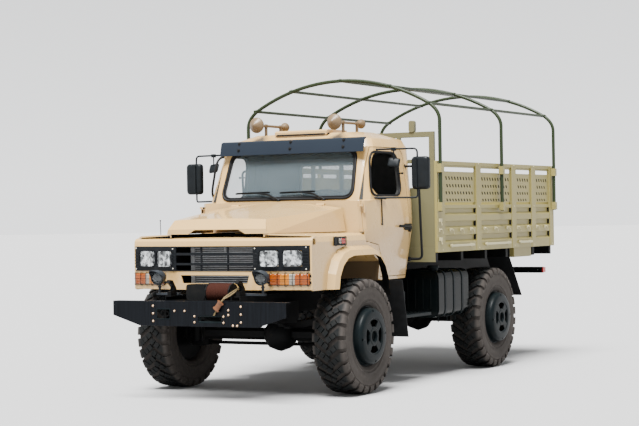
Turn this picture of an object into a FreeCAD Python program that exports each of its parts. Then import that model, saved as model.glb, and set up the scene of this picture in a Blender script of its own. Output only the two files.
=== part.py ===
import FreeCAD, Part
import math
import os

import Sketcher

# Military cargo truck with a bonneted cab, four driven wheels and a bow-topped cargo body.
# Frame: +Z up, +X to the truck's left, -Y forward, origin on the ground under the middle of the truck.
# Lengths are in millimetres. Heights above the frame's top and distances behind the cab's datum
# are the driving dimensions, so a change of tyre or wheelbase carries the whole truck with it.

SIZES = {
    # wheels and tyres
    "tyre_radius": 560, "tyre_width": 352, "tread_width": 306, "lug_height": 20, "lug_width": 74,
    "bead_radius": 262, "bead_width": 282, "sidewall_step": 34, "lugs_per_side": 14, "ring_sides": 14,
    "rim_flange_radius": 298, "rim_flange_thickness": 14, "rim_barrel_thickness": 12, "wheel_face": 226,
    "wheel_face_radius": 273, "wheel_disc_thickness": 16, "wheel_disc_inset": 6, "wheel_windows": 4,
    "window_inner_radius": 92, "window_outer_radius": 166, "hub_cap_radius": 62, "hub_cap_length": 34, "hub_radius": 105,
    "hub_length": 120, "spindle_radius": 40, "spindle_clearance": 0.1,
    # layout of the axles
    "wheelbase": 3100, "front_overhang": 1222, "rear_overhang": 1830, "track": 2008, "cab_datum": 170,
    "axle_tube_radius": 62, "diff_radius": 170, "diff_depth": 150, "diff_offset": 185,
    "kingpin_x": 805, "kingpin_radius": 28, "kingpin_reach": 128, "fork_thickness": 44,
    "knuckle_radius": 78, "brake_radius": 190, "brake_width": 46, "rear_brake_x": 760,
    # steering linkage
    "steer_arm_length": 235, "steer_arm_inset": 0, "tie_rod_radius": 18, "ball_joint_radius": 16,
    # ladder frame
    "axle_to_frame": 230, "rail_height": 200, "rail_flange": 70, "rail_thickness": 9, "frame_width": 840,
    "frame_front": 1130, "frame_rear_inset": 150, "crossmember_depth": 60, "crossmember_height": 120,
    "hanger_depth": 70, "hanger_height": 62, "hook_width": 40, "hook_height": 150,
    # springs
    "spring_width": 74, "leaf_thickness": 18, "leaf_count": 4, "front_spring_half": 560,
    "rear_spring_half": 640, "spring_eye_radius": 26, "ubolt_radius": 9,
    # drivetrain
    "shaft_radius": 38, "gearcase_length": 420, "gearcase_width": 380, "gearcase_height": 300,
    "gearcase_behind": 1300, "gearcase_inset": 60, "engine_length": 900, "engine_width": 560, "engine_height": 700,
    "engine_ahead": 620, "engine_below": 130,
    # bumper and winch
    "bumper_half_width": 963, "bumper_height": 234, "bumper_end_height": 138, "bumper_chamfer_x": 656,
    "bumper_depth": 92, "bumper_wall": 8, "bumper_drop": 46, "hook_slot_x": 380, "hook_slot_width": 158,
    "hook_slot_height": 98, "hook_slot_rise": 65, "hook_pocket": 62, "rope_slot_x": 139, "rope_slot_width": 258,
    "rope_slot_height": 72, "rope_slot_rise": 34, "drum_radius": 78, "drum_length": 270,
    "drum_flange_radius": 112, "drum_flange_thickness": 12, "drum_ahead": 1180, "winch_plate": 14,
    "gearbox_width": 210, "gearbox_depth": 118, "gearbox_height": 150, "rope_radius": 9,
    # front lamps on brackets
    "spot_x": 580, "spot_ahead": 1155, "spot_height": 176, "spot_radius": 82, "spot_depth": 92,
    "spot_hood": 46,
    # front panel and grille
    "panel_ahead": 970, "panel_bow": 110, "panel_half_width": 1004, "panel_thickness": 16, "panel_bottom": 48,
    "panel_top": 470, "panel_cap_top": 548, "panel_cap_depth": 85, "grille_bottom": 226,
    "grille_top": 462, "grille_half_width": 985, "lower_slot_half": 385, "lower_slot_bottom": 110,
    "lower_slot_top": 186, "bezel_inner": 435, "bezel_depth": 24, "lamp_inset": 62, "lamp_width": 186,
    "lamp_height": 150, "lamp_gap": 44, "lamp_depth": 16, "bar_height": 24, "bar_depth": 22, "turn_width": 385,
    "turn_height": 104, "turn_depth": 34, "turn_bottom": 96, "radiator_depth": 60,
    "radiator_half_width": 400, "radiator_bottom": 40, "radiator_top": 500, "radiator_ahead": 870,
    # bonnet
    "hood_ahead": 1040, "hood_bottom": 578.3, "hood_nose_top": 712, "hood_rear_top": 872,
    "hood_front_half": 565, "hood_crease_front_half": 515, "hood_rear_half": 790,
    "hood_crease_rear_half": 790, "hood_nose_rake": 62, "hood_behind": 92, "hood_thickness": 14, "hood_hinge_ahead": 18,
    "hood_crown": 26, "scoop_half_width": 330, "scoop_top_half": 250, "scoop_height": 40,
    # wings
    "wing_thickness": 14, "wing_half_width": 1000, "wing_inner_half": 520, "wing_top": 578,
    "wing_shoulder": 560, "wing_bottom": 40, "wing_gap": 6, "arch_front": 600, "arch_rear": 450,
    "arch_top": 350, "flare_width": 90, "flare_rise": 90, "flare_rear": 50, "flare_band": 30,
    "side_lamp_ahead": 415, "side_lamp_height": 492,
    # cab
    "cab_wall": 42, "cab_floor": 80, "cab_sill_half": 930, "cab_belt_half": 985, "cab_gutter_half": 896,
    "cab_roof_half": 640, "cab_belt": 610, "cowl_height": 880, "gutter_height": 1430,
    "roof_edge": 1512, "roof_top": 1590, "firewall": 128, "screen_foot": 268, "screen_head": 468,
    "roof_front": 560, "roof_rear": 1140, "cab_rear_sill": 1225, "cab_rear_belt": 1300,
    "cab_rear_gutter": 1372, "cab_corner": 150, "pillar_outer": 850, "toe_rear": 500, "toe_height": 190,
    "screen_half_width": 775, "screen_head_half": 735, "screen_bottom": 908, "screen_top": 1404,
    "glass_thickness": 6, "glass_clearance": 0.3, "rear_window_half": 430, "rear_window_bottom": 960,
    "rear_window_top": 1290,
    # doors
    "door_front": 180, "door_rear": 1130, "door_bottom": 116, "door_top": 1418, "door_gap": 6,
    "window_front": 345, "window_rear": 1010, "window_bottom": 930, "window_top": 1372,
    "door_window_radius": 110, "handle_behind": 940, "handle_height": 605, "handle_length": 150,
    "hinge_in": 30, "hinge_radius": 11, "hinge_low": 510, "hinge_high": 760, "hinge_length": 64,
    # interior
    "seat_width": 520, "seat_depth": 440, "seat_height": 300, "seat_thickness": 120,
    "seat_back_height": 520, "seat_x": 420, "seat_behind": 740, "dash_height": 760, "dash_depth": 190, "dash_half": 790,
    "steering_wheel_radius": 220, "steering_rim_radius": 14, "column_radius": 22,
    # roof and cab fittings
    "visor_half_width": 850, "visor_height": 150, "visor_thickness": 8, "visor_top": 1524,
    "visor_ahead": 60, "hatch_half_width": 310, "hatch_front": 600, "hatch_rear": 1040,
    "hatch_thickness": 24, "hatch_gap": 12, "horn_x": 462, "horn_height": 1690, "horn_front": 480,
    "horn_rear": 1070, "horn_big_radius": 82, "horn_small_radius": 50, "horn_tube_radius": 14,
    "mirror_x": 1350, "mirror_behind": 640, "mirror_width": 190, "mirror_height": 330,
    "mirror_depth": 60, "mirror_bottom": 985, "arm_radius": 10, "arm_top": 1396, "arm_bottom": 905,
    "arm_root_top": 570, "arm_root_low": 390, "small_mirror_x": 1075,
    "rail_tube_radius": 13, "grab_out": 85, "grab_top": 1235, "grab_bottom": 272, "wiper_length": 400,
    # steps, tank, mudguards
    "step_front": 740, "step_rear": 1430, "step_height": 320, "step_inner": 600, "step_outer": 1070,
    "step_thickness": 30, "box_front": 780, "box_rear": 1060, "box_top": 64, "tank_front": 1560,
    "tank_length": 760, "tank_height": 500, "tank_outer": 1100, "tank_depth": 560, "tank_radius": 90,
    "tank_top": 140, "strap_width": 40, "strap_thickness": 8, "flap_thickness": 10, "flap_width": 286,
    "front_flap_inner": 850, "front_flap_width": 300, "flap_front": 600, "flap_lean": 120,
    "guard_behind": 520, "guard_lean": 350,
    # cargo body
    "bed_front": 1460, "bed_half_width": 1150, "bed_height": 380, "bed_thickness": 40,
    "beam_height": 110, "sill_height": 150, "sill_width": 70, "side_height": 964, "side_thickness": 34,
    "post_width": 130, "lattice_bottom": 500, "lattice_thickness": 8, "headboard_height": 635,
    "headboard_post": 60, "headboard_rail_top": 1604, "tailgate_height": 560, "slot_height": 44,
    "slot_drop": 64, "rib_height": 70, "gap_height": 26, "gate_hinge_radius": 16, "bow_radius": 20, "bow_half_width": 1176,
    "bow_elbow": 1829, "bow_top": 2190, "bow_arc": 2050, "bow_foot": 760, "bow_bend": 150,
    "bar_radius": 12, "marker_height": 120, "marker_width": 66, "marker_x": 860,
    "tool_front": 3590, "tool_length": 520, "tool_height": 120, "tool_depth": 420,
    "lamp_bar_height": 74, "lamp_bar_rise": 0.3, "lamp_bar_half": 1050, "lamp_bar_inset": 170,
    "seat_gap": 0.3,
}


class Size:
    """A number that keeps the spreadsheet formula it was worked out from."""

    def __init__(self, value, formula):
        self.value = float(value)
        self.formula = formula

    def __float__(self):
        return self.value

    def _with(self, other, sign, reverse=False):
        theirs = other if isinstance(other, Size) else Size(other, repr(float(other)))
        left, right = (theirs, self) if reverse else (self, theirs)
        value = {
            "+": lambda a, b: a + b,
            "-": lambda a, b: a - b,
            "*": lambda a, b: a * b,
            "/": lambda a, b: a / b,
        }[sign](left.value, right.value)
        return Size(value, f"({left.formula} {sign} {right.formula})")

    def __add__(self, other):
        return self._with(other, "+")

    def __radd__(self, other):
        return self._with(other, "+", True)

    def __sub__(self, other):
        return self._with(other, "-")

    def __rsub__(self, other):
        return self._with(other, "-", True)

    def __mul__(self, other):
        return self._with(other, "*")

    def __rmul__(self, other):
        return self._with(other, "*", True)

    def __truediv__(self, other):
        return self._with(other, "/")

    def __rtruediv__(self, other):
        return self._with(other, "/", True)

    def __neg__(self):
        return self._with(-1, "*")


class SizeSheet:
    """The spreadsheet of driving dimensions, read as Size values by name."""

    def __init__(self, document, sizes):
        self.sheet = document.addObject("Spreadsheet::Sheet", "Sizes")
        for row, (name, value) in enumerate(sizes.items(), start=1):
            self.sheet.set(f"A{row}", name)
            self.sheet.set(f"B{row}", str(value))
            self.sheet.setAlias(f"B{row}", name)
        document.recompute()

    def __getattr__(self, name):
        return Size(self.sheet.get(name), f"Sizes.{name}")


doc = FreeCAD.newDocument("CargoTruck")
S = SizeSheet(doc, SIZES)

# Stations along the truck and levels above the ground.
FRONT_AXLE = (S.front_overhang - S.wheelbase - S.rear_overhang) / 2
REAR_AXLE = FRONT_AXLE + S.wheelbase
REAR_END = REAR_AXLE + S.rear_overhang
CAB_DATUM = FRONT_AXLE + S.cab_datum
FRAME_BOTTOM = S.tyre_radius + S.axle_to_frame
FRAME_TOP = FRAME_BOTTOM + S.rail_height


def behind(distance):
    """The station that lies this far behind the cab's datum, near the arch of the front wheels."""
    return CAB_DATUM + distance


def above(height):
    """The level that lies this far above the frame's top."""
    return FRAME_TOP + height


# General helpers for the document's objects

def bind(thing, prop, size):
    """Gives a property its value, and its formula where it has one."""
    if isinstance(size, Size):
        thing.setExpression(prop, size.formula)
    else:
        parts = prop.split(".")
        if len(parts) == 1:
            setattr(thing, prop, size)
        else:
            thing.setExpression(prop, repr(float(size)))


def place(thing, x=0, y=0, z=0):
    """Moves an object by three sizes."""
    for axis, size in zip("xyz", (x, y, z)):
        bind(thing, f"Placement.Base.{axis}", size)
    return thing


def vector(x, y, z):
    return FreeCAD.Vector(float(x), float(y), float(z))


PLANES = {"XY": ("XY_Plane", 1), "XZ": ("XZ_Plane", -1), "YZ": ("YZ_Plane", 1)}


def sketch_on(body, plane, level):
    """A sketch on one of the body's own origin planes, moved out to a level along its axis."""
    role, sign = PLANES[plane]
    found = [f for f in body.Origin.OriginFeatures if f.Role == role][0]
    sketch = body.newObject("Sketcher::SketchObject", "Sketch")
    sketch.AttachmentSupport = (found, "")
    sketch.MapMode = "FlatFace"
    bind(sketch, "AttachmentOffset.Base.z", level * sign)
    return sketch


def draw_outline(sketch, points):
    """A closed outline of straight lines whose corners are all bound to sizes."""
    first = sketch.GeometryCount
    count = len(points)
    corners = [vector(u, v, 0) for u, v in points]
    lines = [Part.LineSegment(corners[i], corners[(i + 1) % count]) for i in range(count)]
    sketch.addGeometry(lines, False)
    for i in range(count):
        sketch.addConstraint(
            Sketcher.Constraint("Coincident", first + i, 2, first + (i + 1) % count, 1)
        )
    for i, point in enumerate(points):
        for kind, size in zip(("DistanceX", "DistanceY"), point):
            k = sketch.addConstraint(Sketcher.Constraint(kind, -1, 1, first + i, 1, float(size)))
            if isinstance(size, Size):
                sketch.setExpression(f"Constraints[{k}]", size.formula)


def draw_circle(sketch, u, v, radius):
    """A circle whose centre and radius are bound to sizes."""
    circle = Part.Circle(vector(u, v, 0), FreeCAD.Vector(0, 0, 1), float(radius))
    g = sketch.addGeometry(circle, False)
    for kind, size in (("DistanceX", u), ("DistanceY", v)):
        k = sketch.addConstraint(Sketcher.Constraint(kind, -1, 1, g, 3, float(size)))
        if isinstance(size, Size):
            sketch.setExpression(f"Constraints[{k}]", size.formula)
    k = sketch.addConstraint(Sketcher.Constraint("Radius", g, float(radius)))
    if isinstance(radius, Size):
        sketch.setExpression(f"Constraints[{k}]", radius.formula)


def prism(name, plane, outline, low, high, holes=(), circles=()):
    """A body padded from an outline, from one level to another along the plane's axis."""
    body = doc.addObject("PartDesign::Body", name)
    sketch = sketch_on(body, plane, low)
    draw_outline(sketch, outline)
    for hole in holes:
        draw_outline(sketch, hole)
    for circle in circles:
        draw_circle(sketch, *circle)
    pad = body.newObject("PartDesign::Pad", "Pad")
    pad.Profile = sketch
    bind(pad, "Length", high - low)
    pad.Reversed = PLANES[plane][1] < 0
    sketch.Visibility = False
    return body


def turned(name, profile, axis="X", sides=10):
    """A solid turned about the X or Y axis from a half profile of (along, out) points."""
    shape = ring_of_flats(profile, sides)
    if axis == "Y":
        shape.rotate(FreeCAD.Vector(), FreeCAD.Vector(0, 0, 1), 90)
    return feature(name, shape)


def box(name, x, y, z, length, width, height):
    """A block from its lowest corner and its three lengths."""
    block = doc.addObject("Part::Box", name)
    bind(block, "Length", length)
    bind(block, "Width", width)
    bind(block, "Height", height)
    return place(block, x, y, z)


TURNS = {
    "X": FreeCAD.Rotation(FreeCAD.Vector(0, 1, 0), 90),
    "Y": FreeCAD.Rotation(FreeCAD.Vector(1, 0, 0), -90),
    "Z": FreeCAD.Rotation(),
}


def rod(name, axis, x, y, z, radius, length, sides=6):
    """A round bar along an axis from the centre of its lower end, in flats."""
    bar = doc.addObject("Part::Prism", name)
    bar.Polygon = sides
    bind(bar, "Circumradius", radius)
    bind(bar, "Height", length)
    bar.Placement = FreeCAD.Placement(FreeCAD.Vector(), TURNS[axis])
    return place(bar, x, y, z)


def pin(name, axis, x, y, z, radius, length):
    """A pin or barrel that a joint turns on: finer flats than a plain bar, with corners at its sides."""
    return rod(name, axis, x, y, z, radius, length, 12)


def feature(name, shape):
    """A plain feature around a shape made with Part's own functions."""
    made = doc.addObject("Part::Feature", name)
    made.Shape = shape
    return made


def fused(name, *things):
    joined = doc.addObject("Part::MultiFuse", name)
    joined.Shapes = list(things)
    joined.Refine = True
    return joined


def cut(name, base, tool):
    result = doc.addObject("Part::Cut", name)
    result.Base = base
    result.Tool = tool
    result.Refine = True
    return result


def common(name, base, tool):
    result = doc.addObject("Part::Common", name)
    result.Base = base
    result.Tool = tool
    return result


def group(name, *things):
    """Like pieces on one body, kept as separate solids in one sub-part."""
    compound = doc.addObject("Part::Compound", name)
    compound.Links = list(things)
    return compound


def mirrored(thing, name=None):
    """The same piece on the truck's other side."""
    twin = doc.addObject("Part::Mirroring", name or thing.Name + "_twin")
    twin.Source = thing
    twin.Normal = FreeCAD.Vector(1, 0, 0)
    return twin


def both_sides(name, thing):
    return group(name, thing, mirrored(thing))


def subpart(thing, label):
    """Registers a finished sub-part under its node name."""
    thing.Label = label
    SUBPARTS.append(thing)
    return thing


SUBPARTS = []


def softened(points, bend, steps=3):
    """The corners of an open line, each rounded off in short chords."""
    corners = [p if isinstance(p, FreeCAD.Vector) else vector(*p) for p in points]
    line = [corners[0]]
    for before, corner, after in zip(corners, corners[1:], corners[2:]):
        into, out = (before - corner).normalize(), (after - corner).normalize()
        half = into.getAngle(out) / 2
        trim = float(bend) / math.tan(half)
        middle = (into + out).normalize()
        centre = corner + middle * (float(bend) / math.sin(half))
        first, last = corner + into * trim - centre, corner + out * trim - centre
        sweep = math.pi - 2 * half
        for k in range(steps + 1):
            share = sweep * k / steps
            mix = first * (math.sin(sweep - share) / math.sin(sweep)) + last * (math.sin(share) / math.sin(sweep))
            line.append(centre + mix)
    return line + [corners[-1]]


def tube_along(line, radius, sides=6):
    """A tube in flats along a line of points, mitred where the line turns."""
    ways = [(b - a).normalize() for a, b in zip(line, line[1:])]
    first = ways[0]
    across = first.cross(FreeCAD.Vector(0, 0, 1))
    if across.Length < 0.1:
        across = first.cross(FreeCAD.Vector(0, 1, 0))
    across.normalize()
    up = across.cross(first).normalize()
    ring = []
    for k in range(sides):
        a = 2 * math.pi * (k + 0.5) / sides
        ring.append(line[0] + across * (float(radius) * math.cos(a)) + up * (float(radius) * math.sin(a)))
    rings = [ring]
    for i in range(1, len(line)):
        way = ways[i - 1]
        normal = way if i == len(line) - 1 else (way + ways[i]).normalize()
        rings.append([q + way * ((line[i] - q).dot(normal) / way.dot(normal)) for q in rings[-1]])
    return lofted(rings)


def bent_tube(points, radius, bend, sides=6, steps=2):
    """A tube in flats along straight runs joined by bends."""
    return tube_along(softened(points, bend, steps), radius, sides)


def short_bar(start, way, radius, length, sides=6):
    """A short round bar in flats."""
    return tube_along([start, start + FreeCAD.Vector(way).normalize() * float(length)], radius, sides)


def flats(points):
    """The flat faces that span three or four corners."""
    kept = [p for i, p in enumerate(points) if (p - points[i - 1]).Length > 1e-6]
    if len(kept) < 3:
        return []
    if len(kept) == 4:
        a, b, c, d = kept
        normal = (b - a).cross(c - a)
        if normal.Length < 1e-9 or abs(normal.normalize().dot(d - a)) > 1e-7:
            return flats([a, b, c]) + flats([a, c, d])
    if len(kept) == 3 and (kept[1] - kept[0]).cross(kept[2] - kept[0]).Length < 1e-6:
        return []
    return [Part.Face(Part.makePolygon(kept + kept[:1]))]


def closed_solid(faces):
    solid = Part.Solid(Part.Shell(faces))
    if solid.Volume < 0:
        solid.reverse()
    return solid


def lofted(rings):
    """A solid through rings with equal numbers of corners, in flat facets, closed at both ends."""
    faces = [Part.Face(Part.makePolygon(ring + ring[:1])) for ring in (rings[0], rings[-1])]
    count = len(rings[0])
    for lower, upper in zip(rings, rings[1:]):
        for i in range(count):
            j = (i + 1) % count
            faces += flats([lower[i], lower[j], upper[j], upper[i]])
    return closed_solid(faces)


def soft_corners(points, radius, steps=3):
    """A closed outline whose corners are rounded off in short chords."""
    count = len(points)
    r = float(radius)
    outline = []
    for i, corner in enumerate(points):
        before, after = points[i - 1], points[(i + 1) % count]
        outline += softened([(before + corner) * 0.5, corner, (corner + after) * 0.5], r, steps)[1:-1]
    return outline


def polygon_face(points):
    corners = [vector(*p) for p in points]
    return Part.Face(Part.makePolygon(corners + corners[:1]))


def plan_ring(level, half_width, front, rear, corner, steps=3):
    """The corners of a rounded rectangle at one level, symmetric about the truck's middle."""
    z, w, f, b, r = (float(v) for v in (level, half_width, front, rear, corner))
    ring = []
    for x, y, start in ((w - r, f + r, -90), (w - r, b - r, 0), (r - w, b - r, 90), (r - w, f + r, 180)):
        for k in range(steps + 1):
            a = math.radians(start + 90.0 * k / steps)
            ring.append(FreeCAD.Vector(x + r * math.cos(a), y + r * math.sin(a), z))
    return ring


# Wheels and tyres

def ring_of_flats(profile, sides, phase=0.0):
    """A ring turned about X from a closed (along, radius) profile, in flats so that it stays light."""
    points = [
        [
            FreeCAD.Vector(
                float(x),
                float(r) * math.sin(2 * math.pi * (k + phase) / sides),
                float(r) * math.cos(2 * math.pi * (k + phase) / sides),
            )
            for k in range(sides)
        ]
        for x, r in profile
    ]
    faces = []
    for i in range(len(profile)):
        here, there = points[i], points[(i + 1) % len(profile)]
        for k in range(sides):
            j = (k + 1) % sides
            faces += flats([here[k], here[j], there[j], there[k]])
    return closed_solid(faces)


def tyre_shape():
    """A tyre with a row of slanted lugs on each half of its tread."""
    half, bead = S.tyre_width / 2, S.bead_width / 2
    crown = S.tyre_radius - S.lug_height
    shoulder = S.tread_width / 2
    flank = S.rim_flange_radius + S.sidewall_step
    right = [
        (bead, S.bead_radius),
        (bead, S.rim_flange_radius),
        (half - 12, flank),
        (half, (flank + crown) / 2),
        (shoulder + 1, crown - 5),
    ]
    profile = right + [(-x, r) for x, r in reversed(right)]
    sides = int(float(S.ring_sides))
    solid = ring_of_flats(profile, sides)
    count = int(float(S.lugs_per_side))
    slant = float(S.lug_width) * 0.55
    block = float(S.lug_width) / 2
    reach = slant / 2 + block
    top = math.sqrt(float(S.tyre_radius) ** 2 - reach**2)
    bottom = float(crown) - 24
    inner, outer = 10.0, float(shoulder)
    lugs = []
    for side in (1, -1):
        corners = [
            (side * inner, -slant / 2 - block),
            (side * inner, -slant / 2 + block),
            (side * outer, slant / 2 + block),
            (side * outer, slant / 2 - block),
        ]
        foot = polygon_face([(x, u, bottom) for x, u in corners])
        lug = foot.extrude(FreeCAD.Vector(0, 0, top - bottom))
        for k in range(count):
            turn = 360.0 / count * (k + 0.5 + 0.12 * side)
            copy = lug.copy()
            copy.rotate(FreeCAD.Vector(), FreeCAD.Vector(1, 0, 0), turn)
            lugs.append(copy)
    return solid.multiFuse(lugs).removeSplitter()


def wheel_shape(bore):
    """A rim with its disc, windows and hub, all about the X axis, its outer side towards +X."""
    bead = S.bead_width / 2
    lip = bead + S.rim_flange_thickness
    well = S.bead_radius - S.rim_barrel_thickness
    face = S.wheel_face
    edge = S.wheel_face_radius
    rim_profile = [
        (bead, S.bead_radius),
        (bead, S.rim_flange_radius),
        (lip, S.rim_flange_radius),
        (lip + 4, edge + 15),
        (face, edge),
        (face, well + 4),
        (lip, well),
        (-lip, well),
        (-lip, S.rim_flange_radius),
        (-bead, S.rim_flange_radius),
        (-bead, S.bead_radius),
    ]
    sides = int(float(S.ring_sides))
    rim = ring_of_flats(rim_profile, sides)
    face_x = float(face - S.wheel_disc_inset)
    disc_back = face_x - float(S.wheel_disc_thickness)
    disc = ring_of_flats(
        [(face_x, 1.025 * well), (face_x, 8 + bore), (disc_back, 8 + bore), (disc_back, 1.025 * well)],
        sides,
    )
    count = int(float(S.wheel_windows))
    sweep = math.pi / count * 0.62
    inner, outer = float(S.window_inner_radius), float(S.window_outer_radius)
    corners = [(inner, -sweep), (outer, -sweep), (outer, sweep), (inner, sweep)]
    window = polygon_face(
        [(disc_back - 1, r * math.sin(a), r * math.cos(a)) for r, a in corners]
    ).extrude(FreeCAD.Vector(face_x - disc_back + 2, 0, 0))
    windows = []
    for k in range(count):
        copy = window.copy()
        copy.rotate(FreeCAD.Vector(), FreeCAD.Vector(1, 0, 0), 360.0 / count * k)
        windows.append(copy)
    hub_back = disc_back - float(S.hub_length)
    hub = ring_of_flats(
        [
            (face_x + 10, S.hub_cap_radius),
            (face_x + 10, bore),
            (hub_back, bore),
            (hub_back, 0.78 * float(S.window_inner_radius)),
            (face_x - 4, 0.78 * float(S.window_inner_radius)),
        ],
        sides // 2,
        0.5,
    )
    return rim.fuse(disc.cut(windows)).fuse(hub).removeSplitter()


def make_wheels():
    """Four tyres on four wheels, the outer side of each away from the truck."""
    tyre = tyre_shape()
    wheel = wheel_shape(
        float(S.spindle_radius + S.spindle_clearance) / math.cos(math.pi / (float(S.ring_sides) // 2))
    )
    places = {
        "front_left": (S.track / 2, FRONT_AXLE, 0),
        "front_right": (-S.track / 2, FRONT_AXLE, 180),
        "rear_left": (S.track / 2, REAR_AXLE, 0),
        "rear_right": (-S.track / 2, REAR_AXLE, 180),
    }
    for corner, (x, y, turn) in places.items():
        for kind, shape in (("tyre", tyre), ("wheel", wheel)):
            made = feature(f"{kind}_{corner}", shape.copy())
            made.Placement = FreeCAD.Placement(
                FreeCAD.Vector(), FreeCAD.Rotation(FreeCAD.Vector(0, 0, 1), turn)
            )
            place(made, x, y, S.tyre_radius)
            subpart(made, f"{kind}_{corner}")


# Axles, knuckles and steering linkage

def banjo(name, x, y, nose):
    """The bowl of a differential with a pinion nose that points towards the gear case."""
    r, d = S.diff_radius, S.diff_depth
    bowl = turned(
        name,
        [(-d, 0), (-d, r * 0.5), (-d * 0.55, r * 0.9), (0, r), (d * 0.55, r * 0.9), (d, r * 0.5), (d, 0)],
        "Y",
    )
    place(bowl, x, y, S.tyre_radius)
    start = y if nose > 0 else y - S.diff_depth - 150
    pinion = rod(name + "_pinion", "Y", x, start, S.tyre_radius, 72, S.diff_depth + 150)
    return bowl, pinion


def make_front_axle():
    """The driven front axle: tube, bowl, and a fork at each end that holds the knuckle's pins."""
    x_fork = S.kingpin_x - S.knuckle_radius - 34
    tube = rod("front_tube", "X", -x_fork, FRONT_AXLE, S.tyre_radius, S.axle_tube_radius, x_fork * 2)
    bowl, pinion = banjo("front_bowl", S.diff_offset, FRONT_AXLE, 1)
    pieces = [tube, bowl, pinion]
    reach, t = S.kingpin_reach, S.fork_thickness
    outline = [
        (x_fork, S.tyre_radius - reach),
        (S.kingpin_x + 38, S.tyre_radius - reach),
        (S.kingpin_x + 38, S.tyre_radius - reach + t),
        (x_fork + 26, S.tyre_radius - reach + t),
        (x_fork + 26, S.tyre_radius + reach - t),
        (S.kingpin_x + 38, S.tyre_radius + reach - t),
        (S.kingpin_x + 38, S.tyre_radius + reach),
        (x_fork, S.tyre_radius + reach),
    ]
    fork = prism("front_fork", "XZ", outline, FRONT_AXLE - 38, FRONT_AXLE + 38)
    pieces += [fork, mirrored(fork)]
    subpart(fused("FrontAxle", *pieces), "front_axle")


def make_rear_axle():
    """The driven rear axle: tube, bowl, brake back plates and the spindles that the wheels turn on."""
    end = S.track / 2 + S.wheel_face - S.wheel_disc_thickness * 2
    tube = rod("rear_tube", "X", -S.rear_brake_x, REAR_AXLE, S.tyre_radius, S.axle_tube_radius, S.rear_brake_x * 2)
    spindle = pin("rear_spindle", "X", -end, REAR_AXLE, S.tyre_radius, S.spindle_radius, end * 2)
    bowl, pinion = banjo("rear_bowl", S.diff_offset, REAR_AXLE, -1)
    plate = rod("rear_brake", "X", S.rear_brake_x - S.brake_width, REAR_AXLE, S.tyre_radius, S.brake_radius, S.brake_width)
    subpart(fused("RearAxle", tube, spindle, bowl, pinion, plate, mirrored(plate)), "rear_axle")


def steer_arm_end():
    """Where the steering arm's ball joint lies, as (x, y)."""
    return S.kingpin_x - S.steer_arm_inset, FRONT_AXLE + S.steer_arm_length


def make_knuckles():
    """A knuckle on each side: pins, body, brake, spindle and the arm for the tie rod."""
    z = S.tyre_radius
    height = (S.kingpin_reach - S.fork_thickness - S.seat_gap) * 2
    core = pin("knuckle_core", "Z", S.kingpin_x, FRONT_AXLE, z - height / 2, S.knuckle_radius - 30, height)
    end = S.track / 2 + S.wheel_face - S.wheel_disc_thickness * 2
    spindle = pin("knuckle_spindle", "X", S.kingpin_x, FRONT_AXLE, z, S.spindle_radius, end - S.kingpin_x)
    drum_x = S.kingpin_x + S.kingpin_radius + 32
    brake = rod("knuckle_brake", "X", drum_x, FRONT_AXLE, z, S.brake_radius * 0.6, 26)
    arm_x, arm_y = steer_arm_end()
    low = z - height / 2
    arm = prism(
        "steer_arm",
        "XY",
        [
            (S.kingpin_x - 26, FRONT_AXLE),
            (S.kingpin_x + 26, FRONT_AXLE),
            (arm_x + 22, arm_y + 24),
            (arm_x - 22, arm_y + 24),
        ],
        low,
        low + 26,
    )
    left = fused("KnuckleLeft", core, spindle, brake, arm)
    subpart(left, "knuckle_left")
    subpart(mirrored(left, "KnuckleRight"), "knuckle_right")


def make_tie_rod():
    """The rod that joins the two steering arms, hung under them on two ball pins."""
    arm_x, arm_y = steer_arm_end()
    height = (S.kingpin_reach - S.fork_thickness - S.seat_gap) * 2
    under = S.tyre_radius - height / 2 - S.seat_gap
    level = under - S.tie_rod_radius - 14
    bar = rod("tie_bar", "X", -arm_x, arm_y, level, S.tie_rod_radius, arm_x * 2)
    ball = pin("tie_pin", "Z", arm_x, arm_y, level, S.ball_joint_radius, under - level)
    eye = rod("tie_eye", "Z", arm_x, arm_y, level - 24, S.tie_rod_radius + 8, 44 - S.seat_gap)
    subpart(fused("TieRod", bar, ball, eye, mirrored(ball), mirrored(eye)), "tie_rod")


# Ladder frame and springs

def rail_middle():
    return S.frame_width / 2 - S.rail_flange / 2


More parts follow.
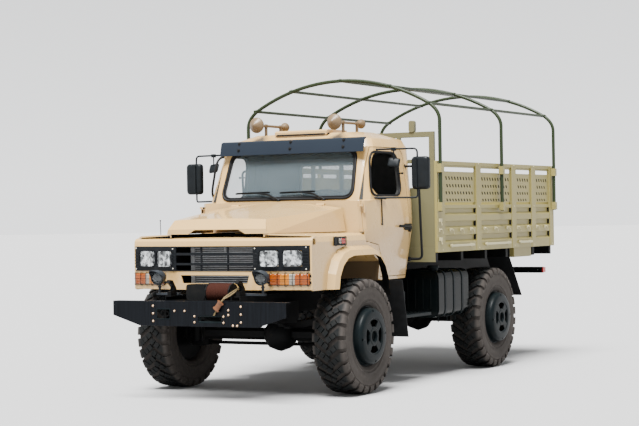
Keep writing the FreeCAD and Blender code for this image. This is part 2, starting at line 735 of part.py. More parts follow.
def make_frame():
    """Two channel rails, their crossmembers, the spring hangers and the two front tow hooks."""
    outer, t = S.frame_width / 2, S.rail_thickness
    inner = outer - S.rail_flange
    front = FRONT_AXLE - S.frame_front
    rear = REAR_END - S.frame_rear_inset
    channel = [
        (inner, FRAME_BOTTOM),
        (outer, FRAME_BOTTOM),
        (outer, FRAME_TOP),
        (inner, FRAME_TOP),
        (inner, FRAME_TOP - t),
        (outer - t, FRAME_TOP - t),
        (outer - t, FRAME_BOTTOM + t),
        (inner, FRAME_BOTTOM + t),
    ]
    rail = prism("rail", "XZ", channel, front, rear)
    pieces = [rail, mirrored(rail)]
    depth, height = S.crossmember_depth, S.crossmember_height
    low = FRAME_BOTTOM + (S.rail_height - height) / 2
    stations = [
        front,
        behind(S.radiator_ahead * -1),
        behind(S.gearcase_behind - S.gearcase_length),
        behind(S.tank_front + S.tank_length / 2),
        REAR_AXLE - S.rear_spring_half - 60,
        REAR_AXLE + S.rear_spring_half,
        rear - depth,
    ]
    for i, y in enumerate(stations):
        pieces.append(box(f"crossmember_{i}", t - outer, y, low, (outer - t) * 2, depth, height))
    for i, (axle, half) in enumerate(spring_stations()):
        for end in (-1, 1):
            y = axle + half * end - S.hanger_depth / 2
            hanger = box(
                f"hanger_{i}_{end + 1}",
                rail_middle() - S.spring_width / 2 + 3,
                y,
                FRAME_BOTTOM - S.hanger_height + S.spring_eye_radius,
                S.spring_width - 6,
                S.hanger_depth,
                S.hanger_height - S.spring_eye_radius,
            )
            pieces += [hanger, mirrored(hanger)]
    y = front + 18
    hook = prism(
        "tow_hook",
        "YZ",
        [
            (y, FRAME_TOP),
            (y + 100, FRAME_TOP),
            (y + 96, FRAME_TOP + 66),
            (y + 40, FRAME_TOP + S.hook_height - 8),
            (y - 2, FRAME_TOP + S.hook_height),
            (y - 26, FRAME_TOP + S.hook_height - 28),
            (y + 16, FRAME_TOP + S.hook_height - 40),
            (y + 52, FRAME_TOP + 78),
            (y + 44, FRAME_TOP + 48),
            (y, FRAME_TOP + 40),
        ],
        rail_middle() - S.hook_width / 2,
        rail_middle() + S.hook_width / 2,
    )
    pieces += [hook, mirrored(hook)]
    subpart(fused("Frame", *pieces), "frame")


def spring_stations():
    return [(FRONT_AXLE, S.front_spring_half), (REAR_AXLE, S.rear_spring_half)]


def leaf_pack(axle, half):
    """A pack of leaves on the axle: the main leaf with its ends under the hangers, the others shorter."""
    x = float(rail_middle() - S.spring_width / 2)
    t, count = float(S.leaf_thickness), int(float(S.leaf_count))
    top = float(S.tyre_radius + S.axle_tube_radius + S.seat_gap) + t * count
    reach, middle = float(half), float(axle)
    rise = float(FRAME_BOTTOM) - float(S.hanger_height) + float(S.spring_eye_radius) - float(S.seat_gap) - top
    arc = (reach**2 + rise**2) / (2 * rise)

    def on_arc(along, drop):
        radius = arc + drop
        return x, middle + along, top + arc - math.sqrt(radius**2 - along**2)

    upper = [on_arc(reach * k / 3.0, 0) for k in range(-3, 4)]
    steps = []
    for i in range(1, count):
        length = reach * (1 - 0.2 * i)
        steps += [on_arc(length + 0.2 * reach, t * i), on_arc(length, t * i)]
    steps.append(on_arc(reach * (1.2 - 0.2 * count), t * count))
    left_side = [(px, 2 * middle - py, pz) for px, py, pz in reversed(steps)]
    outline = upper + steps + left_side
    return polygon_face(outline).extrude(FreeCAD.Vector(float(S.spring_width), 0, 0))


def make_springs():
    """Four leaf packs, one over each end of each axle."""
    packs = []
    for i, (axle, half) in enumerate(spring_stations()):
        pack = feature(f"pack_{i}", leaf_pack(axle, half))
        packs += [pack, mirrored(pack)]
    subpart(group("LeafSprings", *packs), "leaf_springs")


# Drivetrain

def make_driveline():
    """The gear case under the cab and the two shafts that leave it for the axles."""
    y = behind(S.gearcase_behind)
    length, width, height = S.gearcase_length, S.gearcase_width, S.gearcase_height
    x = S.diff_offset - S.gearcase_inset - width / 2
    low = S.tyre_radius - 20
    case = prism(
        "gear_case",
        "XZ",
        [
            (x, low + 70),
            (x + 60, low),
            (x + width - 60, low),
            (x + width, low + 70),
            (x + width, low + height - 50),
            (x + width - 60, low + height),
            (x + 60, low + height),
            (x, low + height - 50),
        ],
        y - length / 2,
        y + length / 2,
    )
    front_gap = FRONT_AXLE + S.diff_depth + 150 + S.seat_gap
    rear_gap = REAR_AXLE - S.diff_depth - 150 - S.seat_gap
    z = S.tyre_radius + 10
    front = rod("front_shaft", "Y", S.diff_offset, front_gap, z, S.shaft_radius, y - length / 2 - front_gap)
    rear = rod("rear_shaft", "Y", S.diff_offset, y + length / 2, z, S.shaft_radius, rear_gap - y - length / 2)
    bearer = box("case_bearer", -S.frame_width / 2 + S.rail_thickness + S.seat_gap, y - 30, FRAME_BOTTOM + 30,
                 (S.frame_width / 2 - S.rail_thickness - S.seat_gap) * 2, 60, 60)
    subpart(fused("Driveline", case, front, rear, bearer), "driveline")


def make_engine():
    """The engine as one heavy block between the rails, on a bearer to each side."""
    front = behind(-S.engine_ahead)
    low = FRAME_TOP - S.engine_below
    width = S.engine_width
    block = prism(
        "engine_block",
        "XZ",
        [
            (-width / 2 + 60, low),
            (width / 2 - 60, low),
            (width / 2, low + 160),
            (width / 2 - 40, low + S.engine_height - 60),
            (width / 2 - 110, low + S.engine_height),
            (-width / 2 + 110, low + S.engine_height),
            (-width / 2 + 40, low + S.engine_height - 60),
            (-width / 2, low + 160),
        ],
        front,
        front + S.engine_length - 180,
    )
    half = S.frame_width / 2
    feet = box("engine_feet", -half, front + 260, FRAME_TOP + S.seat_gap, half * 2, 70, 40)
    subpart(fused("Engine", block, feet), "engine")


def make_radiator():
    """The radiator core in its frame, on two feet over the front crossmember."""
    y = behind(-S.radiator_ahead)
    half = S.radiator_half_width
    core = box("core", -half, y, above(S.radiator_bottom), half * 2, S.radiator_depth,
               S.radiator_top - S.radiator_bottom)
    foot = box("core_foot", rail_middle() - 30, y, FRAME_TOP + S.seat_gap, 50, S.radiator_depth,
               S.radiator_bottom)
    subpart(fused("Radiator", core, foot, mirrored(foot)), "radiator")


# Bumper, winch and front lamps

def bumper_levels():
    top = FRAME_TOP - S.bumper_drop
    return top - S.bumper_height, top


def make_bumper():
    """A folded steel bumper with tapered ends, a rope slot and an opening for the towing pin."""
    low, top = bumper_levels()
    w, c = S.bumper_half_width, S.bumper_chamfer_x
    front = FRONT_AXLE - S.front_overhang
    outline = [(-c, low), (c, low), (w, top - S.bumper_end_height), (w, top), (-w, top), (-w, top - S.bumper_end_height)]
    rope_x, rope_z = S.rope_slot_x, low + S.rope_slot_rise
    slot = [
        (rope_x - S.rope_slot_width / 2, rope_z),
        (rope_x + S.rope_slot_width / 2, rope_z),
        (rope_x + S.rope_slot_width / 2, rope_z + S.rope_slot_height),
        (rope_x - S.rope_slot_width / 2, rope_z + S.rope_slot_height),
    ]
    pin_x, pin_z = -S.hook_slot_x, low + S.hook_slot_rise
    opening = [
        (pin_x - S.hook_slot_width / 2, pin_z),
        (pin_x + S.hook_slot_width / 2, pin_z),
        (pin_x + S.hook_slot_width / 2, pin_z + S.hook_slot_height),
        (pin_x - S.hook_slot_width / 2, pin_z + S.hook_slot_height),
    ]
    plate = prism("bumper_plate", "XZ", outline, front, front + S.bumper_wall, holes=[slot, opening])
    shelf_top = box("bumper_top", -w, front, top - S.bumper_wall, w * 2, S.bumper_depth, S.bumper_wall)
    shelf_low = box("bumper_low", -c, front, low, c * 2, S.bumper_depth, S.bumper_wall)
    web = box(
        "bumper_bracket",
        rail_middle() - S.rail_flange / 2,
        front,
        low,
        S.rail_flange,
        S.bumper_depth - S.seat_gap,
        S.bumper_height,
    )
    pocket = box(
        "bumper_pocket",
        pin_x - S.hook_slot_width / 2,
        front,
        pin_z,
        S.hook_slot_width,
        S.hook_pocket,
        S.hook_slot_height,
    )
    whole = fused("bumper_whole", plate, shelf_top, shelf_low, web, mirrored(web))
    subpart(cut("Bumper", whole, pocket), "front_bumper")


def make_winch():
    """A rope drum between two cheeks with its gearbox, on a bed across the front of the rails."""
    y = behind(-S.drum_ahead)
    bed = FRAME_TOP + S.seat_gap
    z = bed + S.drum_flange_radius * 0.25
    x = S.rope_slot_x
    half = S.drum_length / 2
    barrel = turned(
        "drum",
        [
            (-half, 0),
            (-half, S.drum_flange_radius * 0.8),
            (-half + S.drum_flange_thickness, S.drum_flange_radius * 0.8),
            (-half + S.drum_flange_thickness, S.drum_radius),
            (half - S.drum_flange_thickness, S.drum_radius),
            (half - S.drum_flange_thickness, S.drum_flange_radius * 0.8),
            (half, S.drum_flange_radius * 0.8),
            (half, 0),
        ],
    )
    place(barrel, x, y, z)
    seat = FRAME_BOTTOM + S.rail_thickness + S.seat_gap
    span = S.frame_width / 2 - S.rail_thickness - S.seat_gap
    plate_height = FRAME_TOP + 60 - seat
    plate_l = box("cheek_left", x + half, y - 58, seat, S.winch_plate, 116, plate_height)
    plate_r = box("cheek_right", x - half - S.winch_plate, y - 58, seat, S.winch_plate, 116, plate_height)
    gearbox = prism(
        "winch_gearbox",
        "XZ",
        soft_rectangle(x - half - S.winch_plate - S.gearbox_width, x - half - S.winch_plate, z - 70, z + 80, 26, 2),
        y - S.gearbox_depth / 2,
        y + S.gearbox_depth / 2,
    )
    tie = box("winch_bed", -span, y - 50, seat, span * 2, 100, 12)
    subpart(fused("Winch", barrel, plate_l, plate_r, gearbox, tie), "winch")


def make_winch_rope():
    """The end of the winch rope, hitched to the left tow hook with its bound ferrule over the bumper."""
    front = float(FRONT_AXLE - S.front_overhang)
    low, top = bumper_levels()
    hook_x = float(rail_middle() - S.hook_width / 2 - S.rope_radius * 0.87 - S.seat_gap)
    r = float(S.rope_radius)
    start = (hook_x, front + 170, float(FRAME_TOP) + 96)
    mid = (hook_x - 40, front + 60, float(top) + 74)
    over = (hook_x - 110, front - 19.3, float(top) + 30)
    end = (hook_x - 150, front - 19.3, float(top) - 96)
    rope = bent_tube([start, mid, over, end], r, 30)
    knot = short_bar(vector(hook_x - 139, front - 19.3, float(top) - 62), vector(0.3, 0, 0.95), 19, 64)
    subpart(feature("WinchRope", rope.fuse(knot)), "winch_rope")


def make_spot_lamps():
    """Two hooded driving lamps on brackets over the frame's front ends."""
    y, z = behind(-S.spot_ahead), above(S.spot_height)
    shell = turned(
        "spot_shell",
        [
            (-S.spot_depth / 2, 0),
            (-S.spot_depth / 2, S.spot_radius * 0.92),
            (S.spot_depth * 0.1, S.spot_radius),
            (S.spot_depth * 0.5, S.spot_radius * 0.45),
            (S.spot_depth * 0.5, 0),
        ],
        "Y",
    )
    place(shell, S.spot_x, y, z)
    hood = prism(
        "spot_hood",
        "XZ",
        [
            (-S.spot_radius, 8),
            (-S.spot_radius * 0.7, S.spot_radius * 0.78),
            (0, S.spot_radius * 1.04),
            (S.spot_radius * 0.7, S.spot_radius * 0.78),
            (S.spot_radius, 8),
            (S.spot_radius * 0.86, 8),
            (S.spot_radius * 0.6, S.spot_radius * 0.66),
            (0, S.spot_radius * 0.9),
            (-S.spot_radius * 0.6, S.spot_radius * 0.66),
            (-S.spot_radius * 0.86, 8),
        ],
        -S.spot_depth / 2 - S.spot_hood,
        -S.spot_depth / 2 + 14,
    )
    place(hood, S.spot_x, y, z)
    outer = S.frame_width / 2
    stem = rod("spot_stem", "Z", S.spot_x, y, FRAME_TOP + 20, 12, S.spot_height - S.spot_radius)
    foot = box("spot_foot", outer - S.rail_flange, y - 24, FRAME_TOP + S.seat_gap,
               S.spot_x - outer + S.rail_flange + 24, 48, 22)
    left = fused("SpotLeft", shell, hood, stem, foot)
    subpart(both_sides("SpotLamps", left), "spot_lamps")


# Front panel, grille and lamps

def rectangle(x_low, x_high, z_low, z_high):
    return [(x_low, z_low), (x_high, z_low), (x_high, z_high), (x_low, z_high)]


def soft_rectangle(x_low, x_high, z_low, z_high, radius, steps=2):
    """A rectangle whose corners are rounded off in short chords, still bound to its sizes."""
    corners = ((x_high, z_low, -1, 1, -90), (x_high, z_high, -1, -1, 0), (x_low, z_high, 1, -1, 90), (x_low, z_low, 1, 1, 180))
    outline = []
    for x, z, inward_x, inward_z, start in corners:
        for k in range(steps + 1):
            a = math.radians(start + 90.0 * k / steps)
            outline.append((x + radius * round(inward_x + math.cos(a), 6), z + radius * round(inward_z + math.sin(a), 6)))
    return outline


def panel_y(x):
    """The station of the panel's front face at a distance from the truck's middle: it is bowed."""
    corner = float(behind(-S.panel_ahead))
    fold, width = float(S.bezel_inner), float(S.panel_half_width)
    share = max(0.0, (abs(float(x)) - fold) / (width - fold))
    return corner - float(S.panel_bow) * (1 - share)


def on_panel(outline, start, depth):
    """A solid from an (x, z) outline that follows one flat of the bowed panel."""
    face = polygon_face([(x, panel_y(x) + float(start), z) for x, z in outline])
    return face.extrude(FreeCAD.Vector(0, float(depth), 0))


def along_panel(profile, half_width):
    """A (back, z) profile carried across the bowed panel."""
    fold = S.bezel_inner
    rings = [
        [vector(x, panel_y(x) + float(back), z) for back, z in profile]
        for x in (-half_width, -fold, fold, half_width)
    ]
    return lofted(rings)


def in_pair(*shapes):
    """Shapes of the left side with the same ones on the right."""
    twins = [shape.mirror(FreeCAD.Vector(), FreeCAD.Vector(1, 0, 0)) for shape in shapes]
    return list(shapes) + twins


def turn_lamp_span():
    """The inner and outer edges of the amber lamp's opening."""
    far = S.panel_half_width - 22
    return far - S.turn_width, far


def make_front_panel():
    """The bowed front panel with its openings and the cap that leans back to the bonnet."""
    t = float(S.panel_thickness)
    w = S.panel_half_width
    low, top, cap_top = (float(above(v)) for v in (S.panel_bottom, S.panel_top, S.panel_cap_top))
    deep = float(S.panel_cap_depth)
    sheet = along_panel([(0, low), (t, low), (t, top), (0, top)], w)
    cap = along_panel(
        [(0, top), (t, top), (t + 8, cap_top - 26), (deep, cap_top - 14), (deep, cap_top), (26, cap_top - 14), (6, cap_top - 36)],
        w,
    )
    grille_low, grille_high = above(S.grille_bottom), above(S.grille_top)
    near, far = turn_lamp_span()
    inner = S.bezel_inner
    lower = [
        (-S.lower_slot_half + 22, above(S.lower_slot_bottom)),
        (S.lower_slot_half - 22, above(S.lower_slot_bottom)),
        (S.lower_slot_half, above(S.lower_slot_top)),
        (-S.lower_slot_half, above(S.lower_slot_top)),
    ]
    amber = rectangle(near, far, above(S.turn_bottom), above(S.turn_bottom + S.turn_height))
    openings = in_pair(
        on_panel(rectangle(inner, S.grille_half_width, grille_low, grille_high), -50, 100),
        on_panel(amber, -50, 100),
    )
    openings += [on_panel(outline, -50, 100) for outline in (rectangle(-inner, inner, grille_low, grille_high), lower)]
    stay_front = panel_y(rail_middle()) + t - 2
    stay = Part.makeBox(
        40,
        float(behind(-S.radiator_ahead)) - stay_front - float(S.seat_gap),
        50,
        vector(rail_middle() - 20, stay_front, above(S.panel_bottom)),
    )
    whole = sheet.cut(openings).multiFuse([cap] + in_pair(stay)).removeSplitter()
    subpart(feature("FrontPanel", whole), "front_panel")


def lamp_places():
    """The inner edges of the two headlamps on the truck's left side."""
    first = S.bezel_inner + S.lamp_inset
    return [first, first + S.lamp_width + S.lamp_gap]


def make_grille():
    """The black surrounds of the headlamps with the bars between them."""
    gap = float(S.seat_gap)
    out = -float(S.bezel_depth) * 0.35
    low, high = float(above(S.grille_bottom)) + gap, float(above(S.grille_top)) - gap
    lamp_low = (low + high - float(S.lamp_height)) / 2
    lamp_high = lamp_low + float(S.lamp_height)
    inner, outer = float(S.bezel_inner), float(S.grille_half_width) - gap
    surround = on_panel(rectangle(inner, outer, low, high), out, S.bezel_depth)
    holes = [
        on_panel(rectangle(x, x + S.lamp_width, lamp_low, lamp_high), -80, 160) for x in lamp_places()
    ]
    pieces = in_pair(surround.cut(holes))
    y, deep = panel_y(0) + out + 4, float(S.bar_depth)
    for z, height in ((low, 8), (low + (high - low) * 0.24, 21), (low + (high - low) * 0.64, 24), (high - 8, 8)):
        pieces.append(Part.makeBox(inner * 2 + 4, deep, height, FreeCAD.Vector(-inner - 2, y, z)))
    for x in (-150, 150):
        pieces.append(Part.makeBox(14, deep - 8, high - low, FreeCAD.Vector(x - 7, y + 4, low)))
    subpart(feature("Grille", pieces[0].multiFuse(pieces[1:]).removeSplitter()), "grille")


def make_headlamps():
    """Four rectangular headlamps, seated in the surrounds."""
    gap = float(S.seat_gap)
    low = (float(above(S.grille_bottom)) + float(above(S.grille_top)) - float(S.lamp_height)) / 2 + gap
    lamps = []
    for x in lamp_places():
        start = float(x) + gap
        outline = soft_rectangle(start, start + float(S.lamp_width) - gap * 2, low,
                                 low + float(S.lamp_height) - gap * 2, 26)
        lamps.append(on_panel(outline, 0, S.lamp_depth))
    subpart(feature("Headlamps", Part.makeCompound(in_pair(*lamps))), "headlamps")


def make_turn_lamps():
    """The amber lamps in the panel's lower corners, and the small ones on the wings' sides."""
    gap = S.seat_gap
    near, far = turn_lamp_span()
    outline = rectangle(near + gap, far - gap, above(S.turn_bottom) + gap, above(S.turn_bottom + S.turn_height) - gap)
    front = on_panel(outline, -12, S.turn_depth)
    side = Part.makeBox(
        34, 90, 58, vector(S.wing_half_width + gap, behind(-S.side_lamp_ahead) - 45, above(S.side_lamp_height) - 29)
    )
    subpart(feature("TurnLamps", Part.makeCompound(in_pair(front, side))), "turn_lamps")


# Bonnet and wings

def hood_section(y, half_low, half_top, low, top, crown):
    """One cross-section of the bonnet: upright sides, a crease, and a crowned top."""
    y, a, b, z0, z1, c = (float(v) for v in (y, half_low, half_top, low, top, crown))
    ring = [FreeCAD.Vector(-a, y, z0), FreeCAD.Vector(a, y, z0)]
    for k in range(9):
        share = 1 - k / 4.0
        ring.append(FreeCAD.Vector(b * share, y, z1 + c * (1 - share**2)))
    return ring


def hood_form(shrink):
    """The bonnet's outer form, or its inside where shrink is the sheet's thickness."""
    t = float(shrink)
    low = above(S.hood_bottom) - t * 2
    front, rear = behind(-S.hood_ahead) + t, behind(S.hood_behind) + t * 2
    rake = S.hood_nose_rake
    share = rake / (S.hood_ahead + S.hood_behind)
    half_at_rake = S.hood_front_half + (S.hood_rear_half - S.hood_front_half) * share
    sections = [
        hood_section(front, S.hood_front_half - t, S.hood_front_half - 12 - t, low, above(S.hood_bottom) + 44 - t, 4),
        hood_section(front + rake, half_at_rake - t, S.hood_crease_front_half - t, low, above(S.hood_nose_top) - t, S.hood_crown / 2),
        hood_section(rear, S.hood_rear_half - t, S.hood_crease_rear_half - 40 - t, low, above(S.hood_rear_top) - 62 - t, S.hood_crown + 36),
    ]
    return lofted(sections)


def hood_hinge():
    """The axis of the bonnet's hinge barrels as (y, z), just ahead of the cab's front wall."""
    return behind(S.firewall - S.hood_hinge_ahead), above(S.hood_rear_top - 30)


def make_hood():
    """The bonnet shell, with the air scoop cut in its front lip."""
    shell = hood_form(0).cut(hood_form(S.hood_thickness))
    y = float(behind(-S.hood_ahead)) - 5
    low = float(above(S.hood_bottom)) - 5
    scoop = polygon_face(
        [
            (-S.scoop_half_width, y, low),
            (S.scoop_half_width, y, low),
            (S.scoop_top_half, y, low + 5 + S.scoop_height),
            (-S.scoop_top_half, y, low + 5 + S.scoop_height),
        ]
    ).extrude(FreeCAD.Vector(0, 80, 0))
    y, z = hood_hinge()
    r = float(S.hood_hinge_ahead - S.seat_gap)
    hinges = []
    for x in (-545.0, 455.0):
        hinges.append(short_bar(vector(x, y, z), (1, 0, 0), r, 90, 12))
        hinges.append(Part.makeBox(90, 60, 14, vector(x, y - 60, z - 12)))
    subpart(feature("Hood", shell.cut(scoop).multiFuse(hinges)), "hood")


def arch_line(share):
    """The wheel arch seen from the side, from the lip (share 0) to the flare's root (share 1)."""
    rise = float(S.flare_rise) * share
    front = float(behind(-S.arch_front)) - rise
    rear = float(behind(S.arch_rear)) + float(S.flare_rear) * share
    top = float(above(S.arch_top)) + rise
    knee_front = float(above(S.wing_bottom))
    knee_rear = float(above(S.wing_bottom)) - 104
    middle = (front + rear) / 2
    crown_half = (rear - front) * 0.21
    line = [(front, knee_front)] + quarter((front, knee_front), (middle - crown_half, top), 4)
    line += quarter((rear, knee_rear), (middle + crown_half, top), 4)[::-1] + [(rear, knee_rear)]
    return line


def arch_tool(grow, x_from, x_to):
    """The arch at the flare's root as a solid across a stretch of X, grown outwards by a margin."""
    g, x = float(grow), float(x_from)
    low = float(S.tyre_radius)
    line = arch_line(1)
    middle = (line[0][0] + line[-1][0]) / 2
    grown = [(y + (g if y > middle else -g), z + (g if z > line[0][1] + 1 else 0)) for y, z in line]
    outline = [(grown[0][0], low)] + grown + [(grown[-1][0], low)]
    face = polygon_face([(x, y, z) for y, z in outline])
    return face.extrude(FreeCAD.Vector(float(x_to) - x, 0, 0))


def flare_shape():
    """The flare round the arch: a strip in flats that swings out from the wing's side to its lip."""
    t = float(S.wing_thickness)
    x_root, x_lip = float(S.wing_half_width), float(S.wing_half_width + S.flare_width)
    rings = []
    for (y0, z0), (y1, z1) in zip(arch_line(1), arch_line(0)):
        ym, zm = y0 * 0.6 + y1 * 0.4, z0 * 0.6 + z1 * 0.4
        rings.append([
            FreeCAD.Vector(x_root - t, y0, z0),
            FreeCAD.Vector(x_root, y0, z0),
            FreeCAD.Vector(x_lip - 22, ym, zm),
            FreeCAD.Vector(x_lip, y1, z1),
            FreeCAD.Vector(x_lip - t, y1, z1),
        ])
    return lofted(rings)


def quarter(side, crown, steps):
    """Points on a quarter of an oval from its upright side to its level crown."""
    (y0, z0), (y1, z1) = side, crown
    points = []
    for k in range(1, steps + 1):
        a = math.pi / 2 * k / steps
        points.append((y1 + (y0 - y1) * math.cos(a), z0 + (z1 - z0) * math.sin(a)))
    return points


def wing_form(shrink, front, rear):
    """The wing's cross-section carried back along the truck."""
    t = float(shrink)
    y = float(front)
    out = float(S.wing_half_width) - t
    inner = float(S.wing_inner_half) + t
    top = float(above(S.wing_top)) - t
    shoulder = float(above(S.wing_shoulder)) - t
    low = float(S.tyre_radius)
    corners = [vector(x, y, z) for x, z in ((out, low), (out, shoulder), (inner, top))]
    outline = [(inner, y, low)] + [tuple(p) for p in softened(corners, 70, 2)]
    return polygon_face(outline).extrude(FreeCAD.Vector(0, float(rear) - y, 0))


def wing_shape():
    """The left wing: a folded sheet with its arch, the flare round it and the leg behind the wheel."""
    t = float(S.wing_thickness)
    front = behind(-S.panel_ahead) - S.panel_bow
    rear = behind(S.firewall) - S.wing_gap
    sheet = wing_form(0, front, rear).cut(wing_form(t, float(front) - 5, float(rear) + 5))
    inner, side = float(S.wing_inner_half), float(S.wing_half_width)
    low = float(above(S.wing_bottom))
    sheet = sheet.cut(Part.makeBox(3000, 9000, low, FreeCAD.Vector(inner - 100, -4500, 0)))
    gap = float(S.seat_gap)
    back, deep = float(S.panel_thickness) + gap, float(S.panel_cap_depth) + gap
    step, cap, high = float(above(S.panel_top)) - gap, float(above(S.panel_cap_top)) + gap, float(above(S.wing_top)) + 50
    ahead = [(-200, 0), (back, 0), (back, step), (deep, step), (deep, cap), (30, cap), (30, high), (-200, high)]
    sheet = sheet.cut(along_panel(ahead, float(S.panel_half_width) + 60))
    band = arch_tool(S.flare_band, side - t, side).cut(arch_tool(0, side - t - 5, side + 5))
    leg = band.common(
        Part.makeBox(400, 900, 900, FreeCAD.Vector(side - 100, float(rear) - 20, low - 104))
    )
    whole = sheet.cut(arch_tool(0, inner + t + 1, side + 50)).fuse(leg).fuse(flare_shape())
    return whole.removeSplitter()


def make_wings():
    left = feature("WingLeft", wing_shape())
    subpart(both_sides("Wings", left), "wings")


# Cab

def cab_form(shrink):
    """The cab's outer form, or its inside where shrink is the wall's thickness."""
    t = float(shrink)
    corner = float(S.cab_corner) - t * 0.5
    levels = [
        (above(S.cab_floor) + t, S.cab_sill_half, S.firewall, S.cab_rear_sill),
        (above(S.cab_belt), S.cab_belt_half, S.firewall, S.cab_rear_belt),
        (above(S.cowl_height) - t, S.cab_belt_half - 22, S.firewall, S.cab_rear_belt + 28),
        (above(S.cowl_height) + 10 - t * 0.5, S.cab_belt_half - 26, S.screen_foot, S.cab_rear_belt + 30),
        (above(S.gutter_height), S.cab_gutter_half, S.screen_head, S.cab_rear_gutter),
        (above(S.roof_edge) - t, S.cab_gutter_half - 46, S.roof_front - 40, S.cab_rear_gutter - 22),
        (above(S.roof_top) - t, S.cab_roof_half, S.roof_front + 110, S.roof_rear),
    ]
    rings = [
        plan_ring(z, float(w) - t, float(behind(f)) + t, float(behind(b)) - t, corner)
        for z, w, f, b in levels
    ]
    return lofted(rings)


def toe_tool(grow):
    """What the front wheels and the bonnet take from the cab's lower front corner."""
    g = float(grow)
    points = [
        (behind(S.firewall) - 400, float(above(S.cab_floor)) - 200),
        (behind(S.toe_rear) + g, float(above(S.cab_floor)) - 200),
        (behind(S.toe_rear) + g, float(above(S.cab_floor + S.toe_height)) + g * 0.4),
        (behind(S.firewall) + g, float(above(S.arch_top)) + 90 + g),
        (behind(S.firewall) - 400, float(above(S.arch_top)) + 90 + g),
    ]
    return polygon_face([(-2000, y, z) for y, z in points]).extrude(FreeCAD.Vector(4000, 0, 0))


def door_outline(grow):
    """The door's edge seen from the side, grown outwards by a margin."""
    g = float(grow)
    front, rear = float(behind(S.door_front)) - g, float(behind(S.door_rear)) + g
    low, top = float(above(S.door_bottom)) - g, float(above(S.door_top)) + g
    foot = float(behind(S.arch_rear + S.flare_rear + S.flare_band)) + 10 - g
    knee = float(above(S.arch_top + S.flare_rise + S.flare_band)) + 12 - g
    return [
        (front, knee),
        (foot - 90, knee - 40),
        (foot, knee - 170),
        (foot, low),
        (rear, low),
        (rear, top - 60),
        (rear - 60, top),
        (float(behind(S.screen_head)) + 10 - g * 1.1, top),
        (float(behind(S.screen_foot)) - 6 - g * 1.1, float(above(S.cowl_height)) + 25 + g * 0.5),
        (front, float(above(S.cowl_height)) - 10 + g * 0.5),
    ]


def door_tool(grow):
    """The door's outline as a solid through the left side of the cab."""
    points = door_outline(grow)
    start = float(S.pillar_outer) - float(grow)
    return polygon_face([(start, y, z) for y, z in points]).extrude(FreeCAD.Vector(900, 0, 0))


def window_tool(grow):
    """The door window's opening as a solid."""
    g = float(grow)
    front, rear = float(behind(S.window_front)) - g, float(behind(S.window_rear)) + g
    low, top = float(above(S.window_bottom)) - g, float(above(S.window_top)) + g
    start = float(S.cab_roof_half)
    corners = [vector(start, y, z) for y, z in ((front, low), (rear, low), (rear, top), (front + 170, top))]
    outline = soft_corners(corners, float(S.door_window_radius) + g)
    return polygon_face([tuple(p) for p in outline]).extrude(FreeCAD.Vector(900, 0, 0))


def screen_tool(grow, depth_from, depth_to):
    """The windscreen's opening as a solid that runs back from the front of the cab."""
    g = float(grow)
    low, top = float(above(S.screen_bottom)) - g, float(above(S.screen_top)) + g
    a, b = float(S.screen_half_width) + g, float(S.screen_head_half) + g
    y = float(depth_from)
    corners = [vector(x, y, z) for x, z in ((-a, low), (a, low), (b, top), (-b, top))]
    outline = soft_corners(corners, 70 + g)
    return polygon_face([tuple(p) for p in outline]).extrude(FreeCAD.Vector(0, float(depth_to) - y, 0))


def rear_window_tool(grow, depth_from, depth_to):
    g = float(grow)
    low, top = float(above(S.rear_window_bottom)) - g, float(above(S.rear_window_top)) + g
    a = float(S.rear_window_half) + g
    y = float(depth_from)
    corners = [vector(x, y, z) for x, z in ((-a, low), (a, low), (a, top), (-a, top))]
    outline = soft_corners(corners, 50 + g)
    return polygon_face([tuple(p) for p in outline]).extrude(FreeCAD.Vector(0, float(depth_to) - y, 0))


def hatch_tool(grow, low):
    g = float(grow)
    w = float(S.hatch_half_width) + g
    front, rear = float(behind(S.hatch_front)) - g, float(behind(S.hatch_rear)) + g
    return Part.makeBox(w * 2, rear - front, 300, FreeCAD.Vector(-w, front, float(low)))


def cab_walls():
    """The hollow cab before its openings are cut."""
    outer = cab_form(0).cut(toe_tool(0))
    inner = cab_form(S.cab_wall).cut(toe_tool(S.cab_wall))
    return outer.cut(inner)


def door_pin():
    """The axis of the left door's hinge as (x, y)."""
    return float(S.cab_belt_half - S.hinge_in), float(behind(S.door_front)) - 3


def make_cab(walls):
    """The cab shell with its windscreen, rear window, door openings and roof hatch opening cut."""
    middle = behind(S.toe_rear)
    mirror = FreeCAD.Vector(), FreeCAD.Vector(1, 0, 0)
    doorway = door_tool(S.door_gap)
    shell = walls.cut(doorway).cut(doorway.mirror(*mirror))
    shell = shell.cut(screen_tool(0, behind(S.firewall) - 100, middle))
    shell = shell.cut(rear_window_tool(0, middle, behind(S.cab_rear_gutter) + 100))
    shell = shell.cut(hatch_tool(-20, above(S.roof_edge)))
    coaming = cab_form(-float(S.hatch_gap - S.seat_gap)).cut(cab_form(1))
    coaming = coaming.common(hatch_tool(-6, above(S.roof_edge)).cut(hatch_tool(-20, above(S.roof_edge))))
    rail = float(rail_middle())
    legs = []
    for x in (-rail - 25, rail - 25):
        legs.append(
            Part.makeBox(
                50,
                400,
                float(S.cab_floor) - float(S.seat_gap) + 5,
                vector(x, behind(S.toe_rear) + 60, FRAME_TOP + S.seat_gap),
            )
        )
    r, (x_pin, y_pin) = float(S.hinge_radius), door_pin()
    for x_sign in (-1, 1):
        for level in (S.hinge_low, S.hinge_high):
            z = float(above(level + S.hinge_length + S.seat_gap))
            legs.append(short_bar(FreeCAD.Vector(x_pin * x_sign, y_pin, z), (0, 0, 1), r, 22, 8))
            legs.append(Part.makeBox(38, 34, 22, FreeCAD.Vector(min(x_pin * x_sign, (x_pin - 38) * x_sign), y_pin - 39, z)))
    shell = shell.multiFuse(legs + [coaming])
    subpart(feature("CabShell", shell), "cab_shell")


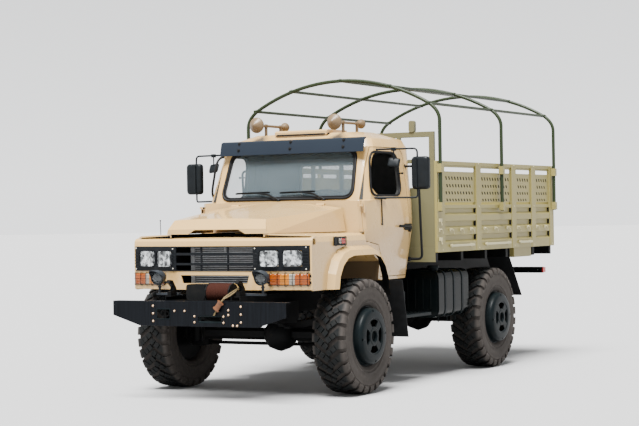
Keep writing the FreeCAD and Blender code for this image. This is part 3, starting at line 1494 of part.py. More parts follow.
def make_cab_glass(walls):
    """The windscreen and the rear window, each set in the middle of its wall."""
    gap, t = float(S.glass_clearance), float(S.glass_thickness)
    middle = behind(S.toe_rear)
    deep = float(S.cab_wall) * 0.45
    band = cab_form(deep).cut(cab_form(deep + t))
    screen = band.common(screen_tool(-gap, behind(S.firewall) - 100, middle))
    back = band.common(rear_window_tool(-gap, middle, behind(S.cab_rear_gutter) + 100))
    subpart(feature("CabGlass", Part.makeCompound([screen, back])), "cab_glass")


def make_doors(walls):
    """Each door is the cab's own wall inside its outline, with the window cut and a handle on it."""
    left = walls.common(door_tool(0)).cut(window_tool(0))
    solids = sorted(left.Solids, key=lambda s: s.Volume)
    left = solids[-1]
    y, z = float(behind(S.handle_behind)), float(above(S.handle_height))
    x = float(S.cab_belt_half)
    length = float(S.handle_length)
    bar = Part.makeBox(14, length, 20, FreeCAD.Vector(x + 26, y, z))
    stub = Part.makeBox(48, 24, 18, FreeCAD.Vector(x - 18, y + length - 40, z + 1))
    (x_pin, y_pin), r, tall = door_pin(), float(S.hinge_radius), float(S.hinge_length)
    for level in (S.hinge_low, S.hinge_high):
        z = float(above(level))
        left = left.fuse(short_bar(FreeCAD.Vector(x_pin, y_pin, z), (0, 0, 1), r, tall, 8))
        left = left.fuse(Part.makeBox(38, 34, tall, FreeCAD.Vector(x_pin - 38, y_pin + 5, z)))
    left = left.fuse(bar).fuse(stub)
    door = feature("DoorLeft", left)
    subpart(door, "door_left")
    subpart(mirrored(door, "DoorRight"), "door_right")


def make_hatch():
    """The raised lid over the roof opening."""
    walls = cab_form(-float(S.hatch_thickness) - float(S.hatch_gap)).cut(cab_form(-float(S.hatch_gap)))
    lid = walls.common(hatch_tool(0, above(S.roof_edge)))
    r = float(S.hatch_gap - S.seat_gap)
    barrels = [
        short_bar(vector(x, behind(S.hatch_rear) + r - 2, above(S.roof_top + S.hatch_gap)), (1, 0, 0), r, 80, 10)
        for x in (-240.0, 160.0)
    ]
    subpart(feature("RoofHatch", lid.multiFuse(barrels)), "roof_hatch")


# Cab fittings

def make_interior():
    """The dashboard with its steering column and wheel, and the two seats."""
    wall = S.cab_wall + S.seat_gap
    half = S.dash_half
    y = behind(S.firewall) + wall
    z = above(S.dash_height)
    dash = prism(
        "dash",
        "YZ",
        [
            (y, z - 240),
            (y + 60, z - 240),
            (y + S.dash_depth, z - 90),
            (y + S.dash_depth - 20, z),
            (y, z + 30),
        ],
        -half,
        half,
    )
    tilt = FreeCAD.Rotation(FreeCAD.Vector(1, 0, 0), -42)
    hoop = ring_of_flats(
        [
            (S.steering_rim_radius * math.cos(a), S.steering_wheel_radius + S.steering_rim_radius * math.sin(a))
            for a in (math.pi / 2 * k for k in range(4))
        ],
        14,
    )
    ring = feature("steering_rim", hoop)
    upright = FreeCAD.Rotation(FreeCAD.Vector(0, 1, 0), -90)
    ring.Placement = FreeCAD.Placement(FreeCAD.Vector(), tilt.multiply(upright))
    place(ring, S.seat_x, y + S.dash_depth + 170, z + 90)
    column = doc.addObject("Part::Prism", "steering_column")
    column.Polygon = 8
    bind(column, "Circumradius", S.column_radius)
    bind(column, "Height", S.dash_depth + 130)
    column.Placement = FreeCAD.Placement(FreeCAD.Vector(), tilt)
    place(column, S.seat_x, y + S.dash_depth - 45, z - 150)
    spoke = doc.addObject("Part::Box", "steering_spoke")
    bind(spoke, "Length", S.steering_wheel_radius * 2)
    spoke.Width = 30
    spoke.Height = 12
    spoke.Placement = FreeCAD.Placement(FreeCAD.Vector(), tilt)
    place(spoke, S.seat_x - S.steering_wheel_radius, y + S.dash_depth + 158, z + 82)
    subpart(fused("Dashboard", dash, ring, column, spoke), "dashboard")
    seats = []
    floor = above(S.cab_floor) + wall
    for i, (x, width) in enumerate(((S.seat_x, S.seat_width), (-S.seat_x + 120, S.seat_width + 240))):
        front = behind(S.seat_behind)
        back = behind(S.cab_rear_sill) - wall - 12
        base = box(f"seat_base_{i}", x - width / 2 + 40, front + 40, floor, width - 80, S.seat_depth - 120, S.seat_height - S.seat_thickness)
        cushion = prism(f"cushion_{i}", "YZ",
                        soft_rectangle(front, back, floor + S.seat_height - S.seat_thickness, floor + S.seat_height, 36),
                        x - width / 2, x + width / 2)
        back_rest = prism(f"back_{i}", "YZ",
                          [(back - 130, floor + S.seat_height - 20), (back, floor + S.seat_height - 20),
                           (back + 10, floor + S.seat_height + S.seat_back_height), (back - 80, floor + S.seat_height + S.seat_back_height)],
                          x - width / 2, x + width / 2)
        seats.append(fused(f"seat_{i}", base, cushion, back_rest))
    subpart(group("Seats", *seats), "seats")


def make_visor():
    """The bent sun visor over the windscreen, on three stays."""
    y = behind(S.screen_head) - S.visor_ahead
    z = above(S.visor_top)
    t, h = S.visor_thickness, S.visor_height
    blade = prism(
        "visor_blade",
        "YZ",
        [(y - 34, z - h), (y - 34 + t, z - h), (y + t, z - 30), (y + 40, z - t), (y + 40, z), (y + 4, z - 10), (y - 4, z - 30)],
        -S.visor_half_width,
        S.visor_half_width,
    )
    stays = [
        Part.makeBox(34, 190, 10, vector(x - 17, y + 20, z - 30)) for x in (-620.0, 0.0, 620.0)
    ]
    roof = cab_form(-float(S.seat_gap))
    outside = [stay.cut(roof) for stay in stays]
    trimmed = [max(stay.Solids, key=lambda solid: -solid.CenterOfMass.y) for stay in outside]
    arms = feature("visor_stays", Part.makeCompound(trimmed))
    subpart(fused("SunVisor", blade, arms), "sun_visor")


def make_horns():
    """A pair of roof horns, each with a large bell in front and a small one behind, on two stands."""
    big, small, tube = S.horn_big_radius, S.horn_small_radius, S.horn_tube_radius
    front, rear = behind(S.horn_front), behind(S.horn_rear)
    length = rear - front
    body = turned(
        "horn",
        [
            (-big * 0.75, 0),
            (-big * 0.1, big * 0.86),
            (big * 0.16, big),
            (big * 0.5, big * 0.9),
            (big * 1.1, tube * 1.7),
            (big * 1.6, tube),
            (length - small, tube),
            (length - small * 0.4, small * 0.85),
            (length + small * 0.2, small),
            (length + small * 0.9, small * 0.55),
            (length + small, 0),
        ],
        "Y",
        8,
    )
    place(body, S.horn_x, front, above(S.horn_height))
    stand_front = rod("horn_stand_a", "Z", S.horn_x, front + 200, above(S.roof_edge) + 40, 16, S.horn_height - S.roof_edge - 40)
    stand_rear = rod("horn_stand_b", "Z", S.horn_x, rear - 90, above(S.roof_edge) + 40, 16, S.horn_height - S.roof_edge - 40)
    roof = feature("roof_for_horns", cab_form(S.seat_gap * -1))
    left = cut("HornLeft", fused("horn_whole", body, stand_front, stand_rear), roof)
    subpart(both_sides("RoofHorns", left), "roof_horns")


def make_mirrors():
    """A mirror on its tubular arms beside each door, with a small wide-angle mirror above the window."""
    y, x = behind(S.mirror_behind), S.mirror_x
    skin = S.cab_gutter_half + 4
    r = S.arm_radius
    upper = bent_tube(
        [(skin - 50, behind(S.arm_root_top), above(S.arm_top)), (x - 30, y, above(S.arm_top)),
         (x - 30, y, above(S.mirror_bottom + S.mirror_height) - 40)],
        r, 40)
    low_skin = S.cab_belt_half - 16
    lower = bent_tube(
        [(low_skin - 50, behind(S.arm_root_low), above(S.arm_bottom)), (x - 30, y, above(S.arm_bottom)),
         (x - 30, y, above(S.mirror_bottom) + 40)],
        r, 30)
    half, low = S.mirror_width / 2, above(S.mirror_bottom)
    corners = [vector(u, y - 20, v) for u, v in ((x - half, low), (x + half, low), (x + half, low + S.mirror_height),
                                                 (x - half, low + S.mirror_height))]
    outline = soft_corners(corners, 38)
    head = polygon_face([tuple(p) for p in outline]).extrude(FreeCAD.Vector(0, float(S.mirror_depth), 0))
    root, reach = (skin - 50, behind(S.arm_root_top)), x - 30 - skin + 50
    small_y = root[1] + (y - root[1]) * ((S.small_mirror_x - root[0]) / reach)
    small = Part.makeBox(130, 30, 120, vector(S.small_mirror_x - 65, small_y - 15, above(S.arm_top) - 195))
    hanger = short_bar(vector(S.small_mirror_x, small_y, above(S.arm_top) - 100), (0, 0, 1), 7, 100, 6)
    whole = head.fuse(upper).fuse(lower).fuse(small).fuse(hanger)
    door = cab_form(-float(S.seat_gap))
    left = feature("MirrorLeft", whole.cut(door))
    subpart(left, "mirror_left")
    subpart(mirrored(left, "MirrorRight"), "mirror_right")


def make_grab_rails():
    """The grab rail at each rear corner of the cab."""
    y_top, y_low = behind(S.door_rear + 40), behind(S.cab_rear_sill) - 30
    x_top = S.cab_gutter_half - 10
    x_low = S.cab_sill_half - 10
    out = S.cab_belt_half + S.grab_out
    rail = bent_tube(
        [
            (x_top, y_top, above(S.grab_top)),
            (out, y_top, above(S.grab_top)),
            (out, y_top + 40, above(S.cab_belt)),
            (out, y_low + 40, above(S.grab_bottom)),
            (x_low, y_low, above(S.grab_bottom)),
        ],
        S.rail_tube_radius,
        50,
    )
    left = feature("GrabRailLeft", rail.cut(cab_form(-float(S.seat_gap))))
    subpart(both_sides("GrabRails", left), "grab_rails")


def make_wipers():
    """Two wipers that lie along the foot of the windscreen."""
    pieces = []
    for i, x in enumerate((-60, 470)):
        foot = vector(x, behind(S.screen_foot) - 40, above(S.cowl_height) + 12)
        elbow = vector(x - 200, behind(S.screen_foot) + 2, above(S.screen_bottom) + 92)
        tip = vector(x - float(S.wiper_length) + 20, behind(S.screen_foot) + 4, above(S.screen_bottom) + 96)
        arm = bent_tube([foot, elbow, tip], 7, 30, 4, 2)
        spindle = short_bar(vector(x, behind(S.screen_foot) - 40, above(S.cowl_height) - 30), (0, 0, 1), 14, 60)
        pieces.append(arm.fuse(spindle).cut(cab_form(-float(S.seat_gap))))
    subpart(feature("Wipers", Part.makeCompound(pieces)), "wipers")


# Steps, tank, exhaust and mudguards

def make_steps():
    """A step under each door on two hangers, with the battery box in front of the left one."""
    front, rear = behind(S.step_front), behind(S.step_rear)
    z = above(0) - S.step_height
    outer, inner = S.step_outer, S.frame_width / 2 + S.seat_gap
    tread = box("step_tread", S.step_inner, front, z, outer - S.step_inner, rear - front, S.step_thickness)
    arms = []
    for i, y in enumerate((front + 60, rear - 100)):
        arms.append(box(f"step_arm_{i}", inner, y, z + S.step_thickness - 6, 30, 40, S.step_height - S.step_thickness - 20))
        arms.append(box(f"step_foot_{i}", inner, y, z, S.step_inner - inner + 20, 40, S.step_thickness))
    locker = box("battery_box", inner, behind(S.box_front), z + S.step_thickness + 4, outer - inner - 120,
                 S.box_rear - S.box_front, S.step_height - S.step_thickness - S.box_top)
    left = fused("StepLeft", tread, locker, *arms)
    subpart(both_sides("CabSteps", left), "cab_steps")


def make_tank():
    """The fuel tank with its three straps and the two brackets that hold it to the rail."""
    front = behind(S.tank_front)
    top = above(S.tank_top)
    low = top - S.tank_height
    outer, inner = S.tank_outer, S.tank_outer - S.tank_depth
    shell = prism("tank_shell", "XZ", soft_rectangle(inner, outer, low, top, S.tank_radius, 2), front, front + S.tank_length)
    pieces = [shell]
    t = S.strap_thickness
    for i, share in enumerate((0.22, 0.5, 0.78)):
        y = front + S.tank_length * share - S.strap_width / 2
        outline = soft_rectangle(inner - t, outer + t, low - t, top + t, S.tank_radius + t, 3)
        pieces.append(prism(f"strap_{i}", "XZ", outline, y, y + S.strap_width))
    neck = rod("tank_neck", "Z", outer - 120, front + 120, top - 10, 45, 60)
    pieces.append(neck)
    for i, share in enumerate((0.22, 0.78)):
        y = front + S.tank_length * share - S.strap_width / 2
        pieces.append(box(f"tank_bracket_{i}", S.frame_width / 2 + S.seat_gap, y, FRAME_BOTTOM + 20,
                          inner - S.frame_width / 2 + 10, S.strap_width, 150))
    subpart(fused("FuelTank", *pieces), "fuel_tank")


def make_exhaust():
    """The silencer on the right side with its pipe from the engine and its tail."""
    x, z = -S.frame_width / 2 - 230, FRAME_TOP - 170
    front = behind(S.tank_front)
    drum = rod("silencer", "Y", x, front, z, 130, 620)
    pipe = rod("tail_pipe", "Y", x, front + 620, z, 38, 260)
    inlet = rod("inlet_pipe", "Y", x, front - 220, z, 38, 220)
    hang_a = box("exhaust_hanger_a", x, front + 90, z - 20, 230 - S.seat_gap, 50, 60)
    hang_b = box("exhaust_hanger_b", x, front + 470, z - 20, 230 - S.seat_gap, 50, 60)
    subpart(fused("Exhaust", drum, pipe, inlet, hang_a, hang_b), "exhaust")


def make_mudguards():
    """Flaps behind the front wheels and leaning guards round the rear ones."""
    t = S.flap_thickness
    inner = S.track / 2 - S.tyre_width / 2 - 4
    front_y, foot_y = behind(S.flap_front), behind(S.flap_front + S.flap_lean)
    high, low = above(S.cab_floor) - S.seat_gap, S.tyre_radius - 70
    front = prism("front_flap", "YZ", [(front_y, high), (front_y + t, high), (foot_y + t, low), (foot_y, low)],
                  S.front_flap_inner, S.front_flap_inner + S.front_flap_width)
    back_y, tail_y = REAR_AXLE + S.guard_behind, REAR_AXLE + S.guard_behind + S.guard_lean
    under, knee = above(S.bed_height - S.bed_thickness) - S.seat_gap, above(S.bed_height - S.bed_thickness - S.beam_height)
    low = S.tyre_radius + 200
    rear = prism(
        "rear_flap",
        "YZ",
        [(back_y, under), (back_y + t, under), (back_y + t, knee), (tail_y + t, low), (tail_y, low), (back_y, knee)],
        inner,
        inner + S.flap_width,
    )
    left = group("FlapsLeft", front, rear)
    subpart(both_sides("Mudguards", left), "mudguards")


def make_lamp_bar():
    """The bar across the tail that holds the rear lamps, on two arms from the rails."""
    y = REAR_END - S.lamp_bar_inset
    z = above(S.lamp_bar_rise)
    half = S.lamp_bar_half
    bar = box("lamp_beam", -half, y, z, half * 2, 60, S.lamp_bar_height)
    lamp = box("tail_lamp", half - 330, y + 60, z + 6, 300, 34, S.lamp_bar_height - 12)
    subpart(fused("LampBar", bar, lamp, mirrored(lamp)), "rear_lamp_bar")


# Cargo body

def bed_floor_level():
    return above(S.bed_height)


def make_cargo_floor():
    """The load floor on its cross beams and two long sills that lie on the rails."""
    front, rear = behind(S.bed_front), REAR_END - S.side_thickness - S.seat_gap
    top = bed_floor_level()
    half = S.bed_half_width - S.side_thickness - S.seat_gap
    floor = box("bed_floor", -half, front, top - S.bed_thickness, half * 2, rear - front, S.bed_thickness)
    pieces = [floor]
    beam_low = top - S.bed_thickness - S.beam_height
    stations = [front, front + 640, front + 1280, behind(S.tool_front) - 260,
                behind(S.tool_front + S.tool_length) + 20, rear - 60]
    for i, y in enumerate(stations):
        pieces.append(box(f"beam_{i}", -half, y, beam_low, half * 2, 60, S.beam_height + 2))
    sill_low = FRAME_TOP + S.seat_gap
    sill = box("sill", rail_middle() - S.sill_width / 2, front, sill_low, S.sill_width, rear - front - 200,
               beam_low - sill_low + 2)
    pieces += [sill, mirrored(sill)]
    subpart(fused("CargoFloor", *pieces), "cargo_floor")


def side_panels():
    """Start and end of the four panels along the side, two wide ones and two narrow ones."""
    front, rear = behind(S.bed_front) + 50, REAR_END - S.seat_gap
    post = S.post_width
    free = rear - front - post * 5
    panels, y = [], front + post
    for share in (0.315, 0.335, 0.18, 0.17):
        panels.append((y, y + free * share))
        y = y + free * share + post
    return front, rear, panels


def make_cargo_sides():
    """Each side: a ribbed lower wall, posts, and a thin pierced wall above with a hand slot."""
    low = bed_floor_level() - S.bed_thickness - 10
    top = low + S.side_height
    out = S.bed_half_width
    inner = out - S.side_thickness
    front, rear, panels = side_panels()
    lattice_low = low + S.lattice_bottom
    slots = []
    for start, end in panels:
        slots.append([(start + 30, top - S.slot_drop - S.slot_height), (end - 30, top - S.slot_drop - S.slot_height),
                      (end - 30, top - S.slot_drop), (start + 30, top - S.slot_drop)])
        slots.append([(start + 10, lattice_low), (end - 10, lattice_low),
                      (end - 10, lattice_low + S.gap_height), (start + 10, lattice_low + S.gap_height)])
    head = behind(S.bed_front) - 10
    sheet = prism("side_sheet", "YZ", [(head, low), (rear, low), (rear, top), (head, top)],
                  inner, inner + S.lattice_thickness + 8, holes=slots)
    pieces = [sheet]
    post_starts = [front] + [end for _, end in panels]
    pieces.append(box("post_0", inner, head, low, S.side_thickness, front + S.post_width - head, S.side_height))
    for i, y in enumerate(post_starts[1:], start=1):
        pieces.append(box(f"post_{i}", inner, y, low, S.side_thickness, S.post_width, S.side_height))
    rib = S.rib_height
    for k in range(3):
        z = low + 30 + k * (rib + 78)
        for i, (start, end) in enumerate(panels):
            pieces.append(box(f"rib_{k}_{i}", inner, start, z, S.side_thickness - 6, end - start, rib))
    left = fused("SideLeft", *pieces)
    subpart(both_sides("CargoSides", left), "cargo_sides")


def make_headboard():
    """The front wall of the cargo body: a solid lower board and an open frame above the cab's roof."""
    y = behind(S.bed_front) + S.seat_gap
    low = bed_floor_level() + S.seat_gap
    half = S.bed_half_width - S.side_thickness - S.seat_gap
    t = S.side_thickness
    board = box("board", -half, y, low, half * 2, t, S.headboard_height)
    top = above(S.headboard_rail_top)
    post = S.headboard_post
    left = box("head_post", half - post, y, low, post, t, top - low)
    rail = box("head_rail", -half, y, top - 58, half * 2, t, 58)
    mid = box("head_mid_rail", -half, y, top - 330, half * 2, t, 40)
    uprights = [box(f"head_upright_{i}", x - 20, y, low, 40, t, top - low - 20) for i, x in enumerate((-700, -350, 0, 350, 700))]
    marker = prism(
        "marker",
        "XZ",
        soft_rectangle(S.marker_x - S.marker_width / 2, S.marker_x + S.marker_width / 2, top - 4, top + S.marker_height, 20),
        y - 10,
        y + t + 10,
    )
    subpart(fused("Headboard", board, left, mirrored(left), rail, mid, marker, *uprights), "headboard")


def make_tailgate():
    """The drop-down tailgate with its ribs."""
    half = S.bed_half_width - S.side_thickness - S.door_gap
    y = REAR_END - S.side_thickness
    low = bed_floor_level() + 8
    sheet = box("gate_sheet", -half, y, low, half * 2, 14, S.tailgate_height)
    frame = prism(
        "gate_frame",
        "XZ",
        rectangle(-half, half, low, low + S.tailgate_height),
        y,
        y + S.side_thickness - S.seat_gap,
        holes=[rectangle(-half + 60, half - 60, low + 60, low + S.tailgate_height - 60)],
    )
    ribs = [box(f"gate_rib_{i}", x - 30, y, low, 60, S.side_thickness - 4, S.tailgate_height) for i, x in enumerate((-540, 0, 540))]
    r = S.gate_hinge_radius
    hinges = []
    for i, x in enumerate((-860, -60, 740)):
        hinges.append(pin(f"gate_barrel_{i}", "X", x, y + r, low - 28, r, 120))
        hinges.append(box(f"gate_strap_{i}", x, y + r - 5, low - 28, 120, 10, 60))
    subpart(fused("Tailgate", sheet, frame, *ribs, *hinges), "tailgate")


def bow_stations():
    """The three bows stand at the first post, inside the second panel, and at the last post."""
    front, rear, panels = side_panels()
    return [behind(S.bed_front) + 24, (panels[1][0] + panels[1][1]) / 2 + 90, rear - 45]


def bow_shape(y):
    """One bow: two upright legs, an elbow bend at each side and a long arc between them."""
    w, r = float(S.bow_half_width), float(S.bow_radius)
    z_foot = float(above(S.bow_foot))
    elbow = float(above(S.bow_elbow))
    top = float(above(S.bow_top))
    y = float(y)
    rise = top - elbow
    arc_radius = (w**2 + rise**2) / (2 * rise)
    trim = float(S.bow_bend) * 0.75
    angle = math.asin((w - trim) / arc_radius)
    shoulder = FreeCAD.Vector(w - trim, y, top - arc_radius * (1 - math.cos(angle)))
    leg_top = FreeCAD.Vector(w, y, elbow - trim)
    hinge = FreeCAD.Vector(w - trim * 0.2, y, elbow - trim * 0.12)
    early = leg_top * 0.3 + hinge * 0.7 + FreeCAD.Vector(trim * 0.05, 0, -trim * 0.1)
    late = shoulder * 0.3 + hinge * 0.7 + FreeCAD.Vector(-trim * 0.1, 0, trim * 0.04)
    half = [FreeCAD.Vector(w, y, z_foot), leg_top, early, late, shoulder]
    for k in (1, 2):
        a = angle * (1 - k / 3.0)
        half.append(FreeCAD.Vector(arc_radius * math.sin(a), y, top - arc_radius * (1 - math.cos(a))))
    line = half + [FreeCAD.Vector(0, y, top)] + [FreeCAD.Vector(-p.x, p.y, p.z) for p in reversed(half)]
    return tube_along(line, r), arc_radius


def make_bows():
    """Three canopy bows in sockets on the sides, joined by five long bars."""
    stations = bow_stations()
    shapes = []
    arc_radius = 0
    for y in stations:
        shape, arc_radius = bow_shape(y)
        shapes.append(shape)
    top = float(above(S.bow_top))
    first, last = float(stations[0]), float(stations[-1])
    for x in (-1060.0, -600.0, 0.0, 600.0, 1060.0):
        z = top - (arc_radius - math.sqrt(arc_radius**2 - x**2))
        shapes.append(
            short_bar(FreeCAD.Vector(x, first, z), (0, 1, 0), S.bar_radius, last - first, 4)
        )
    whole = shapes[0].multiFuse(shapes[1:])
    low = float(bed_floor_level() - S.bed_thickness - 10)
    side_face = float(S.bed_half_width) + float(S.seat_gap)
    sockets = []
    w, r = float(S.bow_half_width), float(S.bow_radius)
    for y in stations:
        for z in (low + float(S.side_height) - 120, float(above(S.bow_foot)) + 6):
            for side in (-1, 1):
                x = side_face if side > 0 else -w - r - 6
                sockets.append(
                    Part.makeBox(w + r + 6 - side_face, 2 * r + 24, 90, FreeCAD.Vector(x, float(y) - r - 12, z))
                )
    subpart(feature("CanopyBows", whole.multiFuse(sockets)), "canopy_bows")


def make_tool_box():
    """The tool locker under the bed, hung from its beams."""
    y = behind(S.tool_front)
    outer = S.bed_half_width - 40
    top = bed_floor_level() - S.bed_thickness - S.seat_gap
    locker = box("locker", outer - S.tool_depth, y, top - S.tool_height, S.tool_depth, S.tool_length, S.tool_height)
    subpart(locker, "tool_box")


def check_objects():
    """Stops the build if any object failed or any sub-part isn't a valid solid."""
    failed = [f"{o.Name} {o.State}" for o in doc.Objects if {"Invalid", "Error"} & set(o.State)]
    for thing in SUBPARTS:
        shape = thing.Shape
        if shape.isNull() or not shape.isValid() or not shape.Solids:
            failed.append(f"{thing.Label} isn't a valid solid")
    if failed:
        raise RuntimeError("; ".join(failed))


def main():
    make_wheels()
    make_front_axle()
    make_rear_axle()
    make_knuckles()
    make_tie_rod()
    make_frame()
    make_springs()
    make_driveline()
    make_engine()
    make_radiator()
    make_bumper()
    make_winch()
    make_winch_rope()
    make_spot_lamps()
    make_front_panel()
    make_grille()
    make_headlamps()
    make_turn_lamps()
    make_hood()
    make_wings()
    walls = cab_walls()
    make_cab(walls)
    make_cab_glass(walls)
    make_doors(walls)
    make_hatch()
    make_interior()
    make_visor()
    make_horns()
    make_mirrors()
    make_grab_rails()
    make_wipers()
    make_steps()
    make_tank()
    make_exhaust()
    make_mudguards()
    make_lamp_bar()
    make_cargo_floor()
    make_cargo_sides()
    make_headboard()
    make_tailgate()
    make_bows()
    make_tool_box()
    doc.recompute()
    check_objects()
    os.makedirs("parts", exist_ok=True)
    for thing in SUBPARTS:
        thing.Shape.exportStep(os.path.join("parts", thing.Label + ".step"))
    print(len(SUBPARTS), "sub-parts written")


main()
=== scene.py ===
"""Looks for a four-wheel-drive military cargo truck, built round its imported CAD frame.

Each sub-assembly is a class that holds its own sizes, makes its pieces and gives
them their finishes. All sizes are in metres, in the frame of the CAD model: X to
the truck's left, Y to its rear, Z up.
"""

import logging
import math
from dataclasses import dataclass
from enum import Enum
from typing import Callable, Iterable, Optional, Sequence, Union

import bmesh
import bpy
from mathutils import Matrix, Vector


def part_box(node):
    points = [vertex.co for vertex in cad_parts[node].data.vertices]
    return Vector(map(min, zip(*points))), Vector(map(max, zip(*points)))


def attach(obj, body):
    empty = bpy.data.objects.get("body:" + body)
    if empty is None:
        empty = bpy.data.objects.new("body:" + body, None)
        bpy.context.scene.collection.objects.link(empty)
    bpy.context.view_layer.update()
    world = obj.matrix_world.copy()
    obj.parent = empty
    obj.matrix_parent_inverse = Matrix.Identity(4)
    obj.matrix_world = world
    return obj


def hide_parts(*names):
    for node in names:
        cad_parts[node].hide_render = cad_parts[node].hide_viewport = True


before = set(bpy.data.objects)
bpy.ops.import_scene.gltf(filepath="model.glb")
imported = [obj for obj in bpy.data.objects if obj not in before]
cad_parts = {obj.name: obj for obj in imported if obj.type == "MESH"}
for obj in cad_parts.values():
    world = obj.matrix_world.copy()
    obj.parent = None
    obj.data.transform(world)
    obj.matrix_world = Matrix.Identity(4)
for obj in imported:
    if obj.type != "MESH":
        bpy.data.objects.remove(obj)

logging.basicConfig(level=logging.INFO, format="%(message)s")
LOG = logging.getLogger("truck")

Point = tuple[float, float, float]
Flat = tuple[float, float]
Colour = tuple[float, float, float]
Value = Union["Signal", float, Sequence[float]]
Chooser = Callable[[Vector, Vector], bool]

LEFT, RIGHT = 1, -1
SQUARE = ((-1, -1), (1, -1), (1, 1), (-1, 1))
ORIGIN = (0, 0, 0)
WELD = 2e-5
FLAT_ANGLE = 0.6
PANEL_FACE = -2.764
PANEL_FOLD = 0.435
PANEL_SLOPE = 0.1933
CAB_SIDE = 0.985
CAB_BELT = 1.600
CAB_SLOPE = 0.1085
PAD_LENGTHS = 26
PAD_SIDES = 20
PAD_SQUARENESS = 0.42


# ---- shader helpers


class Signal:
    """The value of a socket, on which Python's arithmetic adds Math nodes."""

    def __init__(self, tree: bpy.types.NodeTree, socket: bpy.types.NodeSocket) -> None:
        """Holds the socket and the tree it is in."""
        self.tree = tree
        self.socket = socket

    def maths(self, operation: str, *values: Value, clamp: bool = False) -> "Signal":
        """Adds one Math node.

        Args:
            operation: the node's operation.
            values: its inputs, in order.
            clamp: whether the result stays from 0 to 1.

        Returns:
            The node's result.
        """
        node = self.tree.nodes.new("ShaderNodeMath")
        node.operation = operation
        node.use_clamp = clamp
        for slot, value in zip(node.inputs, values):
            feed(self.tree, value, slot)
        return Signal(self.tree, node.outputs[0])

    def __add__(self, other: Value) -> "Signal":
        """The sum."""
        return self.maths("ADD", self, other)

    __radd__ = __add__

    def __sub__(self, other: Value) -> "Signal":
        """This less the other."""
        return self.maths("SUBTRACT", self, other)

    def __rsub__(self, other: Value) -> "Signal":
        """The other less this."""
        return self.maths("SUBTRACT", other, self)

    def __mul__(self, other: Value) -> "Signal":
        """The product."""
        return self.maths("MULTIPLY", self, other)

    __rmul__ = __mul__

    def between(self, low: float, high: float) -> "Signal":
        """0 below low, 1 above high, and a straight rise from one to the other."""
        return self.maths("MULTIPLY", self - low, 1 / (high - low), clamp=True)


def feed(tree: bpy.types.NodeTree, value: Value, slot: bpy.types.NodeSocket) -> None:
    """Links a signal to a socket, or sets the socket to a plain value.

    Args:
        tree: the node tree.
        value: the signal, number, colour or vector.
        slot: the socket.
    """
    if isinstance(value, Signal):
        tree.links.new(value.socket, slot)
    elif isinstance(value, (int, float)):
        slot.default_value = value
    else:
        slot.default_value = (*value, 1.0)[:len(slot.default_value)]


class Nodes:
    """A node tree, written through one call."""

    def __init__(self, tree: bpy.types.NodeTree) -> None:
        """Holds the tree."""
        self.tree = tree

    def node(self, kind: str, settings: Optional[dict] = None,
             inputs: Optional[dict] = None, out: Union[int, str] = 0) -> Signal:
        """Adds one node.

        Args:
            kind: the node's type, without its usual beginning.
            settings: its properties.
            inputs: values or signals by socket name or number.
            out: which output to hand back.

        Returns:
            The chosen output.
        """
        node = self.tree.nodes.new("ShaderNode" + kind)
        for key, value in (settings or {}).items():
            setattr(node, key, value)
        for key, value in (inputs or {}).items():
            feed(self.tree, value, node.inputs[key])
        return Signal(self.tree, node.outputs[out])


class Shader(Nodes):
    """The nodes of one material round a single Principled surface."""

    def __init__(self, name: str) -> None:
        """Starts the material."""
        self.material = bpy.data.materials.new(name)
        self.material.use_nodes = True
        super().__init__(self.material.node_tree)
        self.tree.nodes.clear()
        output = self.tree.nodes.new("ShaderNodeOutputMaterial")
        self.surface = self.tree.nodes.new("ShaderNodeBsdfPrincipled")
        self.tree.links.new(self.surface.outputs[0], output.inputs[0])

    def place(self, stretch: Point = (1, 1, 1)) -> Signal:
        """The point in metres, drawn out or squeezed along each axis.

        Args:
            stretch: the factor along each axis.

        Returns:
            The point.
        """
        point = self.node("TexCoord", out="Object")
        if stretch == (1, 1, 1):
            return point
        return self.node("VectorMath", {"operation": "MULTIPLY"}, {0: point, 1: stretch})

    def reach(self, stretch: Point) -> Signal:
        """How far the drawn-out point is from the origin."""
        return self.node("VectorMath", {"operation": "LENGTH"}, {0: self.place(stretch)}, "Value")

    def noise(self, scale: float, detail: float = 3, rough: float = 0.5,
              stretch: Point = (1, 1, 1)) -> Signal:
        """Soft noise of a given scale per metre."""
        return self.node("TexNoise", None, {"Vector": self.place(stretch), "Scale": scale,
                                            "Detail": detail, "Roughness": rough})

    def wave(self, bands: str, scale: float, distortion: float, detail: float = 2) -> Signal:
        """Bands along an axis or the diagonal, pushed out of line by noise."""
        return self.node("TexWave", {"bands_direction": bands},
                         {"Vector": self.place(), "Scale": scale, "Distortion": distortion, "Detail": detail})

    def axis(self, name: str) -> Signal:
        """One of the point's numbers, named X, Y or Z."""
        return self.node("SeparateXYZ", None, {0: self.place()}, name)

    def facing(self, name: str) -> Signal:
        """How far the surface faces along X, Y or Z."""
        return self.node("SeparateXYZ", None, {0: self.node("NewGeometry", out="Normal")}, name)

    def mix(self, share: Value, first: Value, second: Value) -> Signal:
        """A colour between two, by share."""
        return self.node("Mix", {"data_type": "RGBA"}, {0: share, 6: first, 7: second}, 2)

    def bump(self, height: Signal, strength: float, distance: float) -> None:
        """Sends a height to the surface's normal."""
        normal = self.node("Bump", None, {"Height": height, "Strength": strength, "Distance": distance})
        feed(self.tree, normal, self.surface.inputs["Normal"])

    def surface_with(self, **values: Value) -> None:
        """Sets the surface's sockets, with _ for a space in their names."""
        for key, value in values.items():
            feed(self.tree, value, self.surface.inputs[key.replace("_", " ")])


# ---- finishes


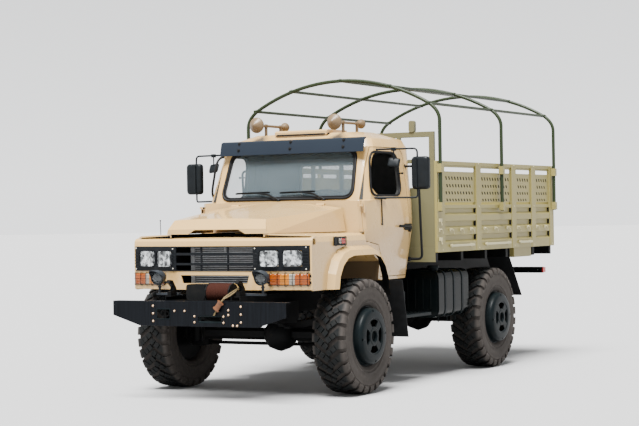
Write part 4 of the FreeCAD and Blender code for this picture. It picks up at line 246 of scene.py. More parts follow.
@dataclass(frozen=True)
class Finish:
    """A surface finish, which makes its material once."""

    name: str
    slot: str
    colour: Colour

    def material(self) -> bpy.types.Material:
        """The finish's material."""
        found = bpy.data.materials.get(self.name)
        if found:
            return found
        shader = Shader(self.name)
        self.shade(shader)
        return shader.material

    def shade(self, shader: Shader) -> None:
        """Writes the nodes; each kind of finish has its own.

        Args:
            shader: the material's nodes.
        """
        shader.surface_with(Base_Color=self.colour)

    def tone(self, factor: float) -> Colour:
        """The finish's colour, lighter or darker."""
        return tuple(min(1.0, c * factor) for c in self.colour)

    def shades(self, shader: Shader, share: Signal, first: float, second: float) -> Signal:
        """The finish's colour between two tones of it, by share."""
        return shader.mix(share, self.tone(first), self.tone(second))


@dataclass(frozen=True)
class Enamel(Finish):
    """Sprayed paint with slow shifts of tone, road dust low down and a clear coat."""

    roughness: float = 0.34
    coat: float = 0.5
    dust: float = 0.35
    dust_colour: Colour = (0.24, 0.18, 0.10)
    grain: float = 0.05
    specular: float = 0.4

    def shade(self, shader: Shader) -> None:
        """Paint, dust and a faint orange-peel surface."""
        broad = shader.noise(1.1, 4)
        patches = shader.noise(9, 6, 0.62)
        paint = self.shades(shader, broad.between(0.3, 0.7), 0.93, 1.05)
        low = 1 - shader.axis("Z").between(0.5, 1.9)
        flat = shader.facing("Z").between(0.35, 1.0)
        dusty = (low * 0.5 + flat * 0.35) * patches.between(0.38, 0.75) * self.dust
        shader.surface_with(Base_Color=shader.mix(dusty, paint, self.dust_colour),
                            Roughness=patches.between(0, 1) * 0.12 + (self.roughness - 0.06) + dusty * 0.35,
                            Coat_Weight=self.coat, Coat_Roughness=0.08, Specular_IOR_Level=self.specular)
        shader.bump(shader.noise(420, 2) + broad * 0.6, self.grain, 0.002)


@dataclass(frozen=True)
class Brushed(Finish):
    """Black plate with fine strokes that run upright, worn lighter in places."""

    def shade(self, shader: Shader) -> None:
        """Strokes in colour, gloss and relief."""
        strokes = shader.noise(60, 5, 0.6, (1.6, 1.6, 0.05))
        shader.surface_with(Base_Color=self.shades(shader, strokes.between(0.35, 0.75), 0.55, 1.7),
                            Roughness=strokes * 0.35 + shader.noise(4, 3) * 0.2 + 0.12, Specular_IOR_Level=0.08)
        shader.bump(strokes, 0.25, 0.0012)


@dataclass(frozen=True)
class Casting(Finish):
    """Black chassis paint over rough castings and plate, with dried mud."""

    roughness: float = 0.5
    mud: float = 0.25
    mud_colour: Colour = (0.020, 0.017, 0.014)

    def shade(self, shader: Shader) -> None:
        """Paint with mud in the hollows and a pitted surface."""
        pits = shader.noise(85, 5, 0.6)
        clumps = shader.noise(6, 6, 0.65)
        muddy = clumps.between(0.5, 0.78) * self.mud
        shader.surface_with(Base_Color=shader.mix(muddy, self.colour, self.mud_colour),
                            Roughness=pits * 0.2 + (self.roughness - 0.1) + muddy * 0.4, Specular_IOR_Level=0.06)
        shader.bump(pits + clumps * 0.5, 0.18, 0.002)


@dataclass(frozen=True)
class Moulded(Finish):
    """Grained black plastic or painted trim."""

    roughness: float = 0.45

    def shade(self, shader: Shader) -> None:
        """A fine pebble grain."""
        grain = shader.node("TexVoronoi", None, {"Vector": shader.place(), "Scale": 700})
        wear = shader.noise(14, 4)
        shader.surface_with(Base_Color=self.shades(shader, wear.between(0.3, 0.8), 0.85, 1.3),
                            Roughness=wear * 0.16 + (self.roughness - 0.08), Specular_IOR_Level=0.10)
        shader.bump(grain, 0.12, 0.0006)


@dataclass(frozen=True)
class TyreRubber(Finish):
    """Tyre rubber: taupe bloom on the sidewall and dust between the blocks, darkened on the groove floors as painted
    shade, and a darker tread colour that also covers the block flanks as painted shadow.
    """

    bloom: Colour = (0.046, 0.040, 0.036)
    base: float = 0.5355
    shoulder: float = 0.130

    def faded(self, factor: float) -> Colour:
        """The bloom's colour, darker."""
        return tuple(c * factor for c in self.bloom)

    def shade(self, shader: Shader) -> None:
        """Colour by the distance from the axle, with a fine sandy surface."""
        radius = shader.reach((0, 1, 1))
        inner = 1 - shader.reach((1, 0, 0)).between(self.shoulder - 0.008, self.shoulder + 0.030)
        # Above the groove floor the tread's own dark colour covers the block tops and, as painted shadow, the block
        # flanks.
        raised = radius.between(self.base, self.base + 0.003)
        floor = (1 - raised) * inner * radius.between(0.52, 0.53)
        blotch = shader.noise(26, 5, 0.6)
        side = shader.mix(blotch.between(0.3, 0.75), self.bloom, self.faded(0.72))
        # Groove floors take half the bloom's colour as painted shade.
        side = shader.mix(floor, side, self.faded(0.5))
        shader.surface_with(Base_Color=shader.mix(raised * inner * (0.75 + blotch * 0.4), side, self.colour),
                            Roughness=blotch * 0.2 + 0.62, Specular_IOR_Level=0.08)
        shader.bump(shader.noise(260, 4) + blotch, 0.2, 0.0015)


@dataclass(frozen=True)
class Rubber(Finish):
    """Plain black rubber for seals and flaps."""

    def shade(self, shader: Shader) -> None:
        """Dull black with a light bloom."""
        bloom = shader.noise(18, 5)
        shader.surface_with(Base_Color=shader.mix(bloom.between(0.4, 0.8), self.colour, self.tone(1.9)),
                            Roughness=bloom * 0.25 + 0.45, Specular_IOR_Level=0.14)
        shader.bump(shader.noise(300, 2), 0.1, 0.0008)


@dataclass(frozen=True)
class Metal(Finish):
    """Bare or plated metal."""

    roughness: float = 0.25
    metallic: float = 1.0

    def shade(self, shader: Shader) -> None:
        """Plating with slight stains."""
        stain = shader.noise(40, 4)
        shader.surface_with(Base_Color=self.shades(shader, stain.between(0.35, 0.8), 1.05, 0.7),
                            Metallic=self.metallic, Roughness=stain * 0.25 + (self.roughness - 0.1))
        shader.bump(stain, 0.05, 0.001)


@dataclass(frozen=True)
class Glass(Finish):
    """Window glass with a thin film of dust."""

    alpha: float = 0.3

    def shade(self, shader: Shader) -> None:
        """Clear glass, a little less so where dust has dried."""
        film = shader.noise(3, 5, 0.6)
        shader.surface_with(Base_Color=self.colour, Roughness=0.03, IOR=1.5, Specular_IOR_Level=0.7, Coat_Weight=0.4,
                            Coat_Roughness=0.02, Alpha=film.between(0.3, 0.8) * 0.1 + self.alpha)


@dataclass(frozen=True)
class Lens(Finish):
    """A moulded lamp lens with upright flutes."""

    alpha: float = 0.35
    flutes: float = 330
    relief: float = 0.35

    def shade(self, shader: Shader) -> None:
        """Flutes as relief under a glossy face."""
        wave = shader.wave("X", self.flutes / 6.28, 0.4)
        shader.surface_with(Base_Color=self.shades(shader, shader.noise(30, 3).between(0.3, 0.7), 0.85, 1.15),
                            Roughness=0.12, Alpha=self.alpha, Coat_Weight=0.2, Specular_IOR_Level=0.3)
        shader.bump(wave, self.relief, 0.002)


@dataclass(frozen=True)
class Bowl(Finish):
    """A plated lamp bowl in facets, with painted reflection in its colour: dark where it faces down, lighter in upright
    facets and patches.
    """

    def shade(self, shader: Shader) -> None:
        """Plating whose colour carries painted reflection: darker where it looks down, broken up by upright facets and
        patches.
        """
        facets = shader.wave("X", 5, 3.0, 1)
        painted_reflection = (shader.facing("Z").between(-0.6, 0.5) * 0.5 + facets.between(0.2, 0.8) * 0.2
               + shader.noise(24, 2, 0.5).between(0.42, 0.60) * 0.5)
        shader.surface_with(Base_Color=self.shades(shader, painted_reflection.between(0.35, 1.05), 0.03, 1.2),
                            Metallic=0.5, Roughness=facets * 0.1 + 0.1)
        shader.bump(facets, 0.35, 0.004)


@dataclass(frozen=True)
class Cordage(Finish):
    """Laid rope, with its strands as slanting bands."""

    pitch: float = 60

    def shade(self, shader: Shader) -> None:
        """Strands and loose fibres."""
        wave = shader.wave("DIAGONAL", self.pitch, 2.0)
        fibre = shader.noise(500, 4)
        shader.surface_with(Base_Color=self.shades(shader, wave * fibre, 0.5, 1.7),
                            Roughness=0.85, Specular_IOR_Level=0.1)
        shader.bump(wave + fibre * 0.4, 0.6, 0.003)


@dataclass(frozen=True)
class Cloth(Finish):
    """Woven seat cover."""

    def shade(self, shader: Shader) -> None:
        """A plain weave with worn lighter patches."""
        weave = shader.wave("X", 90, 0.6) * shader.wave("Z", 90, 0.6)
        shader.surface_with(Base_Color=self.shades(shader, weave * 0.5 + shader.noise(7, 4) * 0.4, 0.6, 1.8),
                            Roughness=0.8, Sheen_Weight=0.2)
        shader.bump(weave, 0.5, 0.0015)


@dataclass(frozen=True)
class Ground(Finish):
    """The pale floor of the scene."""

    def shade(self, shader: Shader) -> None:
        """Even and matt, with hardly any variation."""
        shader.surface_with(Base_Color=self.shades(shader, shader.noise(0.3, 2), 0.985, 1.0), Roughness=0.9)


class Coat(Enum):
    """The finishes that the truck's pieces share."""

    SAND = Enamel("Sand enamel", "cab_paint", (0.425, 0.265, 0.096), 0.28, 0.5, 0.04)
    # Horn enamel, also put on the sheet behind the front wheels as painted shade.
    HORN = Enamel("Horn enamel", "cab_paint", (0.112, 0.074, 0.038), 0.42, 0.1, 0.1, specular=0.25)
    KHAKI = Enamel("Khaki enamel", "body_paint", (0.205, 0.172, 0.056), 0.45, 0.05, 0.15, specular=0.3)
    PALE = Enamel("Worn khaki", "body_paint", (0.36, 0.32, 0.17), 0.4, 0.1, 0.1, specular=0.4)
    # Darker khaki as painted shade, for the headboard and the bed's front underside, which sit in the cab's shadow.
    DRAB = Enamel("Drab khaki", "body_paint", (0.105, 0.096, 0.048), 0.5, 0.0, 0.15, specular=0.2)
    OLIVE = Enamel("Olive enamel", "bow_paint", (0.015, 0.023, 0.009), 0.4, 0.0, 0.05, specular=0.18)
    SLATE = Enamel("Slate enamel", "visor_paint", (0.0095, 0.0135, 0.020), 0.42, 0.0, 0.05, specular=0.10)
    BLACK = Enamel("Black gloss", "chassis_paint", (0.0016, 0.0027, 0.0031), 0.15, 0.02, 0.02, specular=0.05)
    SATIN = Enamel("Satin black", "wheel_paint", (0.0028, 0.0052, 0.0064), 0.36, 0.0, 0.03, specular=0.05)
    PLATE = Brushed("Brushed black", "chassis_paint", (0.0022, 0.0028, 0.0040))
    CHASSIS = Casting("Chassis black", "chassis_paint", (0.0030, 0.0032, 0.0034))
    CAST = Casting("Casting black", "axle_paint", (0.0042, 0.0044, 0.0046), 0.55, 0.35)
    IRON = Casting("Engine iron", "engine_iron", (0.010, 0.0105, 0.011), 0.5, 0.3)
    PIPE = Casting("Dull pipe", "exhaust_steel", (0.030, 0.027, 0.024), 0.5, 0.4)
    LAMP_SHELL = Moulded("Lamp shell", "spot_lamp", (0.020, 0.023, 0.027), 0.42)
    PLASTIC = Moulded("Black plastic", "grille_plastic", (0.0045, 0.0054, 0.0066), 0.42)
    TRIM = Moulded("Trim black", "trim", (0.0045, 0.0050, 0.0056), 0.4)
    HOUSING = Moulded("Mirror housing", "mirror_housing", (0.0055, 0.0068, 0.0078), 0.42)
    INSIDE = Moulded("Cab lining", "trim", (0.022, 0.022, 0.021), 0.6)
    # Radiator black, also put on the bed's slot lining and recess ends as painted shade.
    CORE = Casting("Radiator black", "radiator_core", (0.006, 0.006, 0.006), 0.5, 0.1)
    FLAP = Rubber("Flap rubber", "flap_rubber", (0.0035, 0.0037, 0.0040))
    SEAL = Rubber("Seal rubber", "trim", (0.0040, 0.0040, 0.0042))
    TYRE = TyreRubber("Tyre rubber", "tyre", (0.0058, 0.0068, 0.0070))
    COPPER = Metal("Copper rivet", "chassis_paint", (0.50, 0.33, 0.20), 0.34, 0.45)
    BRONZE = Metal("Bronze ferrule", "chassis_paint", (0.115, 0.043, 0.017), 0.4, 0.35)
    BRIGHT = Bowl("Lamp bowl", "lamp_glass", (0.62, 0.65, 0.66))
    FINS = Metal("Radiator fins", "radiator_core", (0.30, 0.31, 0.32), 0.45, 0.2)
    ZINC = Metal("Dull zinc", "body_paint", (0.42, 0.40, 0.34), 0.45, 0.2)
    MIRROR = Metal("Mirror silver", "mirror_housing", (0.85, 0.87, 0.88), 0.12)
    SCREEN = Glass("Window glass", "glass", (0.10, 0.13, 0.145), 0.24)
    DARK_GLASS = Glass("Side glass", "glass", (0.05, 0.06, 0.065), 0.45)
    HEAD_LENS = Lens("Headlamp lens", "lamp_glass", (0.42, 0.46, 0.48), 0.05, 150, 0.10)
    AMBER = Lens("Amber lens", "amber_lens", (0.24, 0.046, 0.0005), 0.97, 420)
    # A lighter band on the amber lamps as painted highlight.
    YELLOW = Lens("Yellow lens", "amber_lens", (0.40, 0.125, 0.001), 0.97, 420)
    CLEAR = Lens("Clear lens", "amber_lens", (0.26, 0.23, 0.19), 0.95, 420)
    RED = Lens("Red lens", "amber_lens", (0.38, 0.008, 0.005), 0.97, 420)
    ROPE = Cordage("Brown rope", "rope", (0.030, 0.0080, 0.0045))
    STRAND = Cordage("Pale strand", "rope", (0.17, 0.125, 0.062), 110)
    SEAT = Cloth("Seat cloth", "seat_cover", (0.010, 0.011, 0.016))
    FLOOR = Ground("Pale floor", "", (0.34, 0.34, 0.34))


# ---- mesh helpers


class Axis(Enum):
    """The axis that a section is drawn across."""

    X = "x"
    Y = "y"
    Z = "z"

    def at(self, u: float, v: float, along: float) -> Vector:
        """A point from its two numbers across the axis and one along it."""
        return Vector({Axis.X: (along, u, v), Axis.Y: (u, along, v), Axis.Z: (u, v, along)}[self])


def turns(count: int) -> list[float]:
    """Angles at even steps round a circle."""
    return [2 * math.pi * k / count for k in range(count)]


def swept(start: Vector, corner: Vector, end: Vector, steps: int) -> list[Vector]:
    """A curve that leaves start and reaches end along the lines to a corner."""
    return [start * (1 - t) ** 2 + corner * (2 * t * (1 - t)) + end * t ** 2
            for t in (k / steps for k in range(steps + 1))]


def soft_corners(corners: Sequence[Flat], radius: float, steps: int = 5) -> list[Flat]:
    """A closed outline with its corners rounded.

    Args:
        corners: the outline's corners, in order.
        radius: how far from each corner its rounding starts.
        steps: how many runs each rounding has.

    Returns:
        The rounded outline.
    """
    made = []
    for i, corner in enumerate(corners):
        here = Vector(corner)
        ends = [Vector(corners[j % len(corners)]) - here for j in (i - 1, i + 1)]
        start, end = (here + way.normalized() * min(radius, way.length * 0.49) for way in ends)
        made += [tuple(p) for p in swept(start, here, end, steps)]
    return made


def soft_rectangle(low: Flat, high: Flat, radius: float, steps: int = 5) -> list[Flat]:
    """A rectangle with rounded corners."""
    return soft_corners([low, (high[0], low[1]), high, (low[0], high[1])], radius, steps)


def grown(low: Flat, high: Flat, by: float, radius: float, steps: int = 5) -> list[Flat]:
    """A rounded rectangle, once its sides are moved out."""
    return soft_rectangle((low[0] - by, low[1] - by), (high[0] + by, high[1] + by), radius, steps)


def bent(points: Sequence[Point], radius: float, steps: int = 6) -> list[Vector]:
    """A run of straight tube with its corners bent to a radius.

    Args:
        points: the tube's corners and ends.
        radius: how far from a corner its bend starts.
        steps: how many runs each bend has.

    Returns:
        The points of the bent line.
    """
    line = [Vector(p) for p in points]
    made = [line[0]]
    for before, here, after in zip(line, line[1:], line[2:]):
        start, end = (here + way.normalized() * min(radius, way.length * 0.45)
                      for way in (before - here, after - here))
        made += swept(start, here, end, steps)
    return made + [line[-1]]


@dataclass
class Dress:
    """How a piece's edges and shading are treated."""

    bevel: float = 0.0
    steps: int = 2
    limit: float = 30.0
    smooth: float = 38.0


CRISP = Dress(0.001, 1)
SLIGHT = Dress(0.002, 2)
EASED = Dress(0.003, 2)
ROUGH = Dress(0.002, 1, 50)
SHEET = Dress(0.003, 2, 35)
THICK = Dress(0.004, 2, 35)
CREASED = Dress(smooth=40)
TURNED = Dress(smooth=50)
ROUND = Dress(smooth=60)
SEALED = Dress(smooth=80)


class Form:
    """The faces of one piece, gathered before they become an object."""

    def __init__(self) -> None:
        """Starts with nothing."""
        self.mesh = bmesh.new()

    @classmethod
    def of_node(cls, node: str) -> "Form":
        """A cleaned copy of a CAD node's mesh, with flat runs as single faces.

        Args:
            node: the CAD node's name.

        Returns:
            The new form.
        """
        form = cls()
        form.mesh.from_mesh(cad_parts[node].data)
        bmesh.ops.remove_doubles(form.mesh, verts=form.mesh.verts, dist=WELD)
        bmesh.ops.dissolve_limit(form.mesh, angle_limit=math.radians(FLAT_ANGLE),
                                 verts=form.mesh.verts, edges=form.mesh.edges)
        return form

    def loft(self, rings: Sequence[Sequence[Vector]], wrap: bool = False) -> "Form":
        """Joins closed rings of equal counts.

        Args:
            rings: the rings, in order.
            wrap: whether the last ring joins the first, or else both are closed with a face.

        Returns:
            The form itself.
        """
        rows = [[self.mesh.verts.new(p) for p in ring] for ring in rings]
        pairs = list(zip(rows, rows[1:])) + ([(rows[-1], rows[0])] if wrap else [])
        for low, high in pairs:
            for i, corner in enumerate(low):
                j = (i + 1) % len(low)
                self.mesh.faces.new((corner, low[j], high[j], high[i]))
        if not wrap:
            self.mesh.faces.new(list(reversed(rows[0])))
            self.mesh.faces.new(rows[-1])
        return self

    def block(self, low: Point, high: Point) -> "Form":
        """A box between two corners.

        Args:
            low: its lowest corner.
            high: its highest corner.

        Returns:
            The form itself.
        """
        middle = (Vector(low) + Vector(high)) / 2
        half = (Vector(high) - Vector(low)) / 2
        return self.loft([[middle + Vector((u * half.x, v * half.y, w * half.z)) for u, v in SQUARE]
                          for w in (-1, 1)])

    def slab(self, outline: Sequence[Flat], axis: Axis, start: float, end: float) -> "Form":
        """An outline drawn out along an axis."""
        return self.loft([[axis.at(u, v, w) for u, v in outline] for w in (start, end)])

    def hoop(self, outer: Sequence[Flat], inner: Sequence[Flat], start: float, end: float) -> "Form":
        """A flat band along Y between two outlines of equal counts."""
        edges = ((outer, start), (outer, end), (inner, end), (inner, start))
        return self.loft([[Axis.Y.at(u, v, y) for u, v in outline] for outline, y in edges], wrap=True)

    def tray(self, low: Flat, high: Flat, corner: float, steps: int, stations: Sequence[Flat],
             at: Callable[[float, float, float], Vector], tighter: float = 0.0) -> "Form":
        """A rounded rectangle lofted through stations.

        Args:
            low: its lowest corner.
            high: its highest corner.
            corner: how far from each corner its rounding starts.
            steps: how many runs each rounding has.
            stations: how far it is inset, and how deep, at each ring.
            at: makes a point from its two numbers and its depth.
            tighter: how much of an inset its rounding loses.

        Returns:
            The form itself.
        """
        return self.loft([[at(u, v, depth) for u, v in grown(low, high, -inset, corner - inset * tighter, steps)]
                          for inset, depth in stations])

    def lathe(self, profile: Sequence[Flat], centre: Point, axis: Axis, sides: int = 48,
              wrap: bool = False) -> "Form":
        """A profile of (radius, place along the axis) turned about the axis."""
        return self.loft([[Vector(centre) + axis.at(max(r, 1e-4) * math.cos(a), max(r, 1e-4) * math.sin(a), along)
                           for a in turns(sides)] for r, along in profile], wrap)

    def tube(self, path: Sequence[Point], radius: float, sides: int = 12, closed: bool = False) -> "Form":
        """A round bar along a line of points.

        Args:
            path: the points of its middle line.
            radius: its radius.
            sides: how many sides it has.
            closed: whether its end joins its start.

        Returns:
            The form itself.
        """
        line = [Vector(p) for p in path]
        last = len(line) - 1
        rings = []
        side = None
        for i, here in enumerate(line):
            before, after = (i - 1, (i + 1) % len(line)) if closed else (max(i - 1, 0), min(i + 1, last))
            ahead = (line[after] - line[before]).normalized()
            side = ahead.orthogonal().normalized() if side is None else (side - ahead * side.dot(ahead)).normalized()
            other = ahead.cross(side)
            rings.append([here + (side * math.cos(a) + other * math.sin(a)) * radius for a in turns(sides)])
        return self.loft(rings, closed)

    def ball(self, centre: Point, radius: float, squash: Point = (1, 1, 1), sides: int = 16) -> "Form":
        """A round or squashed ball.

        Args:
            centre: its middle.
            radius: its radius.
            squash: the factor along each axis.
            sides: how many sides it has.

        Returns:
            The form itself.
        """
        wide, deep, tall = squash
        return self.loft([[
            Vector(centre) + Vector((math.sin(a) * math.cos(b) * wide, math.sin(a) * math.sin(b) * deep,
                                     math.cos(a) * tall)) * radius
            for b in turns(sides)] for a in turns(sides)[1:sides // 2]])

    def mirror(self) -> "Form":
        """Adds the same faces on the truck's other side."""
        made = bmesh.ops.duplicate(self.mesh, geom=self.mesh.verts[:] + self.mesh.edges[:] + self.mesh.faces[:])
        for item in made["geom"]:
            if isinstance(item, bmesh.types.BMVert):
                item.co.x = -item.co.x
        return self

    def on_side(self, side: int) -> "Form":
        """Moves a left-hand form to the side asked for.

        Args:
            side: 1 on the left, -1 on the right.

        Returns:
            The form itself.
        """
        for vert in self.mesh.verts:
            vert.co.x *= side
        return self

    def object(self, name: str) -> bpy.types.Object:
        """Turns the faces into a linked object.

        Args:
            name: the object's name.

        Returns:
            The object, without a finish.
        """
        self.mesh.normal_update()
        bmesh.ops.recalc_face_normals(self.mesh, faces=self.mesh.faces)
        mesh = bpy.data.meshes.new(name)
        self.mesh.to_mesh(mesh)
        self.mesh.free()
        for stale in ("custom_normal", "sharp_edge"):
            if stale in mesh.attributes:
                mesh.attributes.remove(mesh.attributes[stale])
        mesh.materials.clear()
        return linked(name, mesh)

    def only_mesh(self, name: str) -> bpy.types.Mesh:
        """Turns the faces into a mesh for several objects."""
        return without_object(self.object(name))

    def done(self, name: str, coat: Coat, how: Optional[Dress] = None, replaces: Iterable[str] = (),
             body: str = "chassis") -> bpy.types.Object:
        """Turns the faces into a dressed piece."""
        return dress(self.object(name), coat, body, how, replaces)

    def paired(self, name: str, coat: Coat, how: Optional[Dress] = None,
               replaces: Iterable[str] = ()) -> bpy.types.Object:
        """Turns the faces and their twins on the other side into a dressed piece."""
        return self.mirror().done(name, coat, how, replaces)


def linked(name: str, data: bpy.types.ID) -> bpy.types.Object:
    """An object with the given data, in the scene."""
    made = bpy.data.objects.new(name, data)
    bpy.context.scene.collection.objects.link(made)
    return made


def without_object(piece: bpy.types.Object) -> bpy.types.Mesh:
    """A piece's mesh, once the piece itself is removed."""
    mesh = piece.data
    bpy.data.objects.remove(piece)
    return mesh


def cut(piece: bpy.types.Object, tool: Form) -> None:
    """Takes a tool's form out of a piece's mesh.

    Args:
        piece: the object that is cut.
        tool: the form that is taken away.
    """
    cutter = tool.object(piece.name + ".tool")
    modifier = piece.modifiers.new("cut", "BOOLEAN")
    modifier.operation = "DIFFERENCE"
    modifier.solver = "EXACT"
    modifier.object = cutter
    made = bpy.data.meshes.new_from_object(piece.evaluated_get(bpy.context.evaluated_depsgraph_get()))
    piece.modifiers.clear()
    piece.data = made
    bpy.data.objects.remove(cutter)


def edged(piece: bpy.types.Object, how: Dress) -> None:
    """Rounds a piece's edges, or else marks those that its shading keeps sharp.

    Args:
        piece: the object.
        how: its edge treatment.
    """
    piece.data.shade_smooth()
    if not how.bevel:
        piece.data.set_sharp_from_angle(angle=math.radians(how.smooth))
        return
    edge = piece.modifiers.new("edges", "BEVEL")
    edge.width = how.bevel
    edge.segments = how.steps
    edge.limit_method = "ANGLE"
    edge.angle_limit = math.radians(how.limit)
    edge.harden_normals = True
    edge.use_clamp_overlap = True


def dress(piece: bpy.types.Object, coat: Coat, body: str, how: Optional[Dress] = None,
          replaces: Iterable[str] = ()) -> bpy.types.Object:
    """Gives a piece its edges, shading, finish and body, and hides the CAD nodes it stands for.

    Args:
        piece: the object.
        coat: its finish.
        body: the CAD body that it rides on.
        how: its edge treatment.
        replaces: the CAD nodes that it stands for.

    Returns:
        The piece.
    """
    edged(piece, how or Dress())
    piece.data.materials.clear()
    piece.data.materials.append(coat.value.material())
    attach(piece, body)
    nodes = list(replaces)
    if nodes:
        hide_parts(*nodes)
    LOG.info("%s on %s, %s", piece.name, body, coat.value.name)
    return piece


def node_piece(node: str, coat: Coat, how: Dress, body: str = "chassis") -> bpy.types.Object:
    """A dressed copy of one CAD node, which it then stands for."""
    return Form.of_node(node).done(node + ".skin", coat, how, [node], body)


def second_coat(piece: bpy.types.Object, coat: Coat, chosen: Chooser) -> None:
    """Gives some faces of a piece another finish.

    Args:
        piece: the object.
        coat: the other finish.
        chosen: says from a face's middle and normal whether it takes it.
    """
    piece.data.materials.append(coat.value.material())
    for face in piece.data.polygons:
        if chosen(face.center, face.normal):
            face.material_index = len(piece.data.materials) - 1


def panel_y(x: float) -> float:
    """The face of the front panel, which is flat in the middle and folds back outside."""
    return PANEL_FACE + max(0.0, abs(x) - PANEL_FOLD) * PANEL_SLOPE


def side_x(z: float) -> float:
    """The cab's side, which leans in above the belt."""
    return CAB_SIDE - max(0.0, z - CAB_BELT) * CAB_SLOPE


# ---- camera and studio


@dataclass
class Viewpoint:
    """The camera at the photograph's place and angle."""

    place: Point = (8.725, -16.274, 1.730)
    azimuth: float = 29.269
    pitch: float = -0.081
    roll: float = -0.928
    lens: float = 95.24

    def build(self) -> None:
        """Makes the camera and gives it to the scene."""
        around, tip, lean = (math.radians(a) for a in (self.azimuth, self.pitch, self.roll))
        ahead = Vector((-math.sin(around) * math.cos(tip), math.cos(around) * math.cos(tip), -math.sin(tip)))
        across = Vector((math.cos(around), math.sin(around), 0.0))
        up = across.cross(ahead)
        right = math.cos(lean) * across + math.sin(lean) * up
        top = -math.sin(lean) * across + math.cos(lean) * up
        data = bpy.data.cameras.new("camera")
        data.lens = self.lens
        data.sensor_width = 36.0
        data.clip_end = 200.0
        camera = linked("camera", data)
        camera.matrix_world = Matrix([*zip(right, top, -ahead, self.place), (0, 0, 0, 1)])
        bpy.context.scene.camera = camera


@dataclass
class Studio:
    """A pale floor under a soft sky, brightest at its rim, and one broad light from above."""

    floor_half: float = 300.0
    floor_depth: float = 0.02
    sky_rim: float = 1.95
    sky_top: float = 0.7
    sky_colour: Colour = (0.98, 0.99, 1.0)
    lamp_from: Point = (0.06, -0.38, 0.92)
    lamp_strength: float = 19.0
    lamp_spread: float = 32

    def build(self) -> None:
        """Makes the floor, the sky and the lamp."""
        half = self.floor_half
        floor = Form().block((-half, -half, -self.floor_depth), (half, half, 0.0)).object("floor")
        floor.data.materials.append(Coat.FLOOR.value.material())
        world = bpy.data.worlds.new("sky")
        world.use_nodes = True
        sky = Nodes(world.node_tree)
        height = sky.node("SeparateXYZ", None, {0: sky.node("TexCoord", out="Generated")}, "Z")
        glow = (1 - height.between(0.02, 0.42)) * (self.sky_rim - self.sky_top) + self.sky_top
        background = sky.tree.nodes["Background"].inputs
        feed(sky.tree, glow, background["Strength"])
        feed(sky.tree, self.sky_colour, background["Color"])
        bpy.context.scene.world = world
        sun = bpy.data.lights.new("over", "SUN")
        sun.energy = self.lamp_strength
        sun.angle = math.radians(self.lamp_spread)
        lamp = linked("over", sun)
        lamp.rotation_mode = "QUATERNION"
        lamp.rotation_quaternion = (-Vector(self.lamp_from)).to_track_quat("-Z", "Y")


# ---- running gear


@dataclass
class Tyre:
    """A cross-country tyre with diagonal chains of blocks that end in shoulder lugs."""

    radius: float = 0.5585
    pitches: int = 28
    base: float = 0.534
    sunk: float = 0.006
    lean: float = math.radians(38.0)
    block_half: float = 0.0263
    block_taper: float = 0.95
    chain_half: float = 0.0282
    block_step: float = 0.0595
    first_block: float = 0.0175
    lug_turns: Flat = (0.110, 0.132)
    sides: int = 112

    def carcass(self, form: Form) -> None:
        """The casing, from bead to bead, with the rings on its sidewalls."""
        half = [(0.292, 0.100), (0.294, 0.136), (0.305, 0.150), (0.318, 0.1545), (0.322, 0.1585), (0.334, 0.161),
                (0.338, 0.158), (0.352, 0.1625), (0.356, 0.1665), (0.362, 0.1665), (0.366, 0.1645), (0.400, 0.1715),
                (0.432, 0.1735), (0.462, 0.1715), (0.470, 0.1725), (0.475, 0.1665), (0.497, 0.159), (0.514, 0.150),
                (0.526, 0.137), (self.base - 0.002, 0.115), (self.base, 0.06)]
        form.lathe(half + [(r, -x) for r, x in reversed(half)], ORIGIN, Axis.X, self.sides, wrap=True)

    def crown(self, x: float) -> float:
        """The tread's outer radius at a distance from its middle."""
        return self.radius - 0.42 * x * x

    def wrap(self, x: float, run: float, radius: float) -> Vector:
        """A point at a width, a run along the tread and a radius."""
        angle = run / self.radius
        return Vector((x, radius * math.sin(angle), radius * math.cos(angle)))

    def block(self, form: Form, x: float, run: float, side: int) -> None:
        """One square block of a chain, turned to the chain's lean.

        Args:
            form: the form that it joins.
            x: its place across the tread.
            run: its place along the tread.
            side: the side of the tread that it is on.
        """
        along = Vector((math.cos(self.lean), math.sin(self.lean))) * self.block_half
        across = Vector((-math.sin(self.lean), math.cos(self.lean))) * self.chain_half
        corners = [along * a + across * b for a, b in SQUARE]
        low = [self.wrap(side * (x + p.x), run + p.y, self.base - self.sunk) for p in corners]
        tops = [p * self.block_taper for p in corners]
        form.loft([low, [self.wrap(side * (x + p.x), run + p.y, self.crown(x + p.x)) for p in tops]])

    def lug(self, form: Form, x: float, run: float, side: int) -> None:
        """One shoulder lug: it follows its chain, turns straight out and runs down the sidewall.

        Args:
            form: the form that it joins.
            x: its place across the tread.
            run: its place along the tread.
            side: the side of the tread that it is on.
        """
        half = self.chain_half / math.cos(self.lean)
        rings = []
        for edge, turn in zip((-1, 1), self.lug_turns):
            inner = x - edge * self.chain_half * math.sin(self.lean)
            section = [(inner, self.base - self.sunk), (inner, self.crown(inner)), (turn, self.crown(turn)),
                       (0.151, self.crown(0.151)), (0.161, 0.5405), (0.171, 0.522), (0.1745, 0.494), (0.169, 0.478),
                       (0.155, 0.500), (0.135, 0.520)]
            rings.append([self.wrap(side * u, run + (min(u, turn) - x) * math.tan(self.lean)
                                    + edge * half * (1.0 - 0.10 * (u > 0.15)), r) for u, r in section])
        form.loft(rings)

    def build(self) -> bpy.types.Mesh:
        """The mesh that all four tyres share."""
        form = Form()
        self.carcass(form)
        pitch = 2 * math.pi * self.radius / self.pitches
        step = Vector((math.cos(self.lean), math.sin(self.lean))) * self.block_step
        for k in range(self.pitches):
            for side, shift in ((LEFT, 0.0), (RIGHT, 0.5)):
                here = Vector((self.first_block, (k + shift) * pitch))
                self.block(form, *here, side)
                here += step
                self.block(form, *here, side)
                here += step * ((self.block_half + 0.007) / self.block_step)
                self.lug(form, *here, side)
        return form.only_mesh("tyre.form")


